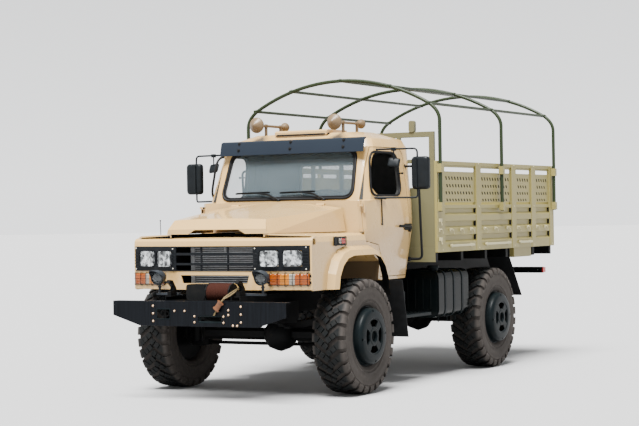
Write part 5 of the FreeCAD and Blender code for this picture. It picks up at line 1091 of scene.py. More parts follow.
@dataclass
class Wheel:
    """A pressed wheel whose drum stands proud of the tyre, with four windows round its hub."""

    face: float = 0.2255
    drum_radius: float = 0.2735
    rim_radius: float = 0.2975
    window_inner: float = 0.094
    window_outer: float = 0.163
    windows: int = 4
    window_spread: float = 0.54
    bolts: int = 4
    bolt_ring: float = 0.243
    nuts: int = 10
    nut_ring: float = 0.128
    sides: int = 96

    def disc(self) -> bpy.types.Mesh:
        """The drum and its face as one shell, with the windows and bolt holes cut."""
        f, d, r = self.face, self.drum_radius, self.rim_radius
        profile = [(r - 0.008, 0.110), (r, 0.114), (r, 0.128), (r - 0.006, 0.133), (r - 0.014, 0.130),
                   (d + 0.004, 0.136), (d, 0.142), (d, 0.186), (d - 0.004, 0.200), (d - 0.012, 0.2125),
                   (d - 0.024, 0.2205), (d - 0.040, f), (0.178, f), (0.172, f - 0.004), (0.086, f - 0.004),
                   (0.0815, f - 0.001), (0.060, f - 0.001), (0.052, f - 0.006), (0.049, f - 0.028),
                   (0.030, f - 0.030), (0.028, f - 0.036), (0.0001, f - 0.037), (0.0001, f - 0.060),
                   (0.090, f - 0.060), (0.092, f - 0.018), (d - 0.034, f - 0.018), (d - 0.018, 0.196),
                   (d - 0.014, 0.180), (d - 0.014, 0.112)]
        piece = Form().lathe(profile, ORIGIN, Axis.X, self.sides, wrap=True).object("wheel.form")
        tool = Form()
        for middle in turns(self.windows):
            tool.slab(self.window(middle), Axis.X, f - 0.03, f + 0.02)
        for a in turns(self.bolts):
            tool.lathe([(0.0125, f - 0.012), (0.0125, f + 0.02)],
                       (0, self.bolt_ring * math.cos(a + 0.08), self.bolt_ring * math.sin(a + 0.08)), Axis.X, 12)
        cut(piece, tool)
        return without_object(piece)

    def window(self, middle: float) -> list[Flat]:
        """One kidney-shaped window about an angle.

        Args:
            middle: the angle of its middle.

        Returns:
            Its outline in (y, z).
        """
        spread = self.window_spread
        edge = [(self.window_outer, middle - spread + 2 * spread * k / 6) for k in range(7)]
        edge += [(self.window_inner, middle + spread * 0.8 - 1.6 * spread * k / 4) for k in range(5)]
        return soft_corners([(r * math.cos(a), r * math.sin(a)) for r, a in edge], 0.014, 3)

    def inner(self) -> bpy.types.Mesh:
        """What shows through the windows: the well, the brake drum and the stud nuts."""
        form = Form()
        form.lathe([(0.272, -0.10), (0.272, 0.09), (0.262, 0.10), (0.0001, 0.10), (0.0001, -0.10)], ORIGIN, Axis.X)
        for a in turns(self.nuts):
            form.lathe([(0.0165, 0.10), (0.0165, 0.128), (0.012, 0.132), (0.012, 0.146)],
                       (0, self.nut_ring * math.cos(a), self.nut_ring * math.sin(a)), Axis.X, 6)
        return form.only_mesh("hub.form")


@dataclass
class RunningGear:
    """The four wheels and tyres, the axles, springs and steering."""

    track_half: float = 1.004
    axle_height: float = 0.56
    front_axle: float = -1.854
    rear_axle: float = 1.246

    def build(self) -> None:
        """Makes the wheels and dresses the axles."""
        tyre, disc, inner = Tyre().build(), Wheel().disc(), Wheel().inner()
        for end, y in (("front", self.front_axle), ("rear", self.rear_axle)):
            for name, side in (("left", LEFT), ("right", RIGHT)):
                corner = f"{end}_{name}"
                spot = Vector((side * self.track_half, y, self.axle_height))
                for kind, part, mesh, coat, how, nodes in (
                        ("tyre", "rubber", tyre, Coat.TYRE, Dress(0.0022, 1, 40), [f"tyre_{corner}"]),
                        ("wheel", "disc", disc, Coat.SATIN, Dress(0.0022, 2, 28), [f"wheel_{corner}"]),
                        ("wheel", "hub", inner, Coat.CHASSIS, Dress(0.001, 1, 40), [])):
                    piece = linked(f"{kind}_{corner}.{part}", mesh.copy())
                    piece.location = spot
                    if side == RIGHT:
                        piece.rotation_euler = (0, 0, math.pi)
                    dress(piece, coat, corner + "_wheel", how, nodes)
        for node in ("front_axle", "rear_axle", "driveline", "leaf_springs"):
            node_piece(node, Coat.CAST, ROUGH)
        node_piece("knuckle_left", Coat.CAST, ROUGH, "left_steering")
        node_piece("knuckle_right", Coat.CAST, ROUGH, "right_steering")
        node_piece("tie_rod", Coat.CAST, Dress(0.001, 1, 50), "steering_link")


@dataclass
class Chassis:
    """The frame and all that hangs on it under the cab and bed."""

    tank_low: Flat = (0.540, 0.630)
    tank_high: Flat = (1.100, 1.130)
    tank_front: float = -0.124
    tank_length: float = 0.760
    tank_corner: float = 0.10
    strap_shares: tuple[float, ...] = (0.22, 0.5, 0.78)
    strap_half: float = 0.019

    def build(self) -> None:
        """Makes or dresses each piece."""
        node_piece("frame", Coat.CHASSIS, SHEET)
        node_piece("engine", Coat.IRON, Dress(0.008, 2, 35))
        node_piece("exhaust", Coat.PIPE, Dress(0.002, 1, 55))
        node_piece("mudguards", Coat.FLAP, SHEET)
        node_piece("tool_box", Coat.KHAKI, THICK)
        self.tank()
        self.steps()
        self.lamp_bar()

    def tank(self) -> None:
        """The gloss black tank with its ribbed end, straps and cap."""
        (x0, z0), (x1, z1) = self.tank_low, self.tank_high
        y0, y1 = self.tank_front, self.tank_front + self.tank_length
        ends = ((0.030, y0 + 0.004), (0.012, y0 + 0.006), (0.0, y0), (0.0, y1), (0.012, y1 - 0.006),
                (0.030, y1 - 0.004))
        shell = Form().tray(self.tank_low, self.tank_high, self.tank_corner, 8, ends, Axis.Y.at, tighter=1.0)
        shell.done("fuel_tank.shell", Coat.BLACK, Dress(0.003, 2, 30), ["fuel_tank"])
        ribs = Form()
        for k in range(5):
            x = x0 + 0.10 + 0.09 * k
            ribs.block((x - 0.008, y0 - 0.004, z0 + 0.09), (x + 0.008, y0 + 0.008, z1 - 0.09))
        ribs.done("fuel_tank.end_ribs", Coat.BLACK, Dress(0.004, 3))
        self.straps()
        cap = [(0.052, z1 - 0.01), (0.052, z1 + 0.018), (0.062, z1 + 0.020), (0.062, z1 + 0.042), (0.056, z1 + 0.049),
               (0.012, z1 + 0.049)]
        Form().lathe(cap, (x1 - 0.12, y0 + 0.12, 0), Axis.Z, 28).done("fuel_tank.cap", Coat.SATIN, EASED)

    def straps(self) -> None:
        """The tank's straps with their bolts, and the brackets that reach the frame."""
        low, high, corner = self.tank_low, self.tank_high, self.tank_corner
        (x0, z0), (x1, z1) = low, high
        places = [self.tank_front + self.tank_length * share for share in self.strap_shares]
        outer = soft_rectangle((x0 - 0.006, z0 - 0.006), (x1 + 0.007, z1 + 0.006), corner + 0.006, 8)
        inner = grown(low, high, -0.002, corner - 0.002, 8)
        form = Form()
        for y in places:
            form.hoop(outer, inner, y - self.strap_half, y + self.strap_half)
            form.lathe([(0.007, z0 - 0.055), (0.007, z0 + 0.01)], (x1 - 0.09, y, 0), Axis.Z, 10)
        for y in (places[0], places[-1]):
            form.block((0.4205, y - 0.02, 0.80), (x0 + 0.01, y + 0.02, 0.97))
        form.done("fuel_tank.straps", Coat.SATIN, Dress(0.002, 1, 40))

    def steps(self) -> None:
        """The cab steps with raised ribs on their treads."""
        node_piece("cab_steps", Coat.SATIN, THICK)
        form = Form()
        for k in range(9):
            x = 0.66 + k * 0.045
            form.block((x - 0.006, -0.915, 0.699), (x + 0.006, -0.285, 0.7035))
        form.paired("step_ribs", Coat.BLACK, Dress(0.0015, 1))

    def lamp_bar(self) -> None:
        """The rear lamp bar with its clusters and side markers."""
        node_piece("rear_lamp_bar", Coat.BLACK, THICK)
        low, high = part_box("rear_lamp_bar")
        middle = (low.z + high.z) / 2
        red, amber, clear, bolts = (Form() for _ in range(4))
        for form, x0, x1 in ((red, 0.70, 0.84), (amber, 0.845, 0.93), (clear, 0.935, 0.99)):
            form.slab(soft_rectangle((x0, middle - 0.030), (x1, middle + 0.030), 0.012), Axis.Y,
                      high.y - 0.002, high.y + 0.012).mirror()
        red.slab(soft_rectangle((low.y + 0.006, middle - 0.031), (high.y - 0.006, middle + 0.031), 0.012),
                 Axis.X, high.x - 0.001, high.x + 0.016)
        for y in (low.y + 0.02, high.y - 0.02):
            for x in (0.5, 0.62, 1.0):
                bolts.lathe([(0.006, -0.006), (0.006, 0.0)], (x, low.y, middle), Axis.Y, 10)
        red.done("tail_lamps.red", Coat.RED, EASED)
        amber.done("tail_lamps.amber", Coat.AMBER, EASED)
        clear.done("tail_lamps.clear", Coat.CLEAR, EASED)
        bolts.done("lamp_bar_bolts", Coat.ZINC, CRISP)


@dataclass
class FrontBumper:
    """The brushed black bumper with its rivets, rollers and towing pocket."""

    face: float = -3.076
    rivet_radius: float = 0.0105
    rivets: tuple[Flat, ...] = (
        (-0.497, 0.898), (-0.497, 0.827), (-0.497, 0.754), (-0.253, 0.853), (-0.139, 0.853), (-0.029, 0.806),
        (-0.029, 0.750), (0.292, 0.806), (0.292, 0.750), (0.3465, 0.866), (0.3465, 0.823), (0.482, 0.900),
        (0.482, 0.829), (0.482, 0.756), (0.395, 0.724), (0.440, 0.724),
    )
    slot_low: Flat = (0.010, 0.744)
    slot_high: Flat = (0.268, 0.816)
    pocket_low: Flat = (-0.459, 0.775)
    pocket_high: Flat = (-0.301, 0.873)

    def build(self) -> None:
        """Dresses the bumper and adds its fittings."""
        node_piece("front_bumper", Coat.PLATE, Dress(0.0035, 3, 30))
        self.rivet_heads()
        self.rollers()
        self.pocket()

    def rivet_heads(self) -> None:
        """The copper rivets on the bumper's face."""
        form = Form()
        r = self.rivet_radius
        head = [(r, 0.001), (r, -0.002), (r * 0.86, -0.006), (r * 0.5, -0.0085), (r * 0.12, -0.0092)]
        for x, z in self.rivets:
            form.lathe(head, (x, self.face, z), Axis.Y, 16)
        form.done("bumper_rivets", Coat.COPPER)

    def rollers(self) -> None:
        """The four rollers round the rope's slot."""
        (x0, z0), (x1, z1) = self.slot_low, self.slot_high
        form = Form()
        for z in (z0 + 0.006, z1 - 0.006):
            form.lathe([(0.011, x0), (0.011, x1)], (0, self.face + 0.012, z), Axis.X, 16)
        for x in (x0 + 0.005, x1 - 0.005):
            form.lathe([(0.010, z0), (0.010, z1)], (x, self.face + 0.026, 0), Axis.Z, 16)
        form.done("bumper_rollers", Coat.SATIN, Dress(0.001, 1, 60))

    def pocket(self) -> None:
        """The towing pocket's rim with the ring behind it."""
        low, high = self.pocket_low, self.pocket_high
        rim = Form().hoop(grown(low, high, 0.004, 0.014, 3), grown(low, high, -0.006, 0.012, 3),
                          self.face - 0.003, self.face + 0.004)
        rim.done("bumper_pocket_frame", Coat.SATIN, Dress(0.0015, 2))
        middle = Vector(((low[0] + high[0]) / 2, self.face + 0.040, (low[1] + high[1]) / 2))
        ring = Form().tube([middle + Vector((0.042 * math.cos(a), 0.0, 0.026 * math.sin(a))) for a in turns(24)],
                           0.010, 10, closed=True)
        ring.block(middle - Vector((0.012, 0.01, 0.045)), middle + Vector((0.012, 0.012, 0.045)))
        ring.done("bumper_tow_ring", Coat.CAST, Dress(0.002, 1, 60))


@dataclass
class Winch:
    """The winch, its wound rope, and the rope's end over the bumper."""

    axis_place: Point = (0.139, -2.864, 1.018)
    drum_half: float = 0.127
    drum_radius: float = 0.080
    wound: float = 0.087
    turn: float = 0.0182
    route: tuple[Point, ...] = (
        (0.3620, -2.912, 1.066), (0.3360, -3.022, 1.004), (0.2740, -3.0953, 0.958), (0.2000, -3.0945, 0.817),
    )
    rope_radius: float = 0.009
    spool_at: Point = (0.2510, -3.0985, 0.906)
    spool_along: Point = (0.62, 0.0, 0.78)
    spool_flat: float = 0.55
    lay: float = 0.011

    def build(self) -> None:
        """Dresses the winch and makes its rope."""
        node_piece("winch", Coat.CAST, SHEET)
        self.coil()
        self.rope_end()

    def coil(self) -> None:
        """The rope that is wound on the drum, in rounds side by side."""
        profile = [(self.drum_radius - 0.004, -self.drum_half)]
        count = int(2 * self.drum_half / self.turn)
        for k in range(count):
            start = -self.drum_half + self.turn * k + (2 * self.drum_half - count * self.turn) / 2
            for j in range(5):
                a = math.pi * j / 4
                profile.append((self.wound - 0.004 + 0.008 * math.sin(a), start + self.turn * (j + 0.02) / 4.1))
        profile.append((self.drum_radius - 0.004, self.drum_half))
        Form().lathe(profile, self.axis_place, Axis.X).done("winch_coil", Coat.ROPE, Dress(smooth=70))

    def traced(self) -> list[Vector]:
        """The rope's middle line, from the left tow hook over the bumper."""
        curve = bpy.data.curves.new("rope_end", "CURVE")
        curve.dimensions = "3D"
        spline = curve.splines.new("NURBS")
        spline.points.add(len(self.route) - 1)
        for point, place in zip(spline.points, self.route):
            point.co = (*place, 1.0)
        spline.order_u = 3
        spline.use_endpoint_u = True
        spline.resolution_u = 12
        line = linked("rope_line", curve)
        found = [v.co.copy() for v in bpy.data.meshes.new_from_object(line).vertices]
        bpy.data.objects.remove(line)
        return found

    def strands(self, path: Sequence[Vector]) -> Form:
        """Three strands laid round the middle line.

        Args:
            path: the rope's middle line.

        Returns:
            The strands' form.
        """
        form = Form()
        last = len(path) - 1
        for start in turns(3):
            rope = []
            run = 0.0
            for i, here in enumerate(path):
                ahead = (path[min(i + 1, last)] - path[max(i - 1, 0)]).normalized()
                side = ahead.cross(Vector((1, 0, 0))).normalized()
                other = ahead.cross(side)
                run += (here - path[i - 1]).length if i else 0.0
                a = run / self.lay + start
                rope.append(here + (side * math.cos(a) + other * math.sin(a)) * self.rope_radius * 0.48)
            form.tube(rope, self.rope_radius * 0.52, 8)
        return form

    def eye(self, path: Sequence[Vector]) -> Form:
        """The loose bights that swell out beside the rope's upper part.

        Args:
            path: the rope's middle line.

        Returns:
            The bights' form.
        """
        form = Form()
        upper = path[:int(len(path) * 0.62)]
        for offset, lift in ((-0.017, 0.004), (0.015, 0.000), (0.002, 0.014)):
            strand = []
            for i, here in enumerate(upper):
                swell = math.sin(math.pi * min(1.0, i / (len(path) * 0.60))) ** 0.7
                strand.append(here + Vector((offset * swell, 0.0, lift * swell)))
            form.tube(strand, self.rope_radius * 0.62, 8)
        return form

    def ferrule(self) -> Form:
        """The flattened bronze spool in front of the bumper."""
        form = Form().lathe([(0.020, -0.048), (0.036, -0.046), (0.038, -0.038), (0.030, -0.030), (0.027, -0.012),
                             (0.027, 0.012), (0.030, 0.030), (0.038, 0.038), (0.036, 0.046), (0.020, 0.048)],
                            ORIGIN, Axis.Z, 28)
        turn = Vector((0, 0, 1)).rotation_difference(Vector(self.spool_along).normalized()).to_matrix()
        for vert in form.mesh.verts:
            vert.co.y *= self.spool_flat
            vert.co = turn @ vert.co + Vector(self.spool_at)
        return form

    def rope_end(self) -> None:
        """The rope's end over the bumper, with its loose bights and ferrule."""
        path = self.traced()
        length = sum((b - a).length for a, b in zip(path, path[1:]))
        rope = self.strands(path).done("rope_end.strands", Coat.STRAND, SEALED, ["winch_rope"])
        ferrule = self.ferrule().done("rope_end.ferrule", Coat.BRONZE, TURNED)
        eye = self.eye(path).done("rope_end.eye", Coat.STRAND, SEALED)
        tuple(self.route[0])
        [tuple(p) for p in path]


@dataclass
class SpotLamps:
    """Two hooded driving lamps on brackets."""

    x: float = 0.580
    y: float = -2.839
    z: float = 1.158
    radius: float = 0.072
    depth: float = 0.100
    hood_reach: float = 0.098
    hood_runs: int = 18

    def build(self) -> None:
        """Makes the shells, lenses, hoods and brackets."""
        r, d = self.radius, self.depth
        front = -d / 2
        spot = (self.x, self.y, self.z)
        shell = Form()
        shell.lathe([(r * 0.80, front + 0.012), (r * 0.84, front), (r * 0.94, front), (r * 0.985, front + 0.006),
                     (r * 0.985, front + 0.018), (r * 0.95, front + 0.022), (r * 0.95, front + 0.030),
                     (r * 0.90, 0.012), (r * 0.72, d * 0.36), (r * 0.40, d * 0.48), (r * 0.02, d * 0.5)],
                    spot, Axis.Y, 40)
        shell.loft(self.hood(spot, front))
        shell.lathe([(0.012, 1.005), (0.012, self.z - r * 0.9)], (self.x, self.y, 0), Axis.Z, 14)
        shell.lathe([(0.020, 1.060), (0.020, 1.076)], (self.x, self.y, 0), Axis.Z, 6)
        shell.block((0.352, self.y - 0.024, 0.9905), (self.x + 0.024, self.y + 0.024, 1.012))
        shell.paired("spot_lamps.shells", Coat.LAMP_SHELL, Dress(0.0015, 2, 40), ["spot_lamps"])
        lens = [(r * 0.83, front + 0.010), (r * 0.80, front + 0.002), (r * 0.5, front - 0.006),
                (r * 0.05, front - 0.008)]
        Form().lathe(lens, spot, Axis.Y, 36).paired("spot_lamps.lenses", Coat.DARK_GLASS, ROUND)
        bowl = [(r * 0.82, front + 0.011), (r * 0.5, front + 0.03), (r * 0.06, front + 0.036)]
        Form().lathe(bowl, spot, Axis.Y, 32).paired("spot_lamps.bowls", Coat.LAMP_SHELL, ROUND)

    def hood(self, spot: Point, front: float) -> list[list[Vector]]:
        """The rings of a lamp's hood, which reaches furthest over its top.

        Args:
            spot: the lamp's middle.
            front: its front edge, from its middle.

        Returns:
            The rings.
        """
        r = self.radius
        rings = []
        for k in range(self.hood_runs + 1):
            a = math.radians(-4 + 188 * k / self.hood_runs)
            y0, y1 = front + 0.016, front + 0.004 - self.hood_reach * math.sin(max(0.0, min(math.pi, a))) ** 1.2
            rings.append([Vector(spot) + Vector((radius * math.cos(a), y, radius * math.sin(a)))
                          for radius, y in ((r, y0), (r, y1), (r * 0.94, y1), (r * 0.94, y0))])
        return rings


@dataclass
class FrontPanel:
    """The painted front, its grille, the head lamps, and the amber lamps with their guards."""

    lamp_width: float = 0.186
    lamp_height: float = 0.150
    lamp_low: float = 1.259
    lamp_starts: tuple[float, ...] = (0.497, 0.727)
    amber_near: float = 0.597
    amber_far: float = 0.982
    amber_low: float = 1.087
    amber_high: float = 1.189
    side_low: Flat = (-2.232, 1.440)
    side_high: Flat = (-2.008, 1.524)
    side_foot: float = 1.010
    bezel_out: float = 0.0245
    fin_count: int = 21

    def build(self) -> None:
        """Makes or dresses each piece of the front."""
        front = node_piece("front_panel", Coat.SAND, Dress(0.007, 3, 25))
        second_coat(front, Coat.CORE, lambda middle, normal: normal.y > 0.3 or (normal.z < -0.5 and middle.y > -2.74))
        node_piece("grille", Coat.PLASTIC, Dress(0.004, 2, 30))
        self.bezel_details()
        self.fins()
        self.head_lamps()
        self.amber_lamps()
        self.side_lamps()

    def on_panel(self, u: float, v: float, out: float) -> Vector:
        """A point in front of the panel's face."""
        return Vector((u, panel_y(u) - out, v))

    def bezel_details(self) -> None:
        """Small screws in the surrounds and the fine ribs at their ends."""
        screws, ribs = Form(), Form()
        for x, z in ((0.462, 1.430), (0.462, 1.240), (0.960, 1.436), (0.960, 1.234)):
            screws.lathe([(0.0065, 0.002), (0.0065, -0.003), (0.004, -0.005)], self.on_panel(x, z, 0.024), Axis.Y, 12)
        screws.paired("bezel_screws", Coat.ZINC)
        for count, low, step, x0, x1, radius in ((6, 1.255, 0.031, 0.925, 0.980, 0.004),
                                                 (4, 1.285, 0.032, 0.452, 0.488, 0.003)):
            for k in range(count):
                ribs.tube([self.on_panel(x, low + k * step, self.bezel_out) for x in (x0, x1)], radius, 6)
        ribs.paired("bezel_ribs", Coat.PLASTIC, ROUND)

    def fins(self) -> None:
        """Bright cooling fins in front of the radiator core."""
        node_piece("radiator", Coat.CORE, SHEET)
        low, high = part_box("radiator")
        form = Form()
        for k in range(self.fin_count):
            z = 1.082 + k * (0.388 / (self.fin_count - 1))
            form.block((-0.345, low.y - 0.018, z - 0.0050), (0.345, low.y - 0.001, z + 0.0050))
        form.done("radiator.fins", Coat.FINS, CRISP)
        posts = Form()
        for x in (-0.372, 0.372):
            posts.block((x - 0.022, low.y - 0.020, 1.06), (x + 0.022, low.y - 0.001, 1.48))
        posts.block((-0.010, low.y - 0.022, 1.40), (0.010, low.y - 0.014, 1.52))
        posts.done("radiator.posts", Coat.FINS, EASED)

    def lamp_rings(self, start: float, stations: Sequence[Flat]) -> list[list[Vector]]:
        """A headlamp's outline, shrunk about its middle and brought forward at each station.

        Args:
            start: the outline's inner edge.
            stations: its scale, and how far it stands out, at each ring.

        Returns:
            The rings.
        """
        cx, cz = start + self.lamp_width / 2, self.lamp_low + self.lamp_height / 2
        rings = []
        for scale, out in stations:
            half_w, half_h = self.lamp_width / 2 * scale, self.lamp_height / 2 * scale
            outline = soft_rectangle((cx - half_w, cz - half_h), (cx + half_w, cz + half_h), 0.034 * scale, 6)
            rings.append([self.on_panel(u, v, out) for u, v in outline])
        return rings

    def head_lamps(self) -> None:
        """Four lamps, each a domed lens over a bright bowl with its bulb."""
        lens, bowl, rim = Form(), Form(), Form()
        for start in self.lamp_starts:
            lens.loft(self.lamp_rings(start, ((0.985, 0.002), (0.985, 0.008), (0.94, 0.0125), (0.7, 0.0145),
                                              (0.35, 0.0155), (0.06, 0.0158))))
            bowl.loft(self.lamp_rings(start, ((0.975, 0.006), (0.96, -0.006), (0.85, -0.026), (0.66, -0.042),
                                              (0.42, -0.052), (0.20, -0.056), (0.19, -0.040), (0.16, -0.028),
                                              (0.05, -0.024))))
            rim.loft(self.lamp_rings(start, ((1.045, self.bezel_out), (1.045, 0.0275), (1.0, 0.0275),
                                             (0.985, 0.012))), wrap=True)
        lens.paired("headlamps.lenses", Coat.HEAD_LENS, TURNED, ["headlamps"])
        bowl.paired("headlamps.bowls", Coat.BRIGHT, TURNED)
        rim.paired("headlamps.rims", Coat.PLASTIC, Dress(0.001, 2))

    def amber_lamps(self) -> None:
        """The wide lamps under the head lamps, as coloured sections; the lighter band between amber and clear is a
        painted highlight on the amber lens.
        """
        near, width = self.amber_near, self.amber_far - self.amber_near
        z0, z1 = self.amber_low, self.amber_high
        for name, coat, a, b, nodes in (("inner", Coat.AMBER, 0.0, 0.27, []), ("yellow", Coat.YELLOW, 0.27, 0.50, []),
                                        ("clear", Coat.CLEAR, 0.50, 0.64, []),
                                        ("outer", Coat.AMBER, 0.64, 1.0, ["turn_lamps"])):
            u0, u1 = near + width * a, near + width * b
            form = Form()
            for side in (LEFT, RIGHT):
                form.loft([[self.on_panel(side * u, v, out)
                            for u, v in ((u0, z0 + inset), (u1, z0 + inset), (u1, z1 - inset), (u0, z1 - inset))]
                           for inset, out in ((0.0, 0.002), (0.0, 0.012), (0.006, 0.018), (0.018, 0.020))])
            form.done("turn_lamps." + name, coat, SLIGHT, nodes)
        self.guards(near, self.amber_far, z0, z1)

    def guards(self, x0: float, x1: float, z0: float, z1: float) -> None:
        """The wire guards in front of the wide lamps, with their feet.

        Args:
            x0: the lamp's inner edge.
            x1: its outer edge.
            z0: its foot.
            z1: its top.
        """
        form = Form()
        wires = [((x0 - 0.012, z, 0.000), (x0 - 0.010, z, 0.030), (x1 + 0.006, z, 0.030), (x1 + 0.008, z, 0.002))
                 for z in (z0 - 0.002, (z0 + z1) / 2, z1 + 0.002)]
        for k in range(6):
            x = x0 + 0.01 + (x1 - x0 - 0.02) * k / 5
            wires.append(((x, z0 - 0.012, 0.0), (x, z0 - 0.010, 0.032), (x, z1 + 0.010, 0.032), (x, z1 + 0.012, 0.0)))
        for wire in wires:
            form.tube(bent([self.on_panel(*p) for p in wire], 0.010, 3), 0.0028, 8)
        for x in (x0 - 0.016, x1 + 0.004):
            for z in (z0 + 0.02, z1 - 0.02):
                a = self.on_panel(x, z, 0.0)
                form.block((a.x - 0.010, a.y - 0.006, z - 0.012), (a.x + 0.010, a.y + 0.004, z + 0.012))
        form.paired("turn_lamps.guards", Coat.TRIM, ROUND)

    def side_lamps(self) -> None:
        """The small lamps on the wings' sides in their black guards."""
        (y0, z0), (y1, z1) = self.side_low, self.side_high
        foot, out = self.side_foot, self.side_foot + 0.023
        case = Form().block((0.9995, y0, z0), (1.016, y1, z1))
        clear = Form().slab(soft_rectangle((y0 + 0.080, z0 + 0.018), (y0 + 0.118, z1 - 0.018), 0.008),
                            Axis.X, foot, 1.026)
        red = Form().slab(soft_rectangle((y0 + 0.124, z0 + 0.018), (y1 - 0.034, z1 - 0.020), 0.008),
                          Axis.X, foot, 1.028)
        wires = [((foot, y0 - 0.004, z), (out, y0 + 0.002, z), (out, y1 - 0.002, z), (foot, y1 + 0.004, z))
                 for z in (z0 + 0.012, (z0 + z1) / 2, z1 - 0.012)]
        wires += [((foot, y, z0 - 0.004), (out, y, z0 + 0.002), (out, y, z1 - 0.002), (foot, y, z1 + 0.004))
                  for y in (y0 + 0.02, y1 - 0.02)]
        for wire in wires:
            case.tube(bent(wire, 0.01, 3), 0.0025, 6)
        case.paired("side_lamps.cases", Coat.TRIM, Dress(0.001, 1, 60))
        red.paired("side_lamps.red", Coat.RED, SLIGHT)
        clear.paired("side_lamps.clear", Coat.CLEAR, SLIGHT)


# ---- cab


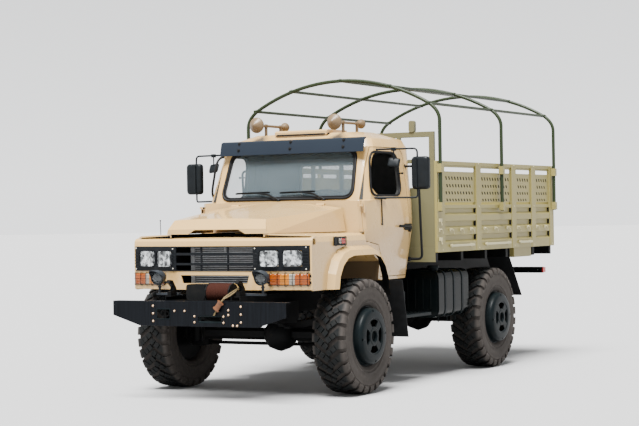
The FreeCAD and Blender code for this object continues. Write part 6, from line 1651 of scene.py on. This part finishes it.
@dataclass
class Cab:
    """The cab shell with its glass, seals, wipers, visor, horns, rails and inside."""

    screen_low: float = 1.898
    screen_high: float = 2.394
    screen_half_low: float = 0.775
    screen_half_high: float = 0.735
    screen_foot: Flat = (-1.416, 1.870)
    screen_slope: float = 0.3636
    middle: Point = (0.0, -0.95, 1.75)
    wiper_pivots: Flat = (-0.060, 0.470)
    visor_bolts: Point = (-0.625, -0.005, 0.615)
    horn_big: float = 0.082
    horn_small: float = 0.050
    horn_tube: float = 0.014
    horn_x: float = 0.462
    horn_z: float = 2.680
    horn_front: float = -1.204
    horn_rear: float = -0.614
    axle_y: float = -1.854
    axle_z: float = 0.56
    arch_reach: float = 0.95

    def build(self) -> None:
        """Makes or dresses each piece of the cab."""
        shell = node_piece("cab_shell", Coat.SAND, Dress(0.010, 4, 24))
        second_coat(shell, Coat.INSIDE, self.looks_in)
        wings = node_piece("wings", Coat.SAND, Dress(0.016, 4, 14))
        second_coat(wings, Coat.CHASSIS, self.under_wing)
        # The sheet behind and above the front wheels takes the darker horn enamel as painted shade.
        second_coat(wings, Coat.HORN, self.painted_shade_behind_wheel)
        second_coat(shell, Coat.HORN, self.painted_shade_behind_wheel)
        node_piece("hood", Coat.SAND, Dress(0.014, 4, 14), "bonnet")
        node_piece("roof_hatch", Coat.SAND, Dress(0.006, 3, 25), "hatch")
        self.hatch_rubber()
        node_piece("cab_glass", Coat.SCREEN, Dress(0.0, 1, 30))
        node_piece("dashboard", Coat.TRIM, Dress(0.003, 2, 50))
        self.seals()
        self.splash_sheets()
        self.wipers()
        self.visor()
        self.horns()
        self.rails()
        self.seats()
        self.aerial()

    def hatch_rubber(self) -> None:
        """Two rounds of black rubber under the roof hatch's rim, which also stand in as painted shadow below its edge.
        """
        low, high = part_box("roof_hatch")
        form = Form()
        for grow in (0.002, -0.012):
            ring = grown(low.xy, high.xy, grow, 0.06)
            form.tube([(x, y, low.z + 0.006) for x, y in ring], 0.009, 8, closed=True)
        form.done("hatch_rubber", Coat.SEAL, SEALED)

    def splash_sheets(self) -> None:
        """Dark rubber sheets that hang beside the frame, inboard of the front wheels, standing in as painted shade
        where the space under the wings is in shadow.
        """
        outline = [(-2.400, 0.900), (-2.380, 0.700), (-2.020, 0.690), (-1.960, 0.740), (-1.960, 0.900)]
        Form().slab(outline, Axis.X, 0.4510, 0.4550).paired("splash_sheets", Coat.SEAL, CRISP)

    def under_wing(self, middle: Vector, normal: Vector) -> bool:
        """Whether a face of a wing looks towards the wheel or the engine.

        Args:
            middle: the face's middle.
            normal: its normal.

        Returns:
            Whether it takes the dark finish.
        """
        inward = normal.x * middle.x < -0.3 * abs(middle.x)
        lining = abs(middle.x) < 0.93 and normal.y > -0.5 and middle.z < 1.35
        hub = Vector((middle.x, self.axle_y, self.axle_z)) - middle
        arched = hub.length < self.arch_reach and normal.dot(hub.normalized()) > 0.5
        return inward or lining or normal.z < -0.35 or arched

    def painted_shade_behind_wheel(self, middle: Vector, normal: Vector) -> bool:
        """Whether a face is the sheet behind or above a front wheel, which takes the darker horn enamel as painted
        shade.
        """
        return abs(middle.x) < 0.98 and middle.z < 1.32 and -2.35 < middle.y < -1.0 and normal.y < -0.25

    def looks_in(self, middle: Vector, normal: Vector) -> bool:
        """Whether a face of the cab looks towards its inside."""
        return normal.dot(Vector(self.middle) - middle) > 0.25 and abs(middle.x) < 0.95

    def screen_point(self, x: float, z: float, out: float) -> Vector:
        """A point on the windscreen's plane, moved forward by out."""
        foot_y, foot_z = self.screen_foot
        return Vector((x, foot_y + (z - foot_z) * self.screen_slope - out, z))

    def seals(self) -> None:
        """Rubber seals round the windscreen and the rear window."""
        form = Form()
        for inset, corner, out, radius, sides in ((0.0, 0.11, 0.004, 0.015, 10), (0.02, 0.10, -0.002, 0.010, 8)):
            a, b = self.screen_half_low - inset, self.screen_half_high - inset
            z0, z1 = self.screen_low + inset, self.screen_high - inset
            outline = soft_corners([(-a, z0), (a, z0), (b, z1), (-b, z1)], corner, 8)
            form.tube([self.screen_point(u, v, out) for u, v in outline], radius, sides, closed=True)
        form.done("screen_seal", Coat.SEAL, SEALED)
        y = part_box("cab_glass")[1].y + 0.012
        outline = soft_rectangle((-0.430, 1.950), (0.430, 2.280), 0.07, 6)
        rear = Form().tube([(u, y, v) for u, v in outline], 0.010, 8, closed=True)
        rear.done("rear_window_seal", Coat.SEAL, SEALED)

    def wipers(self) -> None:
        """Two wipers, each with a sprung arm, a bridge and a rubber blade."""
        form, blades = Form(), Form()
        proud = Vector((0, -0.007, 0))
        for pivot in self.wiper_pivots:
            foot = Vector((pivot, -1.452, 1.884))
            knee = self.screen_point(pivot - 0.140, 1.952, 0.040)
            form.lathe([(0.017, -0.012), (0.019, 0.0), (0.017, 0.016), (0.008, 0.022)], foot, Axis.Z, 14)
            form.tube([foot + Vector((0, 0, 0.012)), (foot + knee) / 2 + Vector((0, -0.006, 0.006)), knee], 0.0100, 8)
            form.tube([knee, self.screen_point(pivot - 0.330, 1.972, 0.026)], 0.008, 8)
            x = pivot - 0.345
            ends = [self.screen_point(x + s, 1.974 + s * 0.02, 0.010) for s in (-0.19, -0.09, 0.09, 0.19)]
            form.tube([ends[0], ends[1] + proud, self.screen_point(x, 1.974, 0.018), ends[2] + proud, ends[3]],
                      0.0075, 8)
            blades.tube([self.screen_point(x - 0.205, 1.966, 0.007), self.screen_point(x + 0.205, 1.974, 0.007)],
                        0.0090, 6)
        form.done("wipers.arms", Coat.TRIM, ROUND, ["wipers"])
        blades.done("wipers.blades", Coat.SEAL, ROUND)

    def visor(self) -> None:
        """The slate sun visor with three pairs of bolts."""
        node_piece("sun_visor", Coat.SLATE, Dress(0.004, 3, 20))
        bolts = Form()
        bolt = [(0.017, 0.012), (0.017, -0.002), (0.014, -0.004), (0.009, -0.004), (0.009, -0.011), (0.004, -0.013)]
        for x in self.visor_bolts:
            for z, out in ((2.487, 0.004), (2.419, 0.023)):
                bolts.lathe(bolt, (x, -1.276 - out, z), Axis.Y, 12)
        bolts.done("visor_bolts", Coat.SEAL, CREASED)

    def horns(self) -> None:
        """Two twin roof horns on stands, with their air pipes."""
        big, small, tube = self.horn_big, self.horn_small, self.horn_tube
        length = self.horn_rear - self.horn_front
        profile = [(0.004, -big * 0.75), (0.010, -big * 0.73), (big * 0.55, -big * 0.36), (big * 0.86, -big * 0.08),
                   (big * 0.95, 0.0), (big, big * 0.08), (big, big * 0.18), (big * 0.95, big * 0.34),
                   (big * 0.84, big * 0.55), (big * 0.55, big * 0.86), (tube * 1.8, big * 1.1),
                   (tube * 1.15, big * 1.35), (tube, big * 1.6),
                   (tube, length - small * 1.1), (small * 0.55, length - small * 0.75),
                   (small * 0.85, length - small * 0.42),
                   (small, length), (small, length + small * 0.2), (small * 0.86, length + small * 0.55),
                   (small * 0.5, length + small * 0.88), (0.004, length + small)]
        form = Form()
        form.lathe(profile, (self.horn_x, self.horn_front, self.horn_z), Axis.Y, 40)
        for y, foot in ((self.horn_front + 0.200, 2.535), (self.horn_rear - 0.090, 2.545)):
            stand = (self.horn_x, y, 0)
            form.lathe([(0.016, foot), (0.016, self.horn_z)], stand, Axis.Z, 14)
            form.lathe([(0.030, foot - 0.004), (0.030, foot + 0.012), (0.022, foot + 0.016)], stand, Axis.Z, 14)
            form.lathe([(tube + 0.006, -0.016), (tube + 0.006, 0.016)], (self.horn_x, y, self.horn_z), Axis.Y, 20)
        form.paired("roof_horns.bodies", Coat.HORN, Dress(smooth=42), ["roof_horns"])

    def rails(self) -> None:
        """The grab rail at each rear corner, with its ball feet."""
        form = Form()
        line = [(0.880, -0.514, 2.225), (1.070, -0.514, 2.225), (1.070, -0.474, 1.600), (1.070, -0.449, 1.262),
                (0.915, -0.489, 1.262)]
        form.tube(bent(line, 0.05, 6), 0.0125, 12)
        for x, y, z in ((0.905, -0.514, 2.225), (0.935, -0.484, 1.262)):
            form.lathe([(0.024, -0.012), (0.026, 0.0), (0.022, 0.014), (0.013, 0.018)], (x, y, z), Axis.X, 16)
        form.paired("grab_rails.tubes", Coat.TRIM, ROUND, ["grab_rails"])

    def cushion(self, name: str, low: Point, high: Point, puff: float, lean: float = 0.0) -> None:
        """A crowned pad with a seam round it and sewn channels.

        Args:
            name: the piece's name.
            low: its lowest corner.
            high: its highest corner.
            puff: how far its faces swell.
            lean: how far its top moves back.
        """
        middle = (Vector(low) + Vector(high)) / 2
        half = (Vector(high) - Vector(low)) / 2
        rings = []
        for i in range(PAD_LENGTHS + 1):
            u = -1 + 2 * i / PAD_LENGTHS
            close = (1 - abs(u) ** 6) ** 0.5
            channel = 1 - 0.045 * max(0.0, math.cos(u * math.pi * 4)) ** 6
            swell = 1 + puff * (1 - u * u) * 0.5
            k = (0.35 + 0.65 * close) * channel * swell / (1 + puff * 0.5)
            ring = []
            for a in turns(PAD_SIDES):
                y, z = (math.copysign(abs(c) ** PAD_SQUARENESS, c) for c in (math.cos(a), math.sin(a)))
                ring.append(middle + Vector((half.x * u, half.y * y * k + lean * (z * k), half.z * z * k)))
            rings.append(ring)
        piece = Form().loft(rings).object(name)
        smooth = piece.modifiers.new("soft", "SUBSURF")
        smooth.levels = smooth.render_levels = 1
        dress(piece, Coat.SEAT, "chassis", Dress(smooth=180), ["seats"] if name == "seat_left.base" else [])

    def seats(self) -> None:
        """The driver's seat and the wide passenger seat, on plain boxes."""
        boxes = Form()
        for name, x, width in (("left", 0.420, 0.520), ("right", -0.300, 0.760)):
            half = width / 2
            self.cushion(f"seat_{name}.base", (x - half, -0.944, 1.292), (x + half, -0.515, 1.412), 0.12)
            self.cushion(f"seat_{name}.back", (x - half, -0.640, 1.400), (x + half, -0.515, 1.932), 0.12, 0.018)
            boxes.block((x - half + 0.04, -0.904, 1.1125), (x + half - 0.04, -0.584, 1.296))
        boxes.done("seat_boxes", Coat.INSIDE, Dress(0.006, 2))

    def aerial(self) -> None:
        """A short width rod on the far wing."""
        rod = Form().tube([(-0.93, -2.30, 1.560), (-0.93, -2.305, 1.700)], 0.004, 8)
        rod.ball((-0.93, -2.305, 1.702), 0.008).done("width_rod", Coat.TRIM, ROUND)


@dataclass
class Doors:
    """The two doors with their window seals, handles, and mirrors on tube arms."""

    window_front: float = -1.339
    window_rear: float = -0.674
    window_low: float = 1.920
    window_high: float = 2.362
    mirror_x: float = 1.350
    mirror_y: float = -1.044
    mirror_half: float = 0.095
    mirror_low: float = 1.975
    mirror_high: float = 2.305
    glass_inset: float = 0.012
    small_x: float = 1.075
    small_z: float = 2.251
    arm_top: float = 2.386
    arm_low: float = 1.895

    def build(self) -> None:
        """Makes both sides."""
        for name, side in (("left", LEFT), ("right", RIGHT)):
            body = name + "_door"
            door = node_piece("door_" + name, Coat.SAND, Dress(0.006, 3, 24), body)
            second_coat(door, Coat.INSIDE, lambda middle, normal, side=side: self.lined(middle, normal, side))
            self.seal(name, side, body)
            self.handle(name, side, body)
            self.mirror(name, side, body)

    def lined(self, middle: Vector, normal: Vector, side: int) -> bool:
        """Whether a face of a door looks inwards or lines its window opening.

        Args:
            middle: the face's middle.
            normal: its normal.
            side: 1 on the left, -1 on the right.

        Returns:
            Whether it takes the lining's finish.
        """
        opening = (self.window_front - 0.03 < middle.y < self.window_rear + 0.03
                   and self.window_low - 0.03 < middle.z < self.window_high + 0.03)
        return normal.x * side < -0.7 or (opening and normal.x * side < 0.4)

    def seal(self, name: str, side: int, body: str) -> None:
        """The rubber round the door's window.

        Args:
            name: left or right.
            side: 1 on the left, -1 on the right.
            body: the CAD body that it rides on.
        """
        y0, y1, z0, z1 = self.window_front, self.window_rear, self.window_low, self.window_high
        outline = soft_corners([(y0 - 0.004, z0), (y1 + 0.004, z0), (y1, z1), (y0 + 0.06, z1)], 0.13, 8)
        form = Form().tube([(side * (side_x(v) - 0.003), u, v) for u, v in outline], 0.0125, 10, closed=True)
        form.done(f"window_seal_{name}", Coat.SEAL, SEALED, body=body)

    def handle(self, name: str, side: int, body: str) -> None:
        """A black pull handle on its backing plate, and the key lock.

        Args:
            name: left or right.
            side: 1 on the left, -1 on the right.
            body: the CAD body that it rides on.
        """
        x = side_x(CAB_BELT)
        plate = Form().slab(soft_rectangle((-0.690, 1.564), (-0.530, 1.632), 0.020, 3), Axis.X, x - 0.002, x + 0.012)
        grip = Form().tube(bent([(x + 0.006, -0.575, 1.600), (x + 0.036, -0.600, 1.602), (x + 0.040, -0.780, 1.606),
                                 (x + 0.022, -0.830, 1.608)], 0.015, 4), 0.0150, 10)
        grip.lathe([(0.016, x - 0.002), (0.016, x + 0.016), (0.011, x + 0.019)], (0, -0.575, 1.560), Axis.X, 14)
        plate.on_side(side).done(f"handle_plate_{name}", Coat.TRIM, SLIGHT, body=body)
        grip.on_side(side).done(f"handle_grip_{name}", Coat.TRIM, ROUND, body=body)

    def mirror(self, name: str, side: int, body: str) -> None:
        """The main mirror, its arms and stay, and the small wide-angle mirror.

        Args:
            name: left or right.
            side: 1 on the left, -1 on the right.
            body: the CAD body that it rides on.
        """
        x, y, top, hx = self.mirror_x, self.mirror_y, self.arm_top, self.small_x
        low, high = (x - self.mirror_half, self.mirror_low), (x + self.mirror_half, self.mirror_high)
        small = Vector((hx, -1.114 + 0.07 * (hx - 0.85) / 0.47, self.small_z))
        tilt = Matrix.Rotation(math.radians(-24), 3, "X") @ Matrix.Rotation(math.radians(12), 3, "Z")

        def tilted(u: float, v: float, depth: float) -> Vector:
            """A point of the small mirror."""
            return small + tilt @ Vector((u, depth, v))

        arms = self.arms(x - 0.03, y)
        arms.tube([(hx, small.y, top), (hx, small.y, 2.285)], 0.007, 10)
        arms.block((hx - 0.02, small.y - 0.016, top - 0.02), (hx + 0.02, small.y + 0.016, top + 0.016))
        arms.tube([(0.925, -0.700, 2.150), (0.975, -0.705, 2.150)], 0.007, 8)
        arms.ball((0.982, -0.706, 2.150), 0.013)
        head = Form().tray(low, high, 0.042, 6, ((0.030, y - 0.0195), (0.014, y - 0.0165), (0.004, y - 0.008),
                                                 (0.0, y + 0.004), (0.0, y + 0.036), (0.004, y + 0.0395)), Axis.Y.at)
        head.tray((-0.062, -0.050), (0.062, 0.050), 0.022, 5,
                  ((0.020, -0.013), (0.006, -0.008), (0.0, 0.0), (0.0, 0.010), (0.004, 0.014)), tilted)
        glass = Form().slab(grown(low, high, -self.glass_inset, 0.034, 6), Axis.Y, y + 0.038, y + 0.0405)
        glass.tray((-0.054, -0.042), (0.054, 0.042), 0.018, 5, ((0.0, 0.013), (0.0, 0.0150)), tilted)
        arms.on_side(side).done(f"mirror_{name}.arms", Coat.HOUSING, ROUND, ["mirror_" + name], body)
        head.on_side(side).done(f"mirror_{name}.heads", Coat.HOUSING, TURNED, body=body)
        glass.on_side(side).done(f"mirror_{name}.glass", Coat.MIRROR, CREASED, body=body)

    def arms(self, x: float, y: float) -> Form:
        """The tube arms of a main mirror at (x, y), with its upright and its stay.

        Args:
            x: the upright's place across the truck.
            y: its place along the truck.

        Returns:
            The form.
        """
        top, low = self.arm_top, self.arm_low
        form = Form().tube(bent([(0.868, -1.110, top), (x, y, top), (x, y, 2.25)], 0.045), 0.0095)
        form.tube(bent([(0.935, -1.284, low), (x, y, low), (x, y, 2.03)], 0.035), 0.0095)
        form.tube([(x, y - 0.028, 1.99), (x, y - 0.028, 2.29)], 0.0085, 10)
        form.tube([(0.962, -1.270, low + 0.002), (0.978, -1.085, low - 0.006)], 0.011, 10)
        form.tube([(0.966, -1.150, low - 0.004), (0.991, -1.186, 1.640)], 0.0065, 10)
        return form.ball((0.988, -1.188, 1.632), 0.012)


# ---- cargo body


@dataclass
class CargoBody:
    """The khaki bed with pierced sides, its headboard, gate and canopy bows."""

    side_inner: float = 1.116
    side_outer: float = 1.150
    wall_outer: float = 1.144
    foot: float = 1.320
    top: float = 2.284
    posts: tuple[Flat, ...] = ((-0.234, -0.044), (0.775, 0.905), (1.776, 1.906), (2.374, 2.504), (2.946, 3.076))
    panels: tuple[Flat, ...] = ((-0.044, 0.775), (0.905, 1.776), (1.906, 2.374), (2.504, 2.946))
    recesses: tuple[Flat, ...] = ((1.420, 1.500), (1.568, 1.648), (1.712, 1.784))
    recess_floor: float = 1.122
    ledge: float = 0.024
    lap: float = 0.002
    sheet_faces: Flat = (1.1300, 1.1325)
    rim: float = 2.244
    lining_face: float = 1.1290
    lining_top: float = 2.135
    gap: Flat = (1.820, 1.846)
    hand_slot: Flat = (2.176, 2.220)
    hole_rows: tuple[Flat, ...] = ((2.105, 0.037), (2.024, 0.034), (1.948, 0.032), (1.872, 0.028))
    hole_pitch: float = 0.0735
    hole_width: float = 0.031
    hole_lean: float = 0.008
    foot_bars: tuple[Flat, ...] = ((0.06, 0.66), (0.98, 1.68), (1.95, 2.33))
    bolt_places: tuple[float, ...] = (-0.109, 0.840, 1.841, 2.439, 3.011)
    bolt_heights: Point = (1.345, 1.80, 2.268)
    latch_heights: Point = (1.46, 1.66, 1.86)
    hook_height: float = 1.552
    hook_places: tuple[float, ...] = (-0.165, 0.104, 0.368, 0.631, 0.997, 1.295, 1.645, 1.951, 2.245, 2.532, 2.798)
    bow_half: float = 1.176
    bow_radius: float = 0.0195
    bow_elbow: float = 2.819
    bow_top: float = 3.180
    bow_foot: float = 1.750
    elbow_reach: float = 0.1125
    socket_feet: Flat = (2.162, 1.756)
    bow_stations: tuple[float, ...] = (-0.200, 1.430, 3.031)
    bar_places: tuple[float, ...] = (-1.06, -0.6, 0.0, 0.6, 1.06)

    def build(self) -> None:
        """Makes or dresses each piece of the bed."""
        floor = node_piece("cargo_floor", Coat.KHAKI, THICK)
        second_coat(floor, Coat.CHASSIS, lambda middle, normal: middle.z < 1.318)
        # The bed's front underside takes the darker khaki as painted shade.
        second_coat(floor, Coat.DRAB, lambda middle, normal: middle.z < 1.318 and middle.y < -0.2)
        # The headboard takes the darker khaki as painted shade.
        node_piece("headboard", Coat.DRAB, THICK)
        node_piece("tailgate", Coat.KHAKI, SHEET, "rear_gate")
        self.sides()
        self.fittings()
        self.bows()

    def fold(self) -> list[Flat]:
        """The lower wall's section: three pressed recesses, each with a sloping ledge at its foot."""
        section = [(self.side_inner, self.foot), (self.wall_outer, self.foot)]
        for low, high in self.recesses:
            section += [(self.wall_outer, low), (self.recess_floor, low + self.ledge),
                        (self.recess_floor, high - 0.004), (self.wall_outer, high)]
        return section + [(self.wall_outer, self.gap[0]), (self.side_inner, self.gap[0])]

    def holes(self, start: float, end: float) -> list[list[Flat]]:
        """The slanted slots of one panel, as outlines in (y, z).

        Args:
            start: the panel's front edge.
            end: its rear edge.

        Returns:
            The outlines.
        """
        found = []
        count = int((end - start - 0.060) / self.hole_pitch)
        first = (start + end - (count - 1) * self.hole_pitch) / 2
        for row, (z, height) in enumerate(self.hole_rows):
            odd = row % 2
            for k in range(count - odd):
                y = first + odd * 0.020 + self.hole_pitch * k
                w, h, lean = self.hole_width / 2, height / 2, self.hole_lean
                corners = [(y - w + lean, z - h), (y + w + lean, z - h), (y + w - lean, z + h), (y - w - lean, z + h)]
                found.append(soft_corners(corners, 0.006, 2))
        return found

    def sides(self) -> None:
        """Posts, folded lower walls with black blocks at their recess ends as painted shadow, and pierced sheets."""
        self.pierced_sheets()
        posts, walls, notch_shadows = Form(), Form(), Form()
        for start, end in self.posts:
            posts.block((self.side_inner, start, self.foot), (self.side_outer, end, self.top))
        for start, end in self.panels:
            walls.loft([[Vector((x, y, z)) for x, z in self.fold()] for y in (start - self.lap, end + self.lap)])
            # A black block at each recess's rear end stands in as painted shadow.
            for low, high in self.recesses:
                notch_shadows.block((self.recess_floor - 0.001, end - 0.026, low + self.ledge),
                              (1.1385, end + 0.001, high - 0.003))
        posts.paired("cargo_sides.posts", Coat.KHAKI, Dress(0.005, 2, 35), ["cargo_sides"])
        walls.paired("cargo_sides.walls", Coat.KHAKI, Dress(0.0025, 2, 35))
        notch_shadows.paired("cargo_sides.notches", Coat.CORE, Dress(0.001, 1, 35))
        self.lining()

    def pierced_sheets(self) -> None:
        """The upper sheets with their slots."""
        sheets, slots = Form(), Form()
        (foot, seam), (slot_low, slot_high) = self.gap, self.hand_slot
        for start, end in self.panels:
            sheets.block((self.sheet_faces[0], start - self.lap, seam), (self.sheet_faces[1], end + self.lap, self.top))
            sheets.block((self.side_inner, start - self.lap, self.rim), (self.wall_outer, end + self.lap, self.top))
            for y in (start + 0.003, end - 0.009):
                sheets.block((self.side_inner, y - 0.005, foot - 0.002), (1.140, y + 0.011, seam + 0.02))
            outlines = [soft_rectangle((start + 0.030, slot_low), (end - 0.030, slot_high), 0.019, 4)]
            for outline in outlines + self.holes(start, end):
                slots.slab(outline, Axis.X, 1.05, 1.2)
        sheet = sheets.mirror().object("cargo_sides.sheets")
        cut(sheet, slots.mirror())
        dress(sheet, Coat.KHAKI, "chassis", Dress(0.0015, 2, 35))

    def lining(self) -> None:
        """The sheet behind the slots; its outward face is black as painted shade where it shows through them."""
        form = Form()
        for start, end in self.panels:
            form.block((self.side_inner, start + 0.010, self.gap[1] + 0.004),
                       (self.lining_face, end - 0.010, self.lining_top))
        shade_liner = form.paired("cargo_sides.lining", Coat.KHAKI, Dress(0.0006, 1, 35))
        # Outward faces take radiator black as painted shade seen through the slots.
        second_coat(shade_liner, Coat.CORE, lambda middle, normal: normal.x * middle.x > 0.5)

    def fittings(self) -> None:
        """Rope hooks, foot handles, latches and post bolts on both sides."""
        x = self.side_outer
        hooks, bars, bolts, latches = Form(), Form(), Form(), Form()
        z = self.hook_height
        for y in self.hook_places:
            line = [(x - 0.002, y - 0.030, z + 0.004), (x + 0.022, y - 0.022, z + 0.014), (x + 0.026, y, z - 0.006),
                    (x + 0.024, y + 0.018, z - 0.040)]
            hooks.tube(bent(line, 0.015, 4), 0.0055, 8)
            hooks.block((x - 0.002, y - 0.042, z - 0.012), (x + 0.006, y - 0.016, z + 0.022))
        for y0, y1 in self.foot_bars:
            bars.slab(soft_rectangle((y0, 1.373), (y1, 1.398), 0.010, 3), Axis.X, x + 0.002, x + 0.026)
            for y in (y0 + 0.05, y1 - 0.05):
                bars.block((x - 0.002, y - 0.014, 1.366), (x + 0.012, y + 0.014, 1.404))
        for y in self.bolt_places:
            for z in self.bolt_heights:
                bolts.lathe([(0.009, x - 0.001), (0.009, x + 0.003), (0.006, x + 0.0055)], (0, y, z), Axis.X, 12)
        for z in self.latch_heights:
            latches.block((x - 0.001, -0.205, z - 0.018), (x + 0.018, -0.150, z + 0.018))
            latches.tube([(x + 0.016, -0.185, z), (x + 0.026, -0.178, z - 0.055)], 0.006, 8)
        hooks.paired("rope_hooks", Coat.PALE, TURNED)
        bars.paired("side_foot_bars", Coat.PALE, EASED)
        bolts.paired("post_bolts", Coat.PALE, CREASED)
        latches.paired("post_latches", Coat.PALE, SLIGHT)

    def arc_radius(self) -> float:
        """The radius of a bow's long arc."""
        rise = self.bow_top - self.bow_elbow
        return (self.bow_half ** 2 + rise ** 2) / (2 * rise)

    def bow_line(self, y: float) -> list[Vector]:
        """One bow's middle line: legs, bent elbows and a long arc.

        Args:
            y: the bow's place along the bed.

        Returns:
            The points, from one foot to the other.
        """
        w, elbow, top, arc = self.bow_half, self.bow_elbow, self.bow_top, self.arc_radius()
        trim = self.elbow_reach
        angle = math.asin((w - trim) / arc)
        end = Vector((w - trim, y, top - arc * (1 - math.cos(angle))))
        half = [Vector((w, y, self.bow_foot))]
        half += swept(Vector((w, y, elbow - trim)), Vector((w, y, elbow - 0.010)), end, 8)[:-1]
        for a in (angle * (1 - k / 12) for k in range(12)):
            half.append(Vector((arc * math.sin(a), y, top - arc * (1 - math.cos(a)))))
        return half + [Vector((0, y, top))] + [Vector((-p.x, p.y, p.z)) for p in reversed(half)]

    def bows(self) -> None:
        """Three olive bows, five long bars, their clamps and the sockets."""
        bows, bars, clamps, sockets = Form(), Form(), Form(), Form()
        for y in self.bow_stations:
            bows.tube(self.bow_line(y), self.bow_radius, 14)
        arc = self.arc_radius()
        for x in self.bar_places:
            z = self.bow_top - (arc - math.sqrt(arc * arc - x * x))
            bars.tube([(x, self.bow_stations[0], z), (x, self.bow_stations[-1], z)], 0.0160)
            for y in self.bow_stations:
                clamps.ball((x, y, z + 0.004), 0.025, (1.0, 1.2, 0.85), 12)
                clamps.lathe([(0.016, y - 0.050), (0.016, y + 0.050)], (x, 0, z), Axis.Y, 12)
        for y in self.bow_stations:
            for z in self.socket_feet:
                sockets.block((self.side_outer + 0.0005, y - 0.031, z),
                              (self.bow_half + 0.0255, y + 0.031, z + 0.090))
                for dy in (-0.022, 0.022):
                    sockets.lathe([(0.006, 1.200), (0.006, 1.2035)], (0, y + dy, z + 0.045), Axis.X, 8)
        bows.done("canopy_bows.tubes", Coat.OLIVE, ROUND, ["canopy_bows"])
        bars.done("canopy_bows.bars", Coat.OLIVE, ROUND)
        clamps.done("canopy_bows.clamps", Coat.OLIVE, TURNED)
        sockets.paired("canopy_bows.sockets", Coat.KHAKI, EASED)


def main() -> None:
    """Builds the scene, piece by piece."""
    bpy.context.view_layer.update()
    Viewpoint().build()
    Studio().build()
    for assembly in (Winch(), FrontBumper(), SpotLamps(), FrontPanel(), Cab(), Doors(), CargoBody(), Chassis(),
                     RunningGear()):
        LOG.info("%s", type(assembly).__name__)
        assembly.build()


if __name__ == "__main__":
    main()
